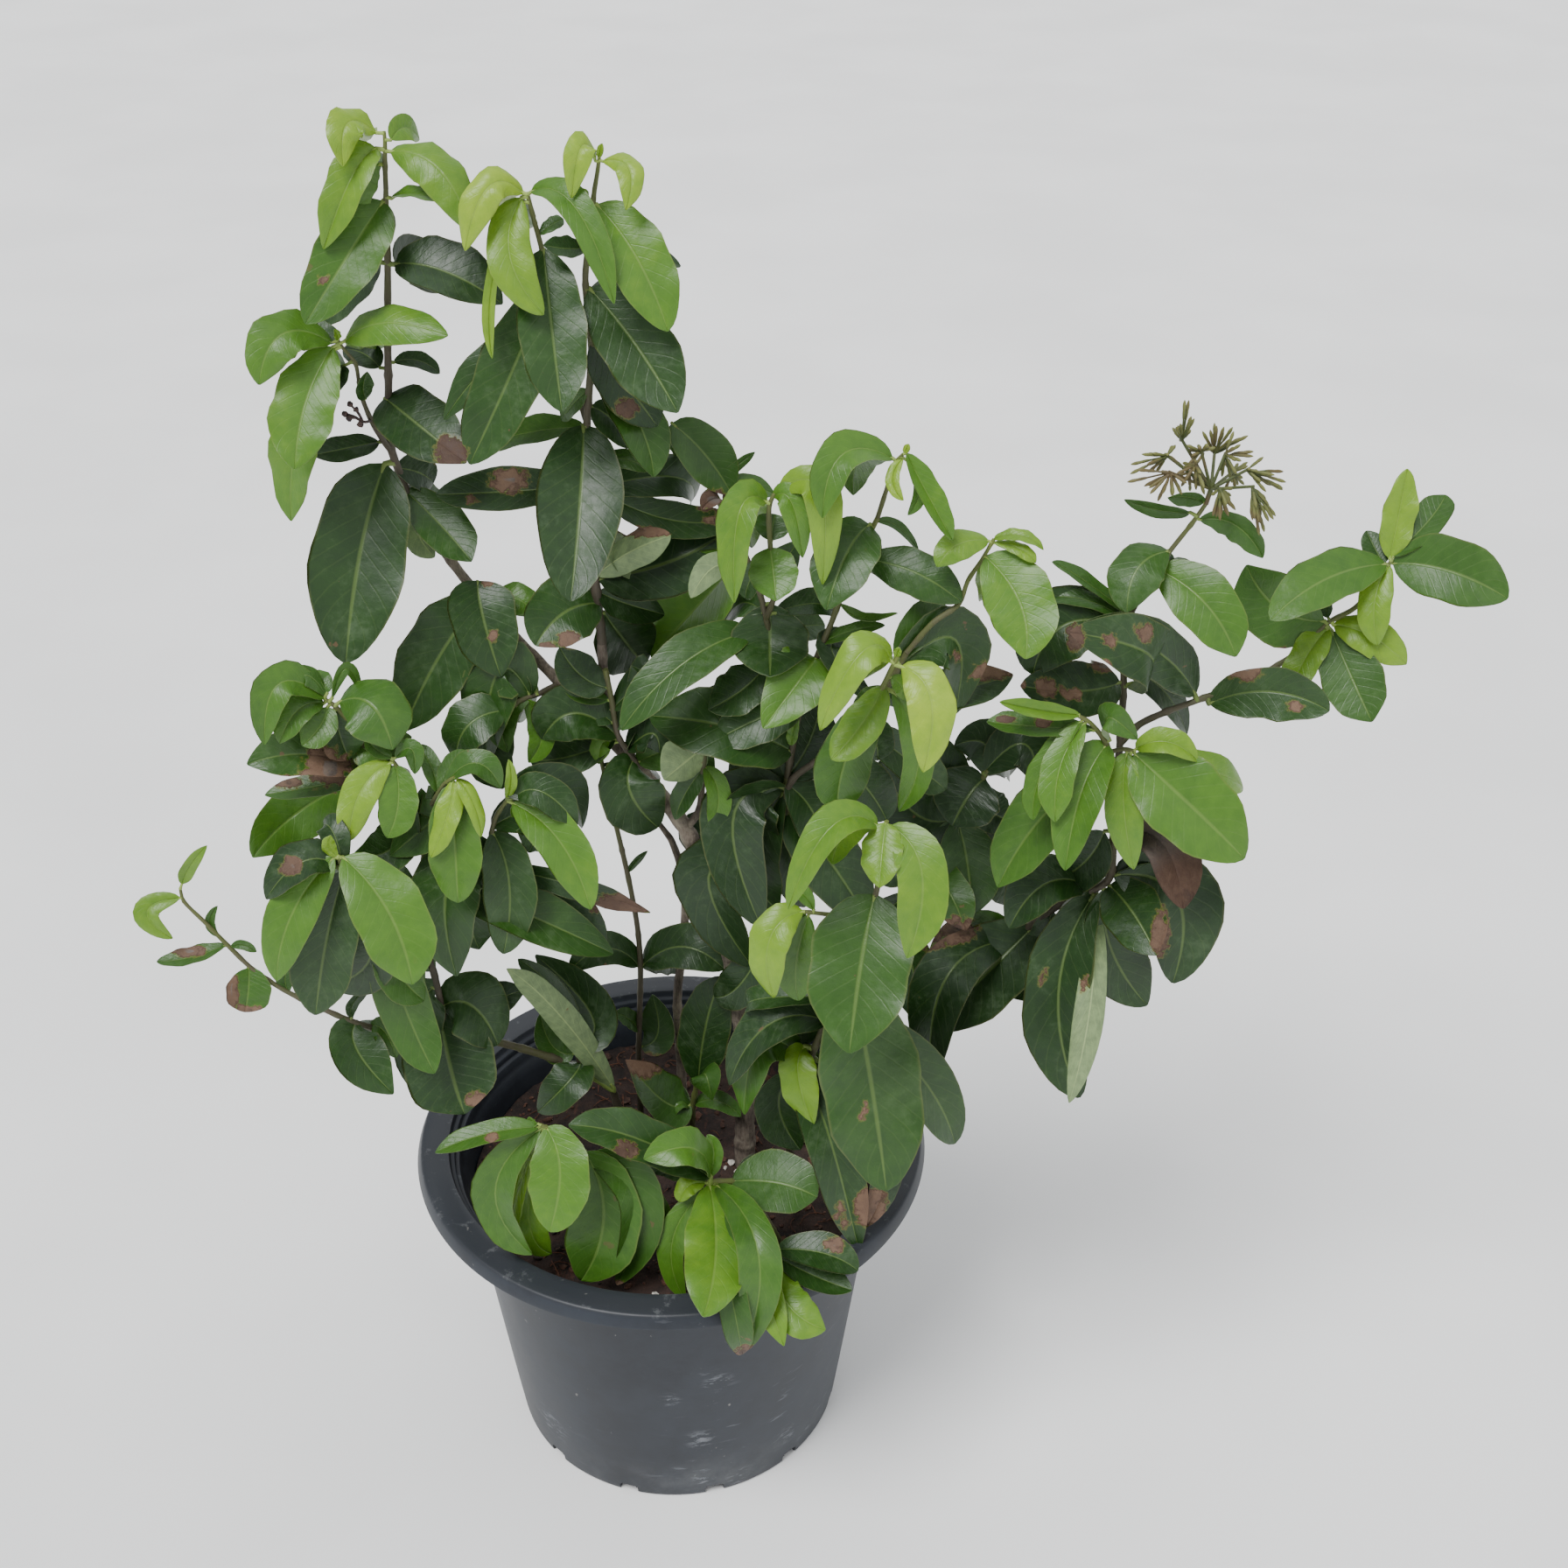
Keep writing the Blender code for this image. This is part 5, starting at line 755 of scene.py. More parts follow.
def back_leaf(leaf):
    """A leaf turned to the back, behind a wide one that the picture shows."""
    mx, my, tx, ty = part_way(leaf, 0.62, 0.55)
    return Leaf(leaf.base_x, leaf.base_y, mx, my, tx, ty, leaf.width * 0.85, -BACK_REACH, -leaf.spin, 10,
                leaf.tone)


def rear_leaf(leaf, draw):
    """A smaller leaf that grows to the back from near the foot of one that the picture shows."""
    mx, my, tx, ty = part_way(leaf, draw.uniform(0.35, 0.6), draw.uniform(0.3, 0.7))
    return Leaf(leaf.base_x, leaf.base_y, mx, my - 6, tx, ty, leaf.width * draw.uniform(0.7, 0.9),
                -draw.uniform(2.5, 4.5), draw.uniform(-30, 30), 12, max(0.0, leaf.tone) * 0.6)


def on_stem(routes, target):
    """Closest point on the middle of a piece's stems, and the stem's radius there."""
    best = None
    for points, radii in routes:
        for k in range(len(points) - 1):
            leg = points[k + 1] - points[k]
            t = max(0.0, min(1.0, (target - points[k]).dot(leg) / leg.length_squared))
            spot = points[k] + leg * t
            if best is None or (target - spot).length < best[0]:
                best = ((target - spot).length, spot, radii[k] + (radii[k + 1] - radii[k]) * t)
    return best[1], best[2]


def blade_share(t, broadest, drawn_out):
    """Half width along a leaf: a rounded foot, broadest near the middle, and a short blunt point."""
    off = (t - broadest) / (broadest if t < broadest else 1 - broadest)
    body = max(0.0, 1 - abs(off) ** 2.15) ** (0.60 if t < broadest else 0.56)
    return max(0.04, body * (1 - drawn_out * max(0.0, (t - 0.78) / 0.22) ** 2))


def harm_at(spot, tone):
    """How badly a blade is hurt at a place, and how dark it is there. A tone below nought is a dead leaf."""
    worst, gloom = (1.0, 0.75) if tone < 0 else (0.0, 0.0)
    px, py = seen_at(spot)
    for sx, sy, rx, ry, depth in (SPOTS if tone < SPOTTED_BELOW else []):
        away = math.hypot((px - sx) / rx, (py - sy) / ry)
        if away < 1.7 and 1.3 - away * 0.75 > worst:
            worst = 1.3 - away * 0.75
            gloom = depth
    return min(1.0, worst), gloom


def skin_blade(shape, uv, made):
    """Faces of a blade above and below, along its edges and at its ends, laid out flat for the veins."""

    def face_of(corners, places):
        new = shape.faces.new(corners)
        for loop, (x, y) in zip(new.loops, places):
            loop[uv].uv = (x * 0.5 + 0.5, y)
        new.smooth = True

    last = len(OVER) - 1
    for k in range(len(ALONG) - 1):
        a, b = ALONG[k], ALONG[k + 1]
        for n in range(last):
            u, v = OVER[n], OVER[n + 1]
            spots = ((u, a), (v, a), (v, b), (u, b))
            face_of((made[k][0][n], made[k][0][n + 1], made[k + 1][0][n + 1], made[k + 1][0][n]), spots)
            face_of((made[k][1][n], made[k + 1][1][n], made[k + 1][1][n + 1], made[k][1][n + 1]),
                    (spots[0], spots[3], spots[2], spots[1]))
        for n, u in ((0, -1), (last, 1)):
            face_of((made[k][0][n], made[k + 1][0][n], made[k + 1][1][n], made[k][1][n]),
                    ((u, a), (u, b), (u, b), (u, a)))
    for k in (0, len(ALONG) - 1):
        for n in range(last):
            face_of((made[k][0][n], made[k][0][n + 1], made[k][1][n + 1], made[k][1][n]),
                    ((OVER[n], ALONG[k]),) * 4)


def add_leaf(shape, layers, at_stem, stem_r, form, fold, tone, draw):
    """One leaf with its stalk: a thin closed blade with a crease, waved margins, a raised midrib below."""
    base, mid, tip, half, spin = form
    uv, young, under, harm, dark = layers
    at = leaf_frame(base, mid, tip, spin)
    length = (mid - base).length + (tip - mid).length
    lean = math.radians(fold + draw.uniform(3, 9))
    limp = max(0.0, tone - 0.4) / 0.4
    cup = draw.uniform(-0.10, 0.18) - 0.35 * limp
    wave = draw.uniform(0.03, 0.10) * (1 + 1.3 * limp)
    broadest = draw.uniform(0.46, 0.58)
    drawn_out = draw.uniform(0.15, 0.5)
    beats = draw.uniform(1.6, 3.4)
    phase = draw.uniform(0, 6.28)
    curl = draw.uniform(-0.04, 0.10) + 0.05 * limp
    twist = math.radians(draw.uniform(-14, 14) * (1 + limp))
    if tone < 0:
        cup, wave = 0.9, 0.16
    shade = min(1.0, max(0.0, tone + draw.uniform(-0.04, 0.04)))
    made = []
    for t in ALONG:
        place, travel, face, wide = at(t)
        face, wide = turned_about(face, wide, twist * t ** 2)
        share = blade_share(t, broadest, drawn_out)
        lobe = 1 + 0.035 * math.sin(beats * 2.1 * math.pi * t + phase)
        top = []
        low = []
        for u in OVER:
            reach = half * share * lobe * abs(u)
            side = 1 if u > 0 else -1
            rise = reach * math.tan(lean) * 0.8 + half * share * cup * u * u
            rise += half * wave * share * abs(u) ** 2.2 * math.sin(2 * math.pi * beats * t + phase + side)
            rise -= length * curl * t ** 4
            spot = place + wide * reach * side * math.cos(lean * 0.8) + face * rise
            rib = math.exp(-(u / RIB_SHARE) ** 2)
            thick = HALF_BLADE * (1 - 0.5 * abs(u) ** 3)
            top.append(spot + face * (thick - rib * RIB_DEEP))
            low.append(spot - face * (thick + rib * RIB_TALL * (1.05 - t)))
        made.append([[shape.verts.new(spot) for spot in row] for row in (top, low)])
    for top, low in made:
        for row, part in ((top, UPPER), (low, LOWER)):
            for vert in row:
                vert[young], vert[under] = shade, part
                vert[harm], vert[dark] = harm_at(vert.co, tone)
    skin_blade(shape, uv, made)
    place, travel, face, wide = at(0.0)
    reach = (base - at_stem).length
    spots = [at_stem, at_stem.lerp(base, 0.55) - face * reach * 0.06, base - face * 0.0003,
             base + travel * length * 0.05 - face * 0.0005]
    thick = min(stem_r * 0.9, 0.0007 + length * 0.011)
    for ring in add_tube(shape, *eased(spots, [thick * 1.35, thick, thick, thick * 0.5], STEM_STEP), 8):
        for vert in ring:
            vert[young], vert[under] = min(1.0, shade + 0.25), STALK


# Leaf skin: glossy dark green when old, yellow-green when young, paler below and along the veins, with
# greyish patches of dust and painted sheen on the old ones
skin, start, shader = new_material("leaf_leathery")
place = start.node("TexCoord", out=3)
blade = start.node("UVMap", {"uv_map": "blade"})
along = blade.part(1)
across = start.sum("ABSOLUTE", blade.part(0) * 2 - 1)
young = start.node("Attribute", {"attribute_name": "young"}, out=2)
under = start.node("Attribute", {"attribute_name": "under"}, out=2)
hurt = start.node("Attribute", {"attribute_name": "harm"}, out=2)
gloom = start.node("Attribute", {"attribute_name": "dark"}, out=2)
cloud = place.noise(38.0, 5.0, 0.6)
ripple = blade.node("Mapping", Vector=blade, Scale=(2.2, 6.5, 1))
ripple = ripple.node("TexNoise", {"noise_dimensions": "4D"}, Vector=ripple, W=place.noise(9.0, 0.0) * 14,
                     Scale=1.6, Detail=3.0)
mottle = place.noise(210.0, 5.0, 0.62)
pores = place.noise(1500.0, 2.0, 0.5)
tone = young + (cloud - 0.5) * 0.24 + (mottle - 0.5) * 0.12 + (ripple - 0.5) * 0.16
ages = [(0.0, colour(25, 50, 17)), (0.15, colour(36, 68, 18)), (0.35, colour(55, 92, 26)),
        (0.55, colour(77, 118, 30)), (0.8, colour(115, 150, 34)), (1.0, colour(151, 178, 48))]
green = tone.node("ValToRGB", {"stops": ages}, Fac=tone)
way = (along * 10.5 - across * 2.3) + (mottle - 0.5) * 0.15
ribs = way.sum("PINGPONG", way, 0.5).rise(0.10, 0.0) * across.rise(0.02, 0.10)
midrib = across.rise(0.065, 0.015)
green = (ribs * 0.045 + midrib * 0.28).tint(green, colour(128, 152, 78))
# Dust and painted sheen: greyish patches on the older leaves, partly dust and partly a painted reflection of
# the bright sky.
dust = (cloud * 0.5 + mottle * 0.5).rise(0.50, 0.68) * young.rise(0.45, 0.1)
green = (dust * 0.17).tint(green, colour(104, 118, 96))
edge = across.rise(0.93, 1.0)
green = (edge * 0.18).tint(green, colour(142, 132, 78))
pale = (mottle.rise(0.3, 0.7) * 0.4 + young * 0.6).tint(colour(94, 112, 79), colour(144, 166, 112))
pale = (ribs * 0.2 + midrib * 0.6).tint(pale, colour(158, 176, 116))
green = under.rise(0.4, 0.6).tint(green, pale)
shank = young.tint(colour(70, 84, 44), colour(150, 172, 84))
green = under.rise(1.4, 1.6).tint(green, shank)
speck = place.noise(95.0, 3.0, 0.5).rise(0.735, 0.76) * young.rise(0.6, 0.2)
rot = hurt + ((mottle - 0.5) * 1.7 + (cloud - 0.5) * 1.4) * hurt.rise(0.0, 0.4)
dead = rot.rise(0.42, 0.52)
rim = dead * rot.rise(0.72, 0.50)
brown = gloom.tint(colour(126, 98, 78), colour(62, 44, 36))
shrunk = hurt.rise(0.93, 0.98)
brown = (shrunk * along.rise(0.75, 0.45)).tint(brown, colour(104, 94, 88))
brown = (mottle.rise(0.42, 0.66) * (1 - gloom * 0.85) * 0.4).tint(brown, colour(138, 112, 90))
brown = (shrunk * cloud.rise(0.52, 0.40) * 0.6).tint(brown, colour(52, 40, 36))
brown = (rim * 0.7).tint(brown, colour(66, 42, 32))
green = (rot.rise(0.26, 0.44) * 0.4).tint(green, colour(126, 118, 48))
base = dead.tint((speck * 0.7).tint(green, colour(104, 76, 52)), brown)
gloss = 0.31 + mottle * 0.14 + under.rise(0.4, 0.6) * 0.2 + dead * 0.3 + dust * 0.15
height = ribs * -0.12 + midrib * -0.4 + ripple + mottle * 0.22 + pores * 0.08 + dead * mottle * 0.8
feed(shader, start, Base_Color=base, Roughness=gloss, Normal=bumpy(start, height, 0.55, 0.0008))
shader.inputs["Specular IOR Level"].default_value = 0.42

# Green stem, going woody: olive with brown streaks and scars
cane, start, shader = new_material("stem_green")
place = start.node("TexCoord", out=3)
young = start.node("Attribute", {"attribute_name": "young"}, out=2)
streaks = place.noise(300.0, 6.0, 0.7, (1, 1, 0.2))
patches = place.noise(60.0, 4.0, 0.6)
base = young.tint(colour(62, 56, 42), colour(112, 128, 50))
base = ((streaks * 0.5 + patches * 0.5).rise(0.42, 0.62) * (1 - young) * 0.8).tint(base, colour(84, 74, 62))
base = (streaks.rise(0.6, 0.72) * 0.5).tint(base, colour(46, 42, 32))
feed(shader, start, Base_Color=base, Roughness=0.55 + streaks * 0.2,
     Normal=bumpy(start, streaks, 0.5, 0.0006))

# Every stem so far, for the next ones to grow from
grown = [stem_route(entries) for entries in WOODY_STEMS + UPRIGHT_STEM]


def shoot(name, stems, leaves):
    """A leafy stem in one piece: its stems, each given by its points, then the leaves that grow on them."""
    leaves = [Leaf(*values) for values in leaves]
    solid_verts = frame["nodes"][name].data.vertices
    solid = kdtree.KDTree(len(solid_verts))
    for k, vert in enumerate(solid_verts):
        solid.insert(vert.co, k)
    solid.balance()
    shape = bmesh.new()
    uv = shape.loops.layers.uv.new("blade")
    layers = (uv, *[shape.verts.layers.float.new(key) for key in ("young", "under", "harm", "dark")])
    typical = sum(leaf.tone for leaf in leaves) / len(leaves)
    routes = []
    for entries in stems:
        points, radii = stem_route(entries)
        if len(entries[0]) == 4:
            spot = on_stem(grown, points[0])[0]
            if (spot - points[0]).length < JOIN_REACH:
                points[0] = spot
        points, radii = eased(points, radii, STEM_STEP)
        routes.append((points, radii))
        grown.append((points, radii))
        swollen = knotted(points, radii, JOINTS_EVERY, GREEN_JOINTS)
        for k, ring in enumerate(add_tube(shape, points, swollen, 10)):
            fresh = min(1.0, max(0.0, typical * 0.7 - 0.15 + 0.5 * (k / len(points)) ** 2))
            for vert in ring:
                vert[layers[1]], vert[layers[2]] = fresh, STALK
    stem_faces = len(shape.faces)
    wide = [leaf for leaf in leaves if leaf.width >= BACK_WIDTH and leaf.out > 0]
    hidden = [back_leaf(leaf) for leaf in wide[::BACK_EVERY]]
    rear = [rear_leaf(leaf, random.Random(round(leaf.tip_x + leaf.tip_y * 7)))
            for leaf in wide[1::REAR_EVERY]]
    for leaf in leaves + hidden + rear:
        draw = random.Random(round(leaf.base_x * 7 + leaf.tip_x * 13 + leaf.tip_y * 17))
        form, has_solid = hung_as(leaf, stems, solid)
        if leaf in hidden and not has_solid:
            continue
        spot, stem_r = on_stem(routes, form[0])
        add_leaf(shape, layers, spot, stem_r, form, leaf.fold, leaf.tone, draw)
    shape.faces.ensure_lookup_table()
    for k in range(stem_faces, len(shape.faces)):
        shape.faces[k].material_index = 1
    piece = finished(name + "_grown", shape, 75)
    piece.data.materials.append(cane)
    piece.data.materials.append(skin)
    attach(piece, "root")
    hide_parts(name)

# Tall stems on the left
# Two upright stems grow out of the old wood's upper ends, bare between their pairs of leaves. The old
# leaves are leathery and dark, the young ones at the tips and on the side shoots limp and light green.
shoot("left_leafy_stem", [
    [(468, 570, 4, 2.4), (458, 545, 4, 2.2), (444, 500, 3.6, 2.1), (444, 440, 3.3, 2), (443, 390, 3, 1.9),
     (443, 302, 3, 1.7), (441, 230, 3, 1.4), (441, 215.5, 3, 1.3)],
    [(444, 520, 3.8, 1.6), (428, 488, 2.6, 1.4), (415, 458, 2, 1.2), (410, 436, 1.8, 1.1)]], [
    (438, 230, 402, 285, 349, 370, 75, 3.2, 15, 8, .35),
    (447, 226, 475, 222, 511, 233, 26, 1.5, -55, 10, .5),
    (452, 302, 505, 309, 575, 345, 75, 1.5, -30, 8, .02),
    (435, 300, 412, 322, 365, 374, 45, -1.5, 30, 5, .02),
    (450, 414, 478, 412, 502, 427, 22, -1, -30, 5, .1),
    (434, 420, 415, 404, 393, 400, 38, -1.6, 25, 5, .03),
    (440, 455, 476, 484, 533, 531, 78, 4, -10, 6, .05), (418, 456, 415, 442, 421, 428, 24, .6, 40, 5, .1),
    (433, 505, 398, 512, 357, 521, 32, 2.5, 25, 5, .05),
    (440, 530, 412, 630, 395, 758, 110, 5.5, 8, 6, .06),
    (452, 535, 478, 540, 496, 552, 44, -1.4, -20, 5, .02),
    (462, 560, 503, 600, 539, 643, 60, 3, -20, 10, .15),
    (470, 580, 478, 612, 497, 636, 34, 1, 150, 10, .15),
    (474, 597, 466, 602, 456, 600, 24, -1, 20, 5, .02)])
shoot("left_top_leaves", [
    [(441, 212, 3, 1.3), (440, 190, 3, 1.2), (440, 163, 3, 1), (439, 150, 3, .8)]], [
    (430, 152, 397, 141, 393, 190, 45, 2, 20, 15, .8),
    (430, 170, 402, 202, 368, 285, 55, 2.5, 30, 30, .65),
    (434, 188, 414, 208, 405, 255, 35, .6, -30, 10, .5),
    (447, 160, 463, 146, 484, 158, 34, -2, -25, 10, .6),
    (446, 173, 500, 192, 540, 264, 55, 2.5, -20, -12, .6)])
shoot("left_side_shoot", [
    [(409.6, 433, 1.8, 1), (406, 415, 1.6, 1), (392, 398, 1.4, .9), (386, 388, 1.4, .8)]], [
    (387, 388, 385, 383, 382, 376, 10, .3, 20, 20, .7),
    (394, 390, 440, 369, 512, 384, 50, 1.6, -25, -8, .6),
    (385, 392, 362, 378, 330, 366, 30, -1.5, 30, 5, .1),
    (380, 397, 349, 460, 337, 535, 75, 4, 15, 12, .55), (379, 392, 322, 382, 295, 440, 60, 2.8, 20, 8, .5),
    (378, 402, 341, 490, 330, 597, 60, 1.2, 25, 15, .6), (392, 418, 388, 430, 386, 446, 26, 1, 20, 8, .03)])
shoot("middle_leafy_stem", [
    [(688, 735, 1, 2.6), (680, 660, 1, 2.4), (672, 560, 1, 2.2), (671, 480, 1, 2), (676, 400, .6, 1.8),
     (669, 320, .2, 1.6), (674, 265, 0, 1.4), (679.6, 215.5, 0, 1.2)]], [
    (674, 237, 664, 223, 652, 229, 20, .6, 30, 5, .6),
    (682, 234, 728, 295, 764, 377, 75, 3.2, -10, 12, .55),
    (680, 275, 735, 288, 778, 304, 32, -1.6, -45, 8, .1),
    (668, 283, 646, 284, 622, 279, 28, .8, 30, 5, .1), (674, 330, 725, 392, 775, 472, 85, 3.4, -5, 8, .1),
    (676, 392, 712, 435, 752, 487, 75, .8, -20, 5, .02),
    (680, 420, 728, 480, 747, 545, 60, 2.2, -15, 8, .25),
    (676, 465, 700, 480, 726, 512, 45, .6, -25, 5, .03),
    (680, 530, 710, 524, 747, 537, 25, 1, -30, 5, .25), (672, 446, 655, 462, 641, 480, 28, -.8, 30, 5, .3),
    (668, 488, 605, 494, 547, 508, 40, -2.2, 40, 5, .35), (667, 486, 663, 575, 653, 688, 98, 6, 0, 5, .06),
    (664, 556, 580, 562, 500, 567, 55, -1, 25, 8, .02),
    (676, 560, 770, 545, 800, 575, 60, -2.5, -35, 6, .05),
    (678, 590, 730, 640, 765, 608, 58, -1.8, 150, 10, .2),
    (684, 662, 770, 640, 826, 602, 105, -.5, -25, 6, .03),
    (682, 658, 722, 630, 771, 612, 42, 1.2, 170, 10, .2),
    (684, 560, 766, 594, 842, 590, 43, -.6, -10, 8, .12),
    (684, 676, 716, 690, 762, 702, 43, -1.2, 0, 8, .05),
    (686, 690, 645, 700, 612, 738, 82, 3, 15, 8, .12),
    (690, 700, 712, 730, 738, 762, 80, -1.6, -10, 5, .02)])
shoot("drooping_shoot", [
    [(674, 478, 1.6, 1.6), (668, 475, 1.5, 1.6), (655, 425, 1.2, 1.5), (635, 350, .8, 1.4),
     (618, 280, .4, 1.3), (610, 250, .2, 1.2), (603, 222, 0, 1)]], [
    (598, 221, 558, 214, 530, 287, 46, 2, 20, 20, .85), (596, 226, 582, 290, 618, 357, 56, 3, 5, 15, .7),
    (595, 232, 563, 320, 562, 410, 20, 1.6, 40, 25, .75),
    (607, 219, 658, 238, 702, 347, 42, 2.4, -20, 15, .5),
    (616, 268, 632, 256, 644, 250, 20, -.6, -40, 5, .3), (621, 284, 630, 370, 642, 471, 80, 4, -5, 6, .15),
    (624, 330, 585, 425, 537, 530, 80, 2.6, 10, 8, .15),
    (640, 398, 575, 405, 505, 480, 50, 1.5, 20, 10, .12)])
shoot("middle_top_leaves", [
    [(680, 212, 0, 1.2), (683, 195, 0, 1), (685, 178, 0, .8)]], [
    (681, 184, 664, 168, 655, 227, 38, 2, 15, 20, .85),
    (689, 184, 719, 193, 716, 240, 35, 2, -15, 20, .85), (684, 180, 686, 172, 687, 165, 9, .2, 0, 20, .8)])

# Stems on the right
# The right-hand limb goes on as the stem of the flower head and as a long side branch, with a light green
# cluster in front. Old leaves low down are scarred brown, and one hangs dead from its stalk.
shoot("right_lower_leaves", [
    [(1150, 1080, -.4, 2.6), (1210, 1034, -1.6, 2.4), (1266, 1006, -3, 2.2), (1272, 960, -3.4, 2),
     (1273, 908, -3.6, 2)]], [
    (1274, 950, 1330, 965, 1352, 1042, 58, 3, -10, 15, -1),
    (1272, 1000, 1345, 1025, 1340, 1122, 96, 2, -10, 8, .03),
    (1268, 1012, 1296, 1045, 1322, 1092, 70, 4.4, -5, 6, .06),
    (1262, 1016, 1270, 1085, 1312, 1150, 70, 1, -10, 6, .02),
    (1252, 1020, 1210, 1130, 1231, 1260, 82, 5.4, 5, 20, .03),
    (1252, 1036, 1246, 1150, 1222, 1262, 36, 9.6, 176, 12, .3),
    (1246, 1014, 1195, 1010, 1150, 1062, 60, 2.2, 15, 6, .06),
    (1262, 950, 1240, 985, 1200, 1010, 60, -1, 10, 6, .03),
    (1200, 1040, 1190, 1100, 1150, 1135, 60, 1.8, 15, 6, .04),
    (1180, 1060, 1130, 1110, 1062, 1176, 96, 3.2, 12, 6, .05),
    (1160, 1066, 1110, 1062, 1062, 1102, 50, .6, -20, 10, .3),
    (1150, 1076, 1080, 1120, 1062, 1236, 70, .4, 15, 6, .03)])
shoot("flower_stem_leaves", [
    [(1273, 908, -3.6, 2), (1279, 860, -2.2, 2), (1284, 790, -.8, 1.9), (1286, 720, 0, 1.7),
     (1310, 668, 0, 1.5), (1337, 630, 0, 1.3), (1364, 596, 0, 1.2), (1378, 576, 0, 1.1)]], [
    (1360, 586, 1325, 583, 1284, 574, 22, -1, -40, 12, .3),
    (1376, 574, 1358, 568, 1334, 568, 22, .8, -30, 15, .3),
    (1371, 594, 1412, 600, 1443, 638, 36, 1, 30, 15, .35),
    (1336, 630, 1300, 650, 1288, 700, 64, 2.4, 15, -15, .2),
    (1322, 650, 1378, 690, 1414, 750, 72, 3.4, -10, 10, .45),
    (1290, 702, 1240, 664, 1203, 641, 22, -.6, 40, 20, .3),
    (1286, 708, 1235, 684, 1182, 684, 26, -.6, 40, 8, .2),
    (1286, 716, 1215, 715, 1180, 772, 88, 1.8, 15, 8, .1),
    (1288, 784, 1315, 750, 1225, 722, 78, 4.2, 30, 6, .05),
    (1280, 780, 1232, 790, 1166, 784, 66, 1, 10, 6, .05),
    (1290, 768, 1330, 790, 1352, 838, 44, -1.6, -30, 6, .1)])
shoot("right_leafy_branch", [
    [(1280, 850, -2, 2), (1302, 828, -1.4, 1.9), (1334, 813, -1, 1.8), (1364, 802, -.6, 1.7),
     (1400, 788, -.4, 1.6), (1448, 767, 0, 1.5), (1478, 748, .2, 1.4), (1517, 712, .4, 1.4),
     (1548, 695, .5, 1.3), (1575, 664, .6, 1.2), (1590, 641, .6, 1)]], [
    (1382, 804, 1450, 790, 1519, 811, 64, 2, 15, 8, .1),
    (1519, 718, 1492, 752, 1468, 804, 42, 2.4, 10, 15, .7),
    (1522, 722, 1545, 775, 1567, 823, 70, 3.6, -5, 6, .3),
    (1524, 714, 1567, 727, 1610, 760, 46, 2, -20, 12, .75),
    (1588, 646, 1571, 688, 1575, 738, 40, 2.4, 5, 12, .7),
    (1588, 638, 1598, 591, 1609, 536, 42, -1.4, 10, 20, .75),
    (1592, 636, 1632, 596, 1652, 566, 44, -2.4, -20, 8, .3),
    (1592, 644, 1655, 652, 1723, 684, 76, 2.4, -10, 8, .3),
    (1584, 645, 1515, 662, 1452, 710, 62, 3.2, 15, -8, .4),
    (1514, 710, 1462, 696, 1424, 650, 84, -1, -10, 8, .35),
    (1582, 644, 1572, 628, 1562, 606, 32, -1.4, 20, 8, .1),
    (1518, 706, 1516, 696, 1520, 682, 14, -.8, 0, 15, .1),
    (1366, 794, 1322, 744, 1246, 716, 66, 3, 10, 8, .06)])
shoot("right_young_cluster", [
    [(1276, 884, -2.9, 1.8), (1271, 868, -3.8, 1.7), (1262, 846, -4.2, 1.5), (1246, 826, -4.4, 1.2),
     (1232, 818, -4.4, 1)],
    [(1268, 860, -4, 1.4), (1282, 856, -4.2, 1.2), (1296, 858, -4.4, 1)]], [
    (1234, 817, 1190, 812, 1143, 802, 24, .8, 10, 30, .6),
    (1268, 846, 1268, 820, 1300, 846, 36, 1.4, -20, 15, .35),
    (1298, 856, 1335, 848, 1372, 870, 36, .8, -20, 25, .7),
    (1297, 862, 1357, 917, 1426, 982, 100, 4, -5, 8, .5),
    (1292, 866, 1380, 880, 1424, 900, 46, -3, -20, 8, .65),
    (1288, 860, 1284, 917, 1295, 996, 44, 2.6, 5, 12, .65),
    (1266, 850, 1236, 905, 1218, 994, 60, 3.6, 10, 14, .5),
    (1240, 826, 1211, 878, 1207, 940, 44, 3, 15, 20, .55),
    (1236, 824, 1192, 880, 1182, 936, 32, 1.6, 30, 10, .45),
    (1250, 834, 1180, 830, 1128, 824, 34, -.4, 30, 10, .35),
    (1264, 884, 1195, 930, 1142, 1012, 76, 1.6, 15, 12, .4)])
shoot("inner_right_leaves", [
    [(1000, 1108, 1, 2.4), (1030, 1040, 1, 2.2), (1062, 985, 1, 2), (1096, 930, .8, 1.8),
     (1130, 880, .6, 1.6)]], [
    (1128, 886, 1125, 850, 1090, 852, 56, -1.4, 10, 5, .03),
    (1124, 884, 1170, 850, 1186, 900, 58, .6, -15, 5, .02),
    (1118, 900, 1130, 925, 1156, 938, 50, .4, -10, 5, .03),
    (1126, 890, 1108, 908, 1088, 944, 80, 1.6, 10, 5, .02),
    (1056, 1000, 1030, 985, 985, 1000, 60, .4, 10, 5, .08),
    (1094, 936, 1106, 990, 1110, 1046, 72, 2, -8, 6, .12),
    (1092, 938, 1075, 985, 1075, 1044, 40, 1.2, 15, 6, .12),
    (1100, 940, 1150, 990, 1168, 1040, 70, -.4, -15, 6, .04),
    (1060, 990, 1085, 1020, 1104, 1066, 50, 2.6, -10, 5, .3),
    (1040, 1020, 1010, 1060, 1050, 1098, 60, .4, 0, 6, .05),
    (1020, 1060, 1044, 1110, 1046, 1170, 60, .6, -10, 6, .04),
    (1094, 934, 1046, 930, 1004, 868, 66, -1.6, 10, 6, .04),
    (1110, 908, 1082, 880, 1060, 838, 52, -1.2, 10, 6, .03),
    (1090, 940, 1050, 950, 1012, 944, 50, -1, 10, 6, .04)])

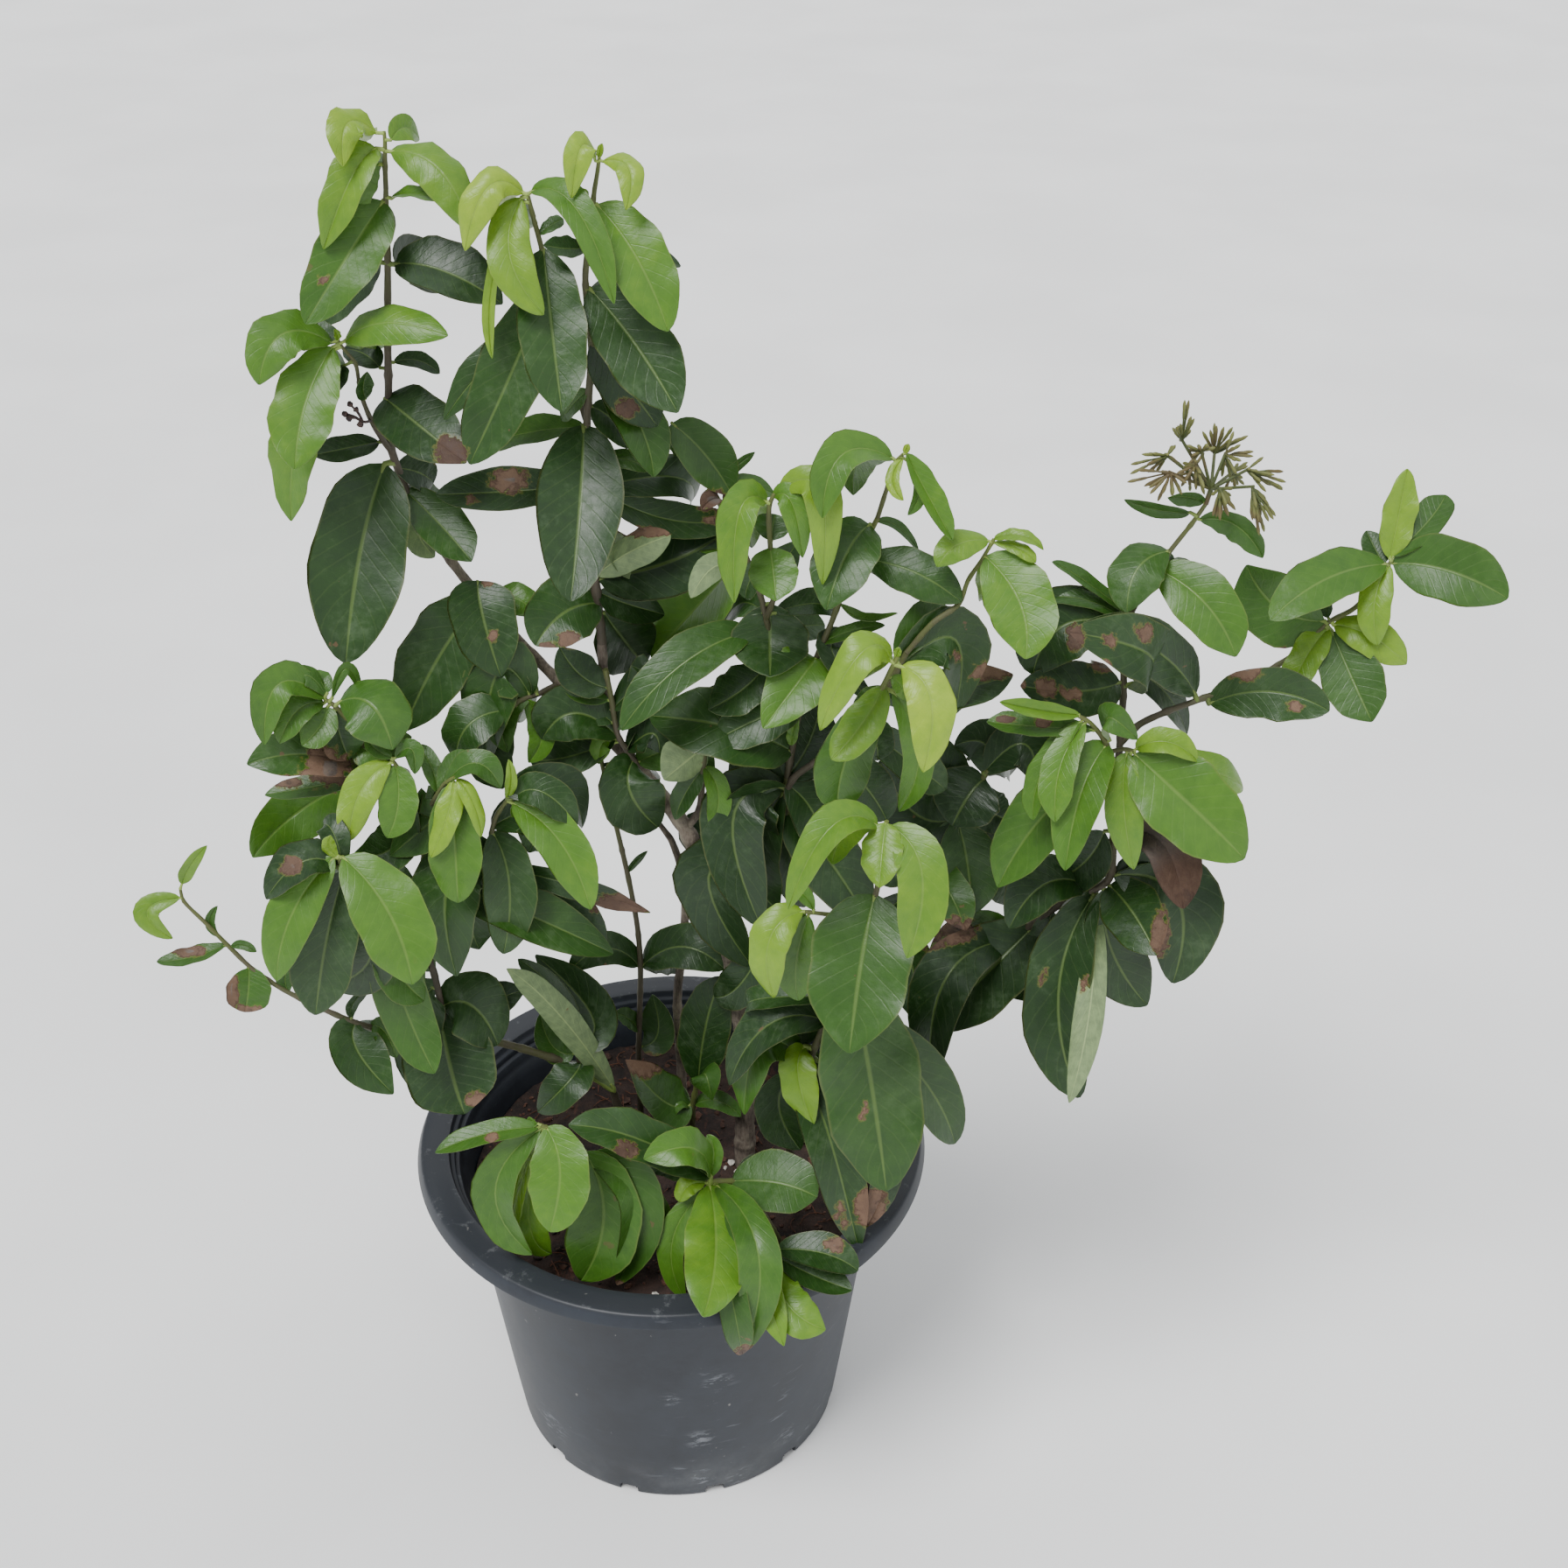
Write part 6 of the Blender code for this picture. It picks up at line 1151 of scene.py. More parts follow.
# Front stem
# It stands in the soil in front, leans toward the eye and ends high over the rim in a light green cluster.
# Its leaves are the broadest of the plant.
shoot("front_leafy_stem", [
    [(.078, -.036, 2.5), (900, 1262, -4.4, 2.4), (930, 1200, -6, 2.2), (965, 1120, -8, 2),
     (985, 1064, -8.8, 1.9), (989, 1052.5, -9, 1.8)]], [
    (975, 1124, 996, 1240, 1013, 1360, 118, 3.6, -4, 8, .2),
    (920, 1196, 912, 1228, 928, 1290, 46, 2.4, 5, 12, .7),
    (914, 1206, 868, 1196, 850, 1274, 58, 2, 20, 10, .35),
    (910, 1226, 890, 1262, 915, 1316, 60, .6, -10, 6, .08),
    (962, 1140, 880, 1140, 848, 1148, 36, -1.6, 35, 5, .12),
    (948, 1168, 880, 1170, 830, 1240, 60, .2, 25, 6, .06),
    (916, 1220, 948, 1300, 985, 1438, 62, 1.4, -10, 8, .1),
    (930, 1210, 1010, 1300, 992, 1412, 46, 1, -15, 6, .05),
    (958, 1150, 1048, 1225, 1096, 1312, 66, .4, -10, 6, .12)])
shoot("front_young_cluster", [
    [(990, 1050, -9, 1.8), (1002, 1018, -9.4, 1.6), (1006, 985, -9.6, 1.4), (1010, 950, -9.8, 1.2),
     (1014, 938, -9.8, 1)],
    [(990, 1049, -9, 1.5), (955, 1046, -9.4, 1.3), (920, 1042, -9.6, 1)]], [
    (1003, 944, 950, 945, 899, 1040, 48, 3, 20, 20, .6),
    (1012, 940, 1008, 975, 1004, 1014, 50, 2.4, 5, 12, .65),
    (1018, 944, 1054, 1000, 1038, 1098, 62, 3.8, -8, 10, .6),
    (1000, 1022, 984, 1102, 972, 1202, 120, 4.4, 5, 8, .3),
    (918, 1042, 880, 1072, 876, 1147, 52, 2.4, 12, 14, .75),
    (924, 1046, 910, 1100, 912, 1146, 44, .6, 5, 10, .4),
    (930, 1040, 915, 1020, 905, 1036, 22, -.6, 20, 20, .5)])

# Stems in the middle
# They fork from short stubs of the old wood and fill the middle of the bush with dark leaves. The shoots
# at their ends are young, and their leaves curl and hang.
shoot("inner_middle_leaves", [
    [(880, 1056, .4, 2.4), (893, 990, 0, 2.2), (897, 935, -.2, 2.1), (900, 888, -.4, 2)]], [
    (896, 900, 838, 935, 870, 1060, 78, 3, 12, 8, .03), (896, 905, 862, 985, 890, 1048, 62, 1, 5, 6, .02),
    (894, 930, 905, 985, 925, 1040, 56, .6, -10, 6, .05),
    (896, 925, 945, 980, 990, 1052, 76, .8, -12, 6, .06),
    (898, 896, 930, 930, 945, 985, 60, 1, -15, 6, .05), (895, 912, 860, 876, 838, 900, 50, -1, 15, 6, .1),
    (888, 1000, 810, 1000, 858, 1118, 76, 1.4, 18, 6, .02),
    (886, 1020, 820, 960, 776, 960, 60, -1.6, 20, 6, .02),
    (884, 1044, 900, 1090, 940, 1130, 60, 1, -15, 6, .04),
    (884, 1050, 850, 1120, 815, 1140, 50, -.6, 20, 6, .03),
    (898, 890, 924, 850, 938, 802, 60, -1.2, 5, 6, .04)])
shoot("upper_middle_leaves", [
    [(896, 925, -.2, 1.8), (885, 885, .9, 1.8), (885, 850, .8, 1.7), (885, 770, -.4, 1.7),
     (872, 690, -1, 1.6), (850, 630, -1, 1.5), (815, 560, 0, 1.3), (790, 510, .6, 1.2),
     (772, 488, .8, 1)]], [
    (768, 484, 806, 520, 836, 566, 62, .8, -15, 10, .2), (866, 668, 888, 652, 912, 618, 40, -1, -10, 8, .1),
    (816, 556, 838, 536, 862, 516, 14, -1, 30, 10, .3),
    (838, 590, 850, 560, 884, 566, 40, -1.6, -30, 5, .3),
    (822, 570, 812, 572, 802, 582, 26, 1.4, 20, 30, .1), (846, 640, 800, 690, 742, 752, 92, -3, 10, 8, .45),
    (842, 650, 815, 648, 790, 682, 34, .4, 160, 5, .3), (872, 700, 845, 690, 818, 720, 40, -2, 30, 5, .2),
    (858, 722, 782, 757, 705, 832, 62, 4, 20, 8, .2), (880, 690, 880, 730, 880, 773, 92, 4.6, 0, 8, .12),
    (886, 700, 935, 690, 958, 706, 36, -1, -30, 8, .1),
    (888, 720, 912, 716, 946, 712, 44, -2.2, -30, 5, .3),
    (876, 760, 846, 790, 810, 808, 60, 1.4, 20, 8, .12),
    (898, 790, 850, 800, 806, 785, 50, -2, 30, 5, .03)])
shoot("curled_middle_shoot", [
    [(875, 706, -.85, 1.6), (884, 684, -2, 1.5), (884, 660, -2.8, 1.5), (880, 620, -3.2, 1.4),
     (879, 580, -3.4, 1.3), (884, 566, -3.4, 1.1), (892, 558, -3.3, .8)]], [
    (876, 574, 845, 585, 839, 689, 48, 2.6, 10, 20, .6),
    (890, 562, 938, 562, 938, 674, 46, 2.4, -15, 20, .7),
    (884, 568, 905, 575, 918, 640, 34, 1.4, -10, 15, .55),
    (880, 626, 884, 655, 887, 686, 57, 2.4, 0, 5, .45), (882, 618, 883, 602, 886, 588, 42, -1.2, 0, 5, .3),
    (876, 640, 858, 662, 852, 684, 30, -1, 20, 5, .08)])
shoot("upper_right_leafy_stem", [
    [(900, 888, -.4, 2), (912, 820, -1, 1.9), (930, 760, -1.4, 1.7), (950, 712, -1.6, 1.6),
     (972, 655, -1.8, 1.5), (996, 606, -1.9, 1.4), (1003, 591.5, -2, 1.3)]], [
    (994, 600, 968, 632, 944, 697, 75, 3.4, 10, 8, .2),
    (1002, 596, 1026, 602, 1052, 632, 14, -.6, -30, 10, .2),
    (990, 640, 1048, 655, 1098, 689, 54, 2, -10, -8, .15),
    (960, 690, 990, 708, 1022, 697, 18, .8, -50, 15, .45),
    (940, 735, 970, 722, 1010, 712, 22, .6, -40, 10, .35),
    (918, 800, 870, 820, 815, 845, 60, 1.2, 10, 5, .1),
    (932, 752, 918, 772, 872, 832, 75, 3.8, 12, 10, .5),
    (906, 860, 838, 832, 742, 818, 88, -.8, 35, 6, .12),
    (912, 815, 906, 838, 905, 852, 14, .4, 10, 15, .55)])
shoot("upper_right_young_shoot", [
    [(1004, 588, -2, 1.3), (1013, 560, -2.4, 1.2), (1022, 530, -2.8, 1), (1032, 519, -3, .8)]], [
    (1020, 524, 962, 520, 940, 592, 50, 2.6, 20, 15, .45),
    (1032, 524, 1020, 548, 1032, 572, 18, 1.4, 10, 20, .85),
    (1036, 526, 1052, 556, 1037, 588, 20, .6, -20, 15, .45),
    (1036, 518, 1062, 568, 1092, 616, 34, 1.6, -30, 25, .5),
    (1034, 518, 1036, 513, 1038, 508, 9, .2, 0, 20, .85)])
shoot("right_of_middle_leaves", [
    [(898, 902, -.3, 1.9), (908, 888, -.8, 1.9), (930, 872, -1.6, 1.8), (975, 838, -2.6, 1.7),
     (1010, 792, -3.4, 1.6), (1036, 746, -3.6, 1.5)]], [
    (1024, 756, 1068, 708, 1104, 752, 52, -1.6, -30, 8, .35),
    (1020, 770, 1090, 730, 1092, 818, 76, -1, -15, 6, .1),
    (1000, 806, 950, 742, 985, 738, 40, -2, 20, 8, .04),
    (990, 820, 1000, 842, 1004, 870, 44, .4, 0, 6, .06),
    (1005, 800, 1085, 790, 1158, 768, 60, -2.6, -30, 8, .08),
    (985, 830, 1040, 870, 1086, 905, 50, -1, -10, 8, .12),
    (950, 858, 990, 900, 1012, 936, 60, .2, -5, 6, .06)])
shoot("upper_right_small_shoot", [
    [(1040, 742, -3.6, 1.5), (1066, 712, -3.4, 1.5), (1096, 690, -3.2, 1.3), (1106, 664, -3.1, 1.2),
     (1122, 640, -3, 1.1), (1136, 616, -3, .9)]], [
    (1130, 618, 1095, 622, 1072, 648, 38, 1.6, 20, -12, .6),
    (1136, 616, 1166, 612, 1195, 626, 18, .8, -30, 15, .7),
    (1136, 620, 1166, 628, 1184, 642, 18, 1, -30, 15, .7),
    (1126, 636, 1166, 690, 1172, 752, 82, 3.6, -8, 10, .6)])
shoot("middle_young_cluster", [
    [(992, 816, -3, 1.6), (1001, 806, -5, 1.6), (1008, 788, -6.6, 1.5), (1018, 766, -7, 1.3),
     (1026, 750, -7, 1)]], [
    (1018, 756, 985, 745, 928, 836, 50, 3, 18, 15, .75),
    (1010, 784, 985, 828, 950, 868, 50, 1.6, 10, 12, .65),
    (1030, 762, 1064, 800, 1056, 884, 58, 3, -10, 12, .9),
    (1002, 800, 966, 870, 957, 930, 66, 1, 8, 12, .4),
    (1020, 790, 1050, 860, 1027, 931, 40, 1, -10, 15, .45),
    (1024, 752, 1026, 745, 1028, 741, 10, .3, 0, 20, .8),
    (1018, 774, 1030, 784, 1034, 800, 22, .2, -20, 10, .55)])

# Short shoots on the old wood
# Small side shoots that break from the upper limb and from a stub, with a few leaves each, most of them in
# the shade and dull.
shoot("inner_left_leaves", [
    [(738, 888, .7, 2), (720, 862, .4, 1.8), (706, 840, .2, 1.6), (699, 800, 0, 1.5),
     (692, 765, -.2, 1.5)]], [
    (702, 832, 730, 800, 738, 760, 40, -1, -20, 6, .12),
    (698, 812, 742, 770, 716, 800, 50, -1.4, -20, 6, .12),
    (716, 858, 745, 838, 752, 862, 54, 1, -10, 6, .02), (724, 868, 720, 905, 752, 946, 76, .6, -8, 6, .06),
    (728, 872, 780, 860, 800, 905, 60, .2, -15, 8, .3), (706, 842, 655, 815, 618, 848, 70, 1, 15, 8, .1),
    (696, 800, 660, 790, 640, 762, 26, -1, 20, 12, .3), (700, 826, 672, 806, 640, 790, 43, -.8, 10, 8, .08),
    (694, 786, 664, 772, 640, 740, 48, -.6, 10, 6, .06),
    (700, 850, 688, 850, 684, 874, 26, .6, 10, 12, .55),
    (704, 844, 650, 865, 606, 868, 50, -1.4, 20, 5, .1)])
shoot("left_of_branch_leaves", [
    [(640, 780, 1.9, 1.8), (618, 792, .8, 1.6), (592, 802, 0, 1.5), (575, 818, -.6, 1.3)]], [
    (612, 790, 575, 810, 580, 862, 44, 1.4, 10, 15, .3),
    (606, 796, 568, 770, 548, 880, 76, .4, 15, 8, .12),
    (616, 792, 588, 760, 586, 736, 22, -1.6, 20, 10, .45),
    (580, 812, 536, 828, 518, 872, 60, .6, 20, 6, .12),
    (600, 800, 620, 835, 604, 872, 34, .8, 10, 15, .45),
    (590, 806, 560, 850, 575, 900, 56, -.4, 5, 6, .15),
    (622, 792, 640, 840, 625, 858, 40, -1.2, -20, 8, .15)])
shoot("branch_end_leaves", [
    [(562, 699, 3.1, 1.6), (556, 690, 2.4, 1.5), (548, 668, 2, 1.3)]], [
    (546, 664, 552, 705, 572, 774, 78, 2.6, -5, 8, .1), (552, 686, 505, 745, 458, 838, 88, 2.4, 12, 8, .1),
    (560, 690, 590, 684, 612, 706, 40, .8, -20, 6, .5)])
shoot("middle_olive_leaves", [
    [(803, 888, -.4, 1.7), (806, 850, -.6, 1.4)]], [
    (805, 876, 821, 908, 812, 946, 30, .6, -10, 8, .5), (803, 880, 785, 904, 768, 938, 30, .4, 10, 8, .15),
    (806, 852, 786, 868, 758, 890, 60, 1, 150, 8, .3)])

# Stems on the left, low down
# One stem from the soil bends to the left over the rim and rises in several shoots. A thin branch runs on
# beyond them, nearly bare, with small worn leaves at its end.
shoot("lower_left_leaves", [
    [(-.03, -.008, 2.6), (700, 1245, -1, 2.5), (664, 1222, -1.8, 2.4), (630, 1209, -2.4, 2.4),
     (596, 1198, -3, 2.3), (552, 1186, -4, 2.2), (508, 1168, -4.8, 2.1), (484, 1178, -5.2, 2)],
    [(508, 1166, -4.8, 2), (498, 1120, -4.4, 2), (480, 1050, -4, 1.9), (486, 966, -3.4, 1.8)]], [
    (503, 1160, 514, 1217, 530, 1274, 108, 3.2, 0, 8, .06),
    (506, 1150, 540, 1150, 572, 1195, 84, .8, -15, 6, .05),
    (500, 1130, 480, 1160, 478, 1262, 60, 1.4, 10, 6, .05),
    (496, 1110, 470, 1090, 480, 1130, 40, .2, 15, 6, .25),
    (545, 1183, 560, 1150, 600, 1132, 40, -1.6, -20, 6, .04),
    (482, 1030, 455, 1000, 440, 985, 24, -1.4, 10, 6, .1),
    (484, 1000, 590, 1040, 696, 1090, 64, -1.6, -20, 6, .2)])
shoot("left_young_shoot", [
    [(486, 962, -3.4, 1.8), (468, 915, -4.2, 1.6), (456, 880, -4.6, 1.3), (448, 868, -4.8, 1)],
    [(480, 944, -3.6, 1.6), (496, 915, -4.6, 1.4), (508, 896, -5.2, 1.2), (520, 888, -5.6, .9)]], [
    (448, 866, 432, 858, 418, 844, 20, -.6, 20, 12, .35),
    (452, 866, 470, 856, 474, 884, 24, .4, -15, 15, .35),
    (446, 872, 412, 905, 399, 962, 44, 2.4, 12, 12, .75),
    (452, 874, 455, 918, 443, 958, 46, 2.8, 0, 8, .45), (466, 905, 452, 965, 402, 978, 56, .8, 10, 6, .12),
    (486, 932, 508, 925, 440, 978, 70, .8, 25, 6, .22),
    (500, 906, 492, 874, 474, 850, 24, -1.6, 10, 12, .35),
    (504, 902, 516, 878, 532, 858, 26, -1.8, -20, 8, .35),
    (510, 894, 545, 872, 574, 902, 34, .4, -25, 8, .35), (518, 892, 512, 930, 492, 980, 32, 2, 10, 14, .8),
    (522, 890, 540, 915, 555, 957, 22, 1.4, -10, 14, .8),
    (514, 896, 520, 965, 522, 1034, 62, 3.2, 0, 10, .5)])
shoot("far_left_shoot", [
    [(477, 938, -3.8, 1.8), (455, 912, -3.2, 1.8), (432, 880, -2.8, 1.7), (404, 832, -3.2, 1.5),
     (384, 808, -3.4, 1.3), (370, 798, -3.5, 1)]], [
    (372, 798, 318, 782, 302, 852, 46, 2.4, 15, 12, .45),
    (372, 794, 352, 772, 338, 782, 26, .4, 20, -20, .35),
    (374, 792, 366, 776, 348, 778, 24, -1, 10, -20, .35),
    (370, 804, 340, 812, 318, 850, 40, 2, 20, 15, .4),
    (374, 808, 366, 830, 345, 852, 40, 1.6, 10, 15, .42),
    (382, 812, 390, 845, 400, 868, 50, .6, -5, 8, .15), (380, 798, 396, 764, 412, 796, 16, -1, 0, 10, .4),
    (388, 802, 425, 806, 450, 858, 80, 2.2, -15, -10, .4),
    (412, 850, 430, 858, 470, 842, 50, .6, -25, 6, .4), (424, 880, 352, 862, 283, 872, 56, 3, 20, 8, .2),
    (420, 884, 362, 898, 302, 905, 34, 1.6, 30, 8, .35),
    (416, 890, 345, 925, 290, 978, 68, 2.8, 12, 8, .4)])
shoot("upright_bud_shoot", [
    [(482, 1034, -3.9, 1.8), (530, 1012, -3.2, 1.8), (558, 988, -3.4, 1.7), (560, 965, -3.8, 1.6),
     (566, 935, -4.4, 1.4), (580, 914, -4.8, 1)]], [
    (580, 912, 584, 893, 583, 871, 15, .6, 0, 20, .75),
    (586, 918, 640, 962, 675, 1040, 58, 2.8, -10, 10, .55),
    (578, 908, 640, 900, 671, 947, 56, -1.6, -20, 8, .05),
    (588, 912, 620, 905, 662, 944, 44, .2, -10, 6, .1),
    (562, 945, 610, 930, 606, 978, 60, .4, -10, 6, .06),
    (562, 950, 582, 1010, 576, 1094, 62, 2.4, 0, 6, .15),
    (564, 972, 512, 1010, 520, 1118, 84, 2.4, 10, 8, .15),
    (566, 984, 540, 1040, 548, 1088, 50, .4, 5, 6, .1),
    (574, 995, 650, 1010, 742, 1046, 34, 1.6, 30, 8, .04),
    (576, 999, 640, 1040, 690, 1086, 62, .6, -20, 6, .1)])
shoot("front_left_shoot", [
    [(481, 1060, -4, 1.9), (455, 1064, -5.6, 1.9), (432, 1050, -6.6, 1.8), (415, 1030, -7.2, 1.8),
     (395, 1004, -7.8, 1.5), (388, 980, -8.2, 1.2)]], [
    (386, 978, 376, 968, 378, 955, 17, .4, 0, 15, .75),
    (382, 980, 334, 1044, 312, 1124, 60, 3, 15, 14, .5),
    (392, 980, 445, 1044, 472, 1127, 86, 3.6, -8, 10, .55),
    (393, 996, 372, 1080, 360, 1165, 74, 2, 10, 10, .08),
    (400, 1010, 425, 1090, 366, 1136, 66, 0, 10, 6, .05),
    (385, 990, 345, 985, 299, 1028, 50, .8, 25, 8, .05),
    (386, 992, 350, 978, 320, 990, 34, -1.6, 20, 8, .05),
    (392, 990, 380, 950, 366, 942, 34, -1.6, 10, 6, .04),
    (430, 1050, 462, 1150, 497, 1226, 62, 2.2, -8, 10, .3),
    (434, 1056, 455, 1110, 486, 1140, 60, .2, -20, 6, .3)])
shoot("low_left_branch", [
    [(480, 1178, -5.2, 2), (440, 1178, -6, 1.8), (402, 1167, -6.4, 1.6), (360, 1149, -6.4, 1.5),
     (322, 1130, -6.2, 1.4), (287, 1106, -6, 1.3), (258, 1078, -5.8, 1.3), (232, 1052, -5.6, 1.2),
     (210, 1030, -5.4, 1), (206, 1016, -5.4, .8)]], [
    (208, 1010, 216, 992, 232, 971, 18, .6, 10, 15, .65),
    (206, 1026, 168, 1042, 194, 1076, 32, 1.4, 10, 20, .65),
    (258, 1080, 218, 1094, 179, 1098, 24, .6, 30, 10, .3),
    (284, 1106, 284, 1130, 280, 1158, 52, 1.2, 0, 10, .35),
    (250, 1070, 240, 1054, 248, 1036, 12, -.6, 0, 15, .25),
    (264, 1082, 278, 1080, 293, 1088, 12, .4, 0, 15, .25),
    (402, 1163, 404, 1146, 424, 1128, 14, .4, 10, 20, .05),
    (330, 1134, 326, 1116, 336, 1094, 22, -.8, 0, 10, .2),
    (408, 1168, 408, 1200, 450, 1250, 62, 2.4, -5, 8, .15),
    (424, 1172, 440, 1180, 453, 1210, 30, .8, -10, 8, .3)])

# Stems and shoots over the soil
# A thin straight stem, small sprigs close to the soil, and three short shoots that lean out over the rim
# in front, with young leaves hanging down outside the pot.
shoot("thin_upright_stem", [
    [(-.0216, .0245, 1.9), (730, 1201, 2, 1.8), (732, 1105, 2, 1.7), (728, 1056, 2, 1.6),
     (717, 998, 2, 1.6), (697, 914, 1.8, 1.4), (686, 864, 1.6, 1.2)]], [
    (730, 1104, 694, 1084, 652, 1108, 40, 1, 15, 8, .08),
    (734, 1104, 780, 1082, 828, 1108, 56, 1, -15, 8, .06),
    (718, 996, 728, 984, 741, 972, 9, .6, 0, 20, .1), (731, 1178, 718, 1164, 703, 1158, 22, .6, 20, 8, .2),
    (733, 1196, 752, 1180, 745, 1138, 44, -1, -20, 8, .1),
    (687, 868, 672, 862, 664, 858, 8, -.6, 0, 15, .05), (688, 874, 700, 876, 706, 884, 8, .4, 0, 15, .05)])
shoot("pot_middle_leaves", [
    [(.018, .012, 2), (792, 1290, .6, 1.9), (792, 1262, .2, 1.8), (796, 1240, 0, 1.6)]], [
    (798, 1236, 806, 1175, 822, 1118, 62, -.8, -10, 6, .02),
    (796, 1240, 806, 1228, 812, 1258, 36, 1.8, -20, 8, .25),
    (790, 1262, 758, 1258, 724, 1212, 60, 1.4, 20, 8, .25),
    (794, 1262, 820, 1258, 846, 1276, 24, .8, -20, 10, .3),
    (790, 1266, 776, 1262, 764, 1279, 16, .8, 30, 10, .35)])
shoot("pot_left_leaves", [
    [(664, 1222, -1.8, 1.8), (662, 1212, -2, 1.6), (658, 1196, -2.1, 1.4)]], [
    (655, 1196, 640, 1140, 592, 1096, 38, -1.8, -30, 8, .12),
    (660, 1196, 676, 1160, 612, 1094, 60, -2.6, -10, 6, .03),
    (656, 1204, 632, 1196, 618, 1160, 36, -.6, 10, 8, .25),
    (664, 1214, 650, 1236, 612, 1272, 50, .8, 15, 6, .06),
    (702, 1246, 645, 1166, 574, 1094, 36, 2.8, 178, 10, .2)])
shoot("front_rim_left_shoot", [
    [(-.05, -.06, 2.2), (688, 1352, -7, 2), (668, 1320, -8, 1.8), (642, 1296, -9, 1.5),
     (618, 1286, -9.4, 1.2)]], [
    (616, 1288, 555, 1296, 496, 1316, 32, 1.2, 30, 10, .35),
    (624, 1288, 640, 1340, 626, 1410, 72, 3.4, 0, 12, .5),
    (618, 1290, 566, 1360, 606, 1438, 52, 2.6, 15, 12, .35),
    (620, 1294, 604, 1390, 628, 1438, 44, 1.2, 10, 12, .6),
    (616, 1296, 586, 1380, 584, 1424, 24, 1.4, 20, 15, .7),
    (668, 1316, 690, 1390, 664, 1470, 88, 3.4, 0, 8, .38),
    (672, 1322, 730, 1370, 706, 1472, 56, 1.4, -15, 8, .3),
    (676, 1326, 748, 1378, 762, 1462, 30, 1, -30, 8, .45),
    (614, 1284, 608, 1284, 605, 1276, 12, -.4, 0, 10, .4)])
shoot("front_rim_middle_shoot", [
    [(.04, -.07, 2.4), (850, 1352, -8, 2.2), (832, 1350, -8.6, 1.8), (812, 1350, -9, 1.4)]], [
    (812, 1346, 730, 1302, 650, 1284, 60, .6, 20, 8, .15),
    (812, 1344, 790, 1312, 735, 1326, 48, 2.2, 25, 8, .45),
    (810, 1346, 816, 1318, 808, 1298, 22, -.6, 0, 12, .45),
    (806, 1352, 786, 1356, 776, 1374, 26, 1, 10, 14, .7),
    (811, 1354, 818, 1430, 805, 1502, 74, 4, 0, 10, .6),
    (806, 1360, 768, 1420, 782, 1488, 36, 2.8, 15, 14, .5),
    (818, 1354, 866, 1430, 852, 1540, 52, 2.6, -15, 10, .4),
    (836, 1350, 890, 1352, 934, 1368, 74, 1.6, -15, 8, .22),
    (814, 1358, 836, 1480, 850, 1552, 38, 3.4, 0, 10, .3)])
shoot("front_rim_right_shoot", [
    [(.072, -.082, 2), (872, 1388, -10, 1.9), (876, 1412, -11.4, 1.7), (886, 1432, -12, 1.3)]], [
    (888, 1428, 940, 1432, 981, 1452, 46, 1, -20, 8, .06),
    (888, 1436, 930, 1458, 974, 1474, 40, 1.4, -20, 8, .08),
    (888, 1440, 900, 1490, 944, 1520, 52, 2.2, -10, 10, .65),
    (884, 1438, 878, 1474, 896, 1538, 36, 3.6, 5, 14, .65),
    (884, 1438, 876, 1462, 876, 1498, 16, 1.2, 10, 14, .6)])


# Flower head
# Flat cluster of slim olive-brown buds, each on its own thin stalk. The stalks fan from a dozen short forks
# that part at the top of the right-hand stem.
HEAD_BASE = (1380, 573, 0)
HEAD_FORK = (1385, 556, 0)
# Each fork: where its stalks part, then the tips of its buds, as picture position and depth (cm)
HEAD_FORKS = [
    ((1351, 503, 1.0), [(1354, 457, 1.2), (1365, 478, .6), (1342, 493, 1.6), (1349, 484, .2)]),
    ((1388, 518, 1.5), [(1388, 483, 1.8), (1383, 491, 1.2), (1409, 488, 1.0), (1418, 500, 1.7)]),
    ((1400, 519, .5), [(1418, 508, .2), (1433, 516, .4), (1413, 542, -.2), (1408, 552, .6)]),
    ((1425, 537, 0), [(1467, 539, .4), (1457, 543, -.3), (1441, 551, -.6), (1466, 560, .2)]),
    ((1431, 556, -1.2), [(1439, 612, -1.4), (1445, 608, -1.0), (1450, 596, -1.5), (1458, 590, -1.1),
                         (1434, 594, -1.8)]),
    ((1334, 521, .5), [(1292, 531, .8), (1317, 518, .2), (1312, 540, -.1), (1340, 509, 1.0)]),
    ((1338, 540, -1.0), [(1288, 551, -.8), (1313, 558, -1.3), (1323, 573, -1.0), (1341, 566, -1.6),
                         (1349, 561, -.7)]),
    ((1366, 532, -.5), [(1354, 549, -.9), (1367, 560, -.4), (1372, 541, -1.2), (1352, 534, 0)]),
    ((1394, 558, -1.4), [(1386, 590, -1.6), (1396, 588, -1.1), (1404, 590, -1.9), (1412, 583, -1.3),
                         (1407, 567, -.9)]),
    ((1373, 516, .4), [(1362, 521, .1), (1369, 508, .8), (1381, 508, .2), (1361, 512, .9)]),
    ((1360, 540, 2.2), [(1344, 528, 2.8), (1350, 556, 2.9), (1366, 522, 3.0), (1371, 556, 2.6)]),
    ((1408, 540, 2.2), [(1426, 528, 2.8), (1422, 554, 2.8), (1404, 524, 3.0), (1400, 560, 2.7)]),
]
BUD_LENGTH = 0.010
BUD_R = 0.001
# How far along a bud, and how thick it is there, as shares of its length and radius
BUD_STEPS = ((0, .55), (.12, .75), (.30, .85), (.50, .80), (.66, .95), (.80, .85), (.92, .5), (1, .12))
BUD_STALK = [0.0007, 0.0005, 0.0005]
FORK_STALK = [0.0009, 0.0008, 0.0009]
MAIN_STALK = [0.0014, 0.0013, 0.001]
STALK_STEP = 0.002
shape = bmesh.new()
ripe_layer = shape.verts.layers.float.new("ripe")


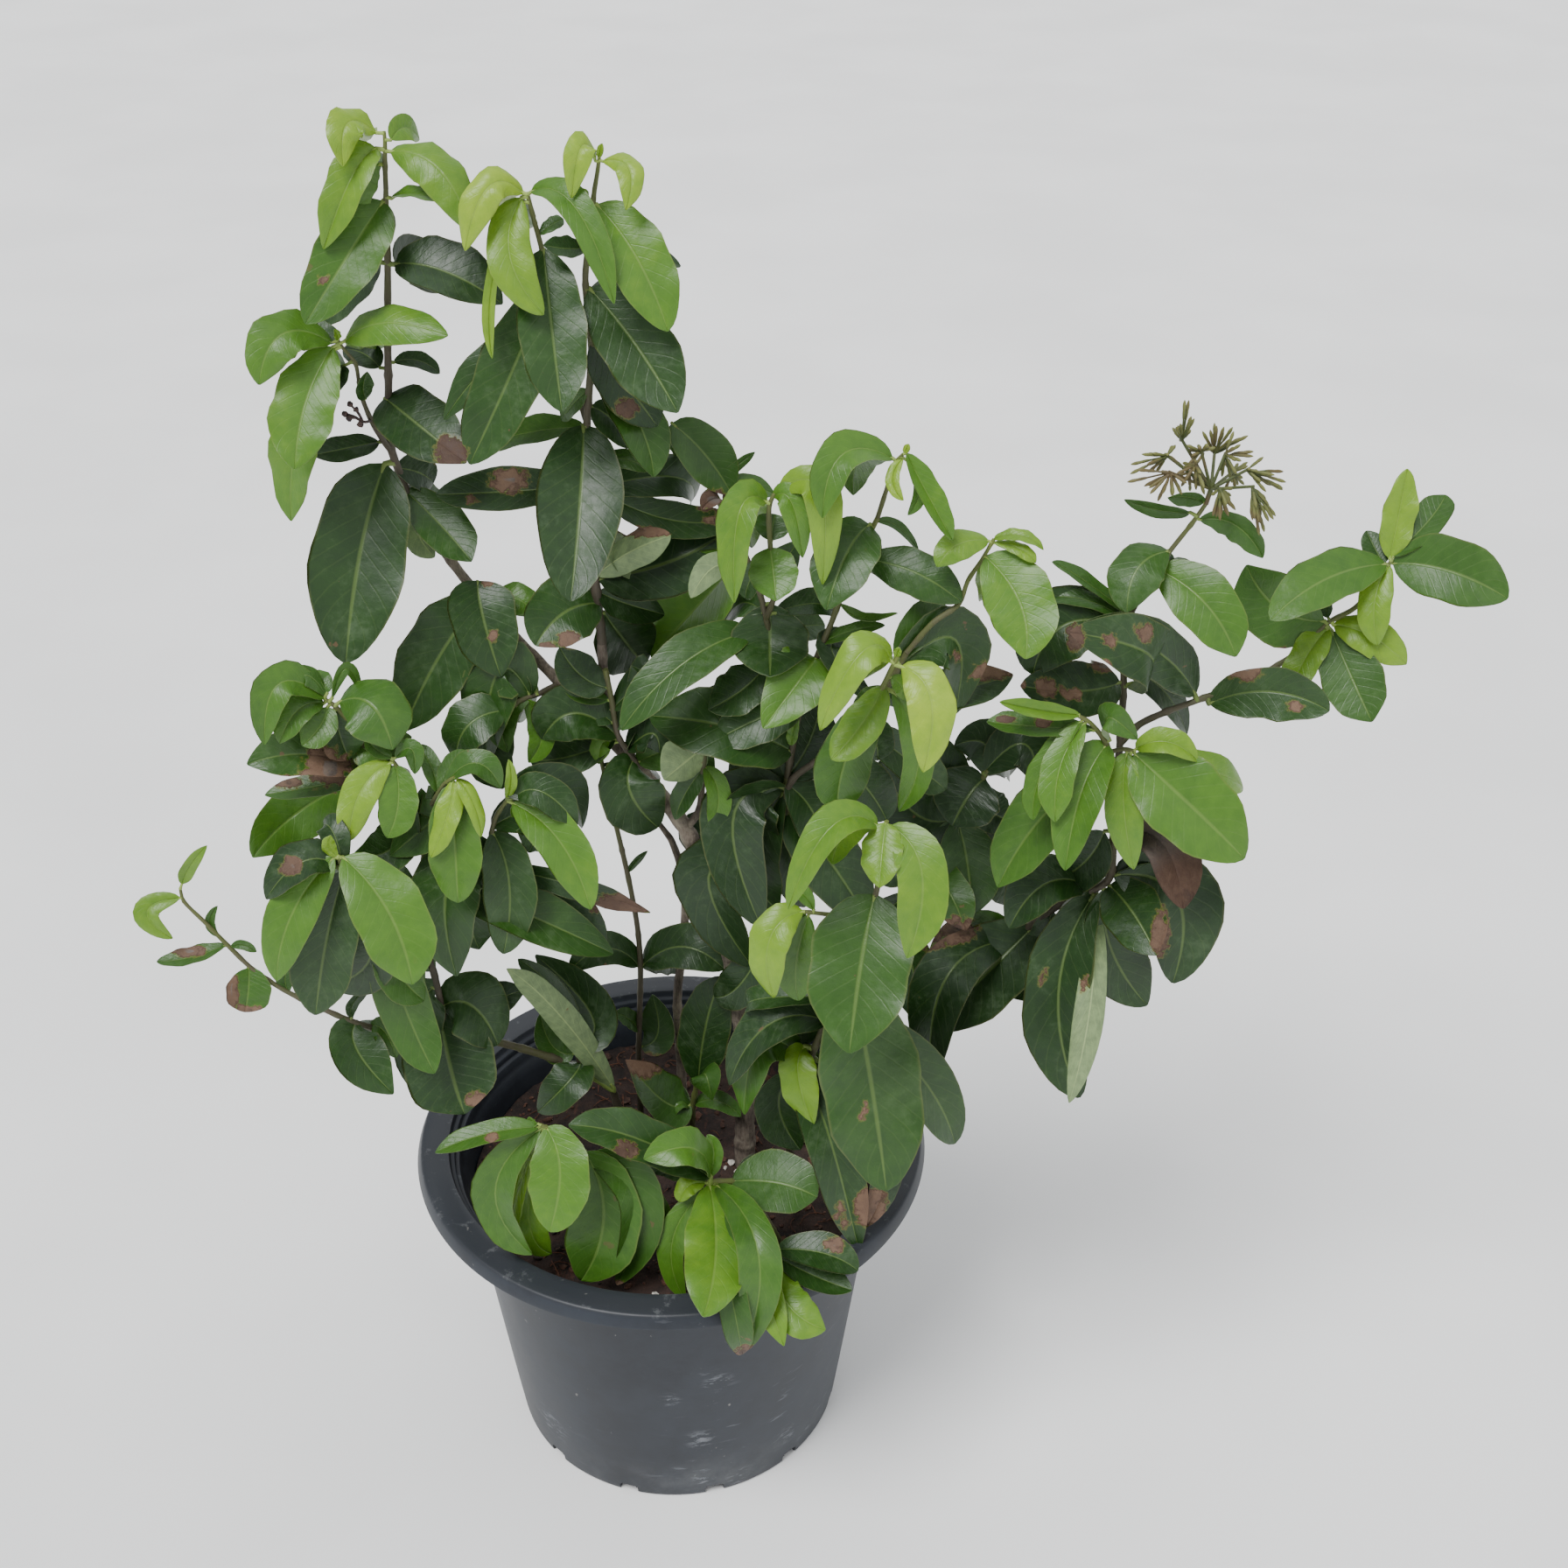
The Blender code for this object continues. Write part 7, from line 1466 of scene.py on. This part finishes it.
def stalked_bud(root, tip, bow):
    """One bud at the tip, on a stalk from the root that sags by a share of its length."""
    reach = (tip - root).length
    lift = Vector((0, 0, reach * bow))
    neck = tip - (tip - root) * min(0.75, BUD_LENGTH / reach)
    points, radii = eased([root, root.lerp(neck, 0.5) - lift, neck], BUD_STALK, STALK_STEP)
    add_tube(shape, points, radii, 8)
    spots = [neck.lerp(tip, share) for share, size in BUD_STEPS]
    rings = add_tube(shape, spots, [BUD_R * size for share, size in BUD_STEPS], 10)
    for ring, (share, size) in zip(rings, BUD_STEPS):
        for vert in ring:
            vert[ripe_layer] = 0.3 + 0.7 * share


stem_top = on_stem(grown, world_point(*HEAD_BASE))[0]
fork = world_point(*HEAD_FORK)
neck = fork + (fork - stem_top) * 0.15
add_tube(shape, *eased([stem_top, fork, neck], MAIN_STALK, STALK_STEP), 10)
draw = random.Random(5)
for parting, tips in HEAD_FORKS:
    centre = world_point(*parting)
    add_tube(shape, *eased([stem_top.lerp(fork, 0.85), centre, centre + (centre - fork) * 0.05],
                           FORK_STALK, STALK_STEP), 8)
    # Each bud that is read from the picture has two more beside it
    for spot in tips:
        tip = world_point(*spot)
        stalked_bud(centre, tip, draw.uniform(-0.02, 0.06))
        side = Vector((draw.uniform(-1, 1), draw.uniform(-1, 1), draw.uniform(-1, 1))) * 0.005
        stalked_bud(centre, centre.lerp(tip, draw.uniform(0.55, 0.8)) + side, draw.uniform(0, 0.06))
        stalked_bud(centre, centre.lerp(tip, draw.uniform(0.7, 0.95)) - side * 1.3, draw.uniform(0, 0.06))
head = finished("budding_flower_head", shape, 60)
olive, start, shader = new_material("bud_olive")
place = start.node("TexCoord", out=3)
ripe = start.node("Attribute", {"attribute_name": "ripe"}, out=2)
mottle = place.noise(420.0, 4.0, 0.6)
cloud = place.noise(60.0, 3.0, 0.5)
base = ripe.tint(colour(72, 82, 40), colour(112, 114, 58))
base = (cloud.rise(0.45, 0.62) * 0.6).tint(base, colour(92, 64, 44))
base = (mottle.rise(0.5, 0.7) * 0.4).tint(base, colour(66, 70, 34))
feed(shader, start, Base_Color=base, Roughness=0.5 + mottle * 0.2, Normal=bumpy(start, mottle, 0.4, 0.0005))
head.data.materials.append(olive)
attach(head, "root")
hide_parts("flower_head")


# Dried fruit stalk
# A near-black, withered stalk left at the tip of the left-hand side stem, with a few shrivelled knobs on
# short threads of their own. Each knob: picture position, depth (cm) and radius (mm).
DRIED_KNOBS = [(400, 462, 1.1, 1.5), (399, 478, .9, 1.7), (407, 468, 1.3, 1.5), (412, 485, 1.0, 1.7),
               (394, 473, 1.0, 1.6)]
shape = bmesh.new()
points, radii = stem_route([(424, 494, 1.6, .8), (415, 482, 1.3, .7), (400, 474, 1.0, .6)])
points[0] = on_stem(grown, points[0])[0]
add_tube(shape, *eased(points, radii, STALK_STEP), 8)
for px, py, depth, size in DRIED_KNOBS:
    spot = world_point(px, py, depth)
    bow = points[1].lerp(spot, 0.5) + Vector((0, 0, 0.001))
    add_tube(shape, *eased([points[1], bow, spot], [0.0006, 0.0005, 0.0006], STALK_STEP), 6)
    made = bmesh.ops.create_icosphere(shape, subdivisions=2, radius=size * MM)["verts"]
    for vert in made:
        vert.co = spot + vert.co * (1 + 0.35 * noise.noise(vert.co * 1400 + spot * 300))
withered = finished("withered_fruit_stalk", shape, 60)
dry, start, shader = new_material("stalk_dried")
mottle = start.node("TexCoord", out=3).noise(380.0, 5.0, 0.65)
feed(shader, start, Base_Color=mottle.rise(0.35, 0.68).tint(colour(34, 26, 30), colour(92, 70, 64)),
     Roughness=0.6 + mottle * 0.3, Normal=bumpy(start, mottle, 0.7, 0.0007))
withered.data.materials.append(dry)
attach(withered, "root")
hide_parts("dried_fruit_stalk")


# Studio
# A plain pale floor under soft light: a broad lamp high on the left, fainter ones from the right and from
# behind, and a bright sky all round. The floor isn't a part of the plant.
FLOOR_SIZE = 30.0
# Each lamp: where it shines from, how strong, and how soft (degrees)
LAMPS = [("lamp_high", (-1.2, -1.6, 3.4), 3.3, 28), ("lamp_side", (2.6, -1.4, 2.0), 0.6, 70),
         ("lamp_back", (0.6, 2.4, 2.6), 0.5, 60)]
sheet = bmesh.new()
bmesh.ops.create_grid(sheet, x_segments=1, y_segments=1, size=FLOOR_SIZE)
floor = finished("studio_floor", sheet, 60)
paper, start, shader = new_material("floor_pale")
mottle = start.node("TexCoord", out=3).noise(3.0, 3.0, 0.5)
feed(shader, start, Base_Color=mottle.rise(0.3, 0.7).tint(colour(240, 240, 239), colour(247, 247, 246)),
     Roughness=0.7 + mottle * 0.1)
floor.data.materials.append(paper)
for label, place, power, softness in LAMPS:
    lamp_data = bpy.data.lights.new(label, "SUN")
    lamp_data.energy = power
    lamp_data.angle = math.radians(softness)
    lamp = bpy.data.objects.new(label, lamp_data)
    lamp.location = place
    lamp.rotation_euler = Vector(place).to_track_quat("Z", "Y").to_euler()
    bpy.context.scene.collection.objects.link(lamp)
sky = bpy.data.worlds.new("soft_sky")
sky.use_nodes = True
glow = sky.node_tree.nodes["Background"].inputs
glow["Color"].default_value = (0.93, 0.96, 1.0, 1)
glow["Strength"].default_value = 0.62
bpy.context.scene.world = sky
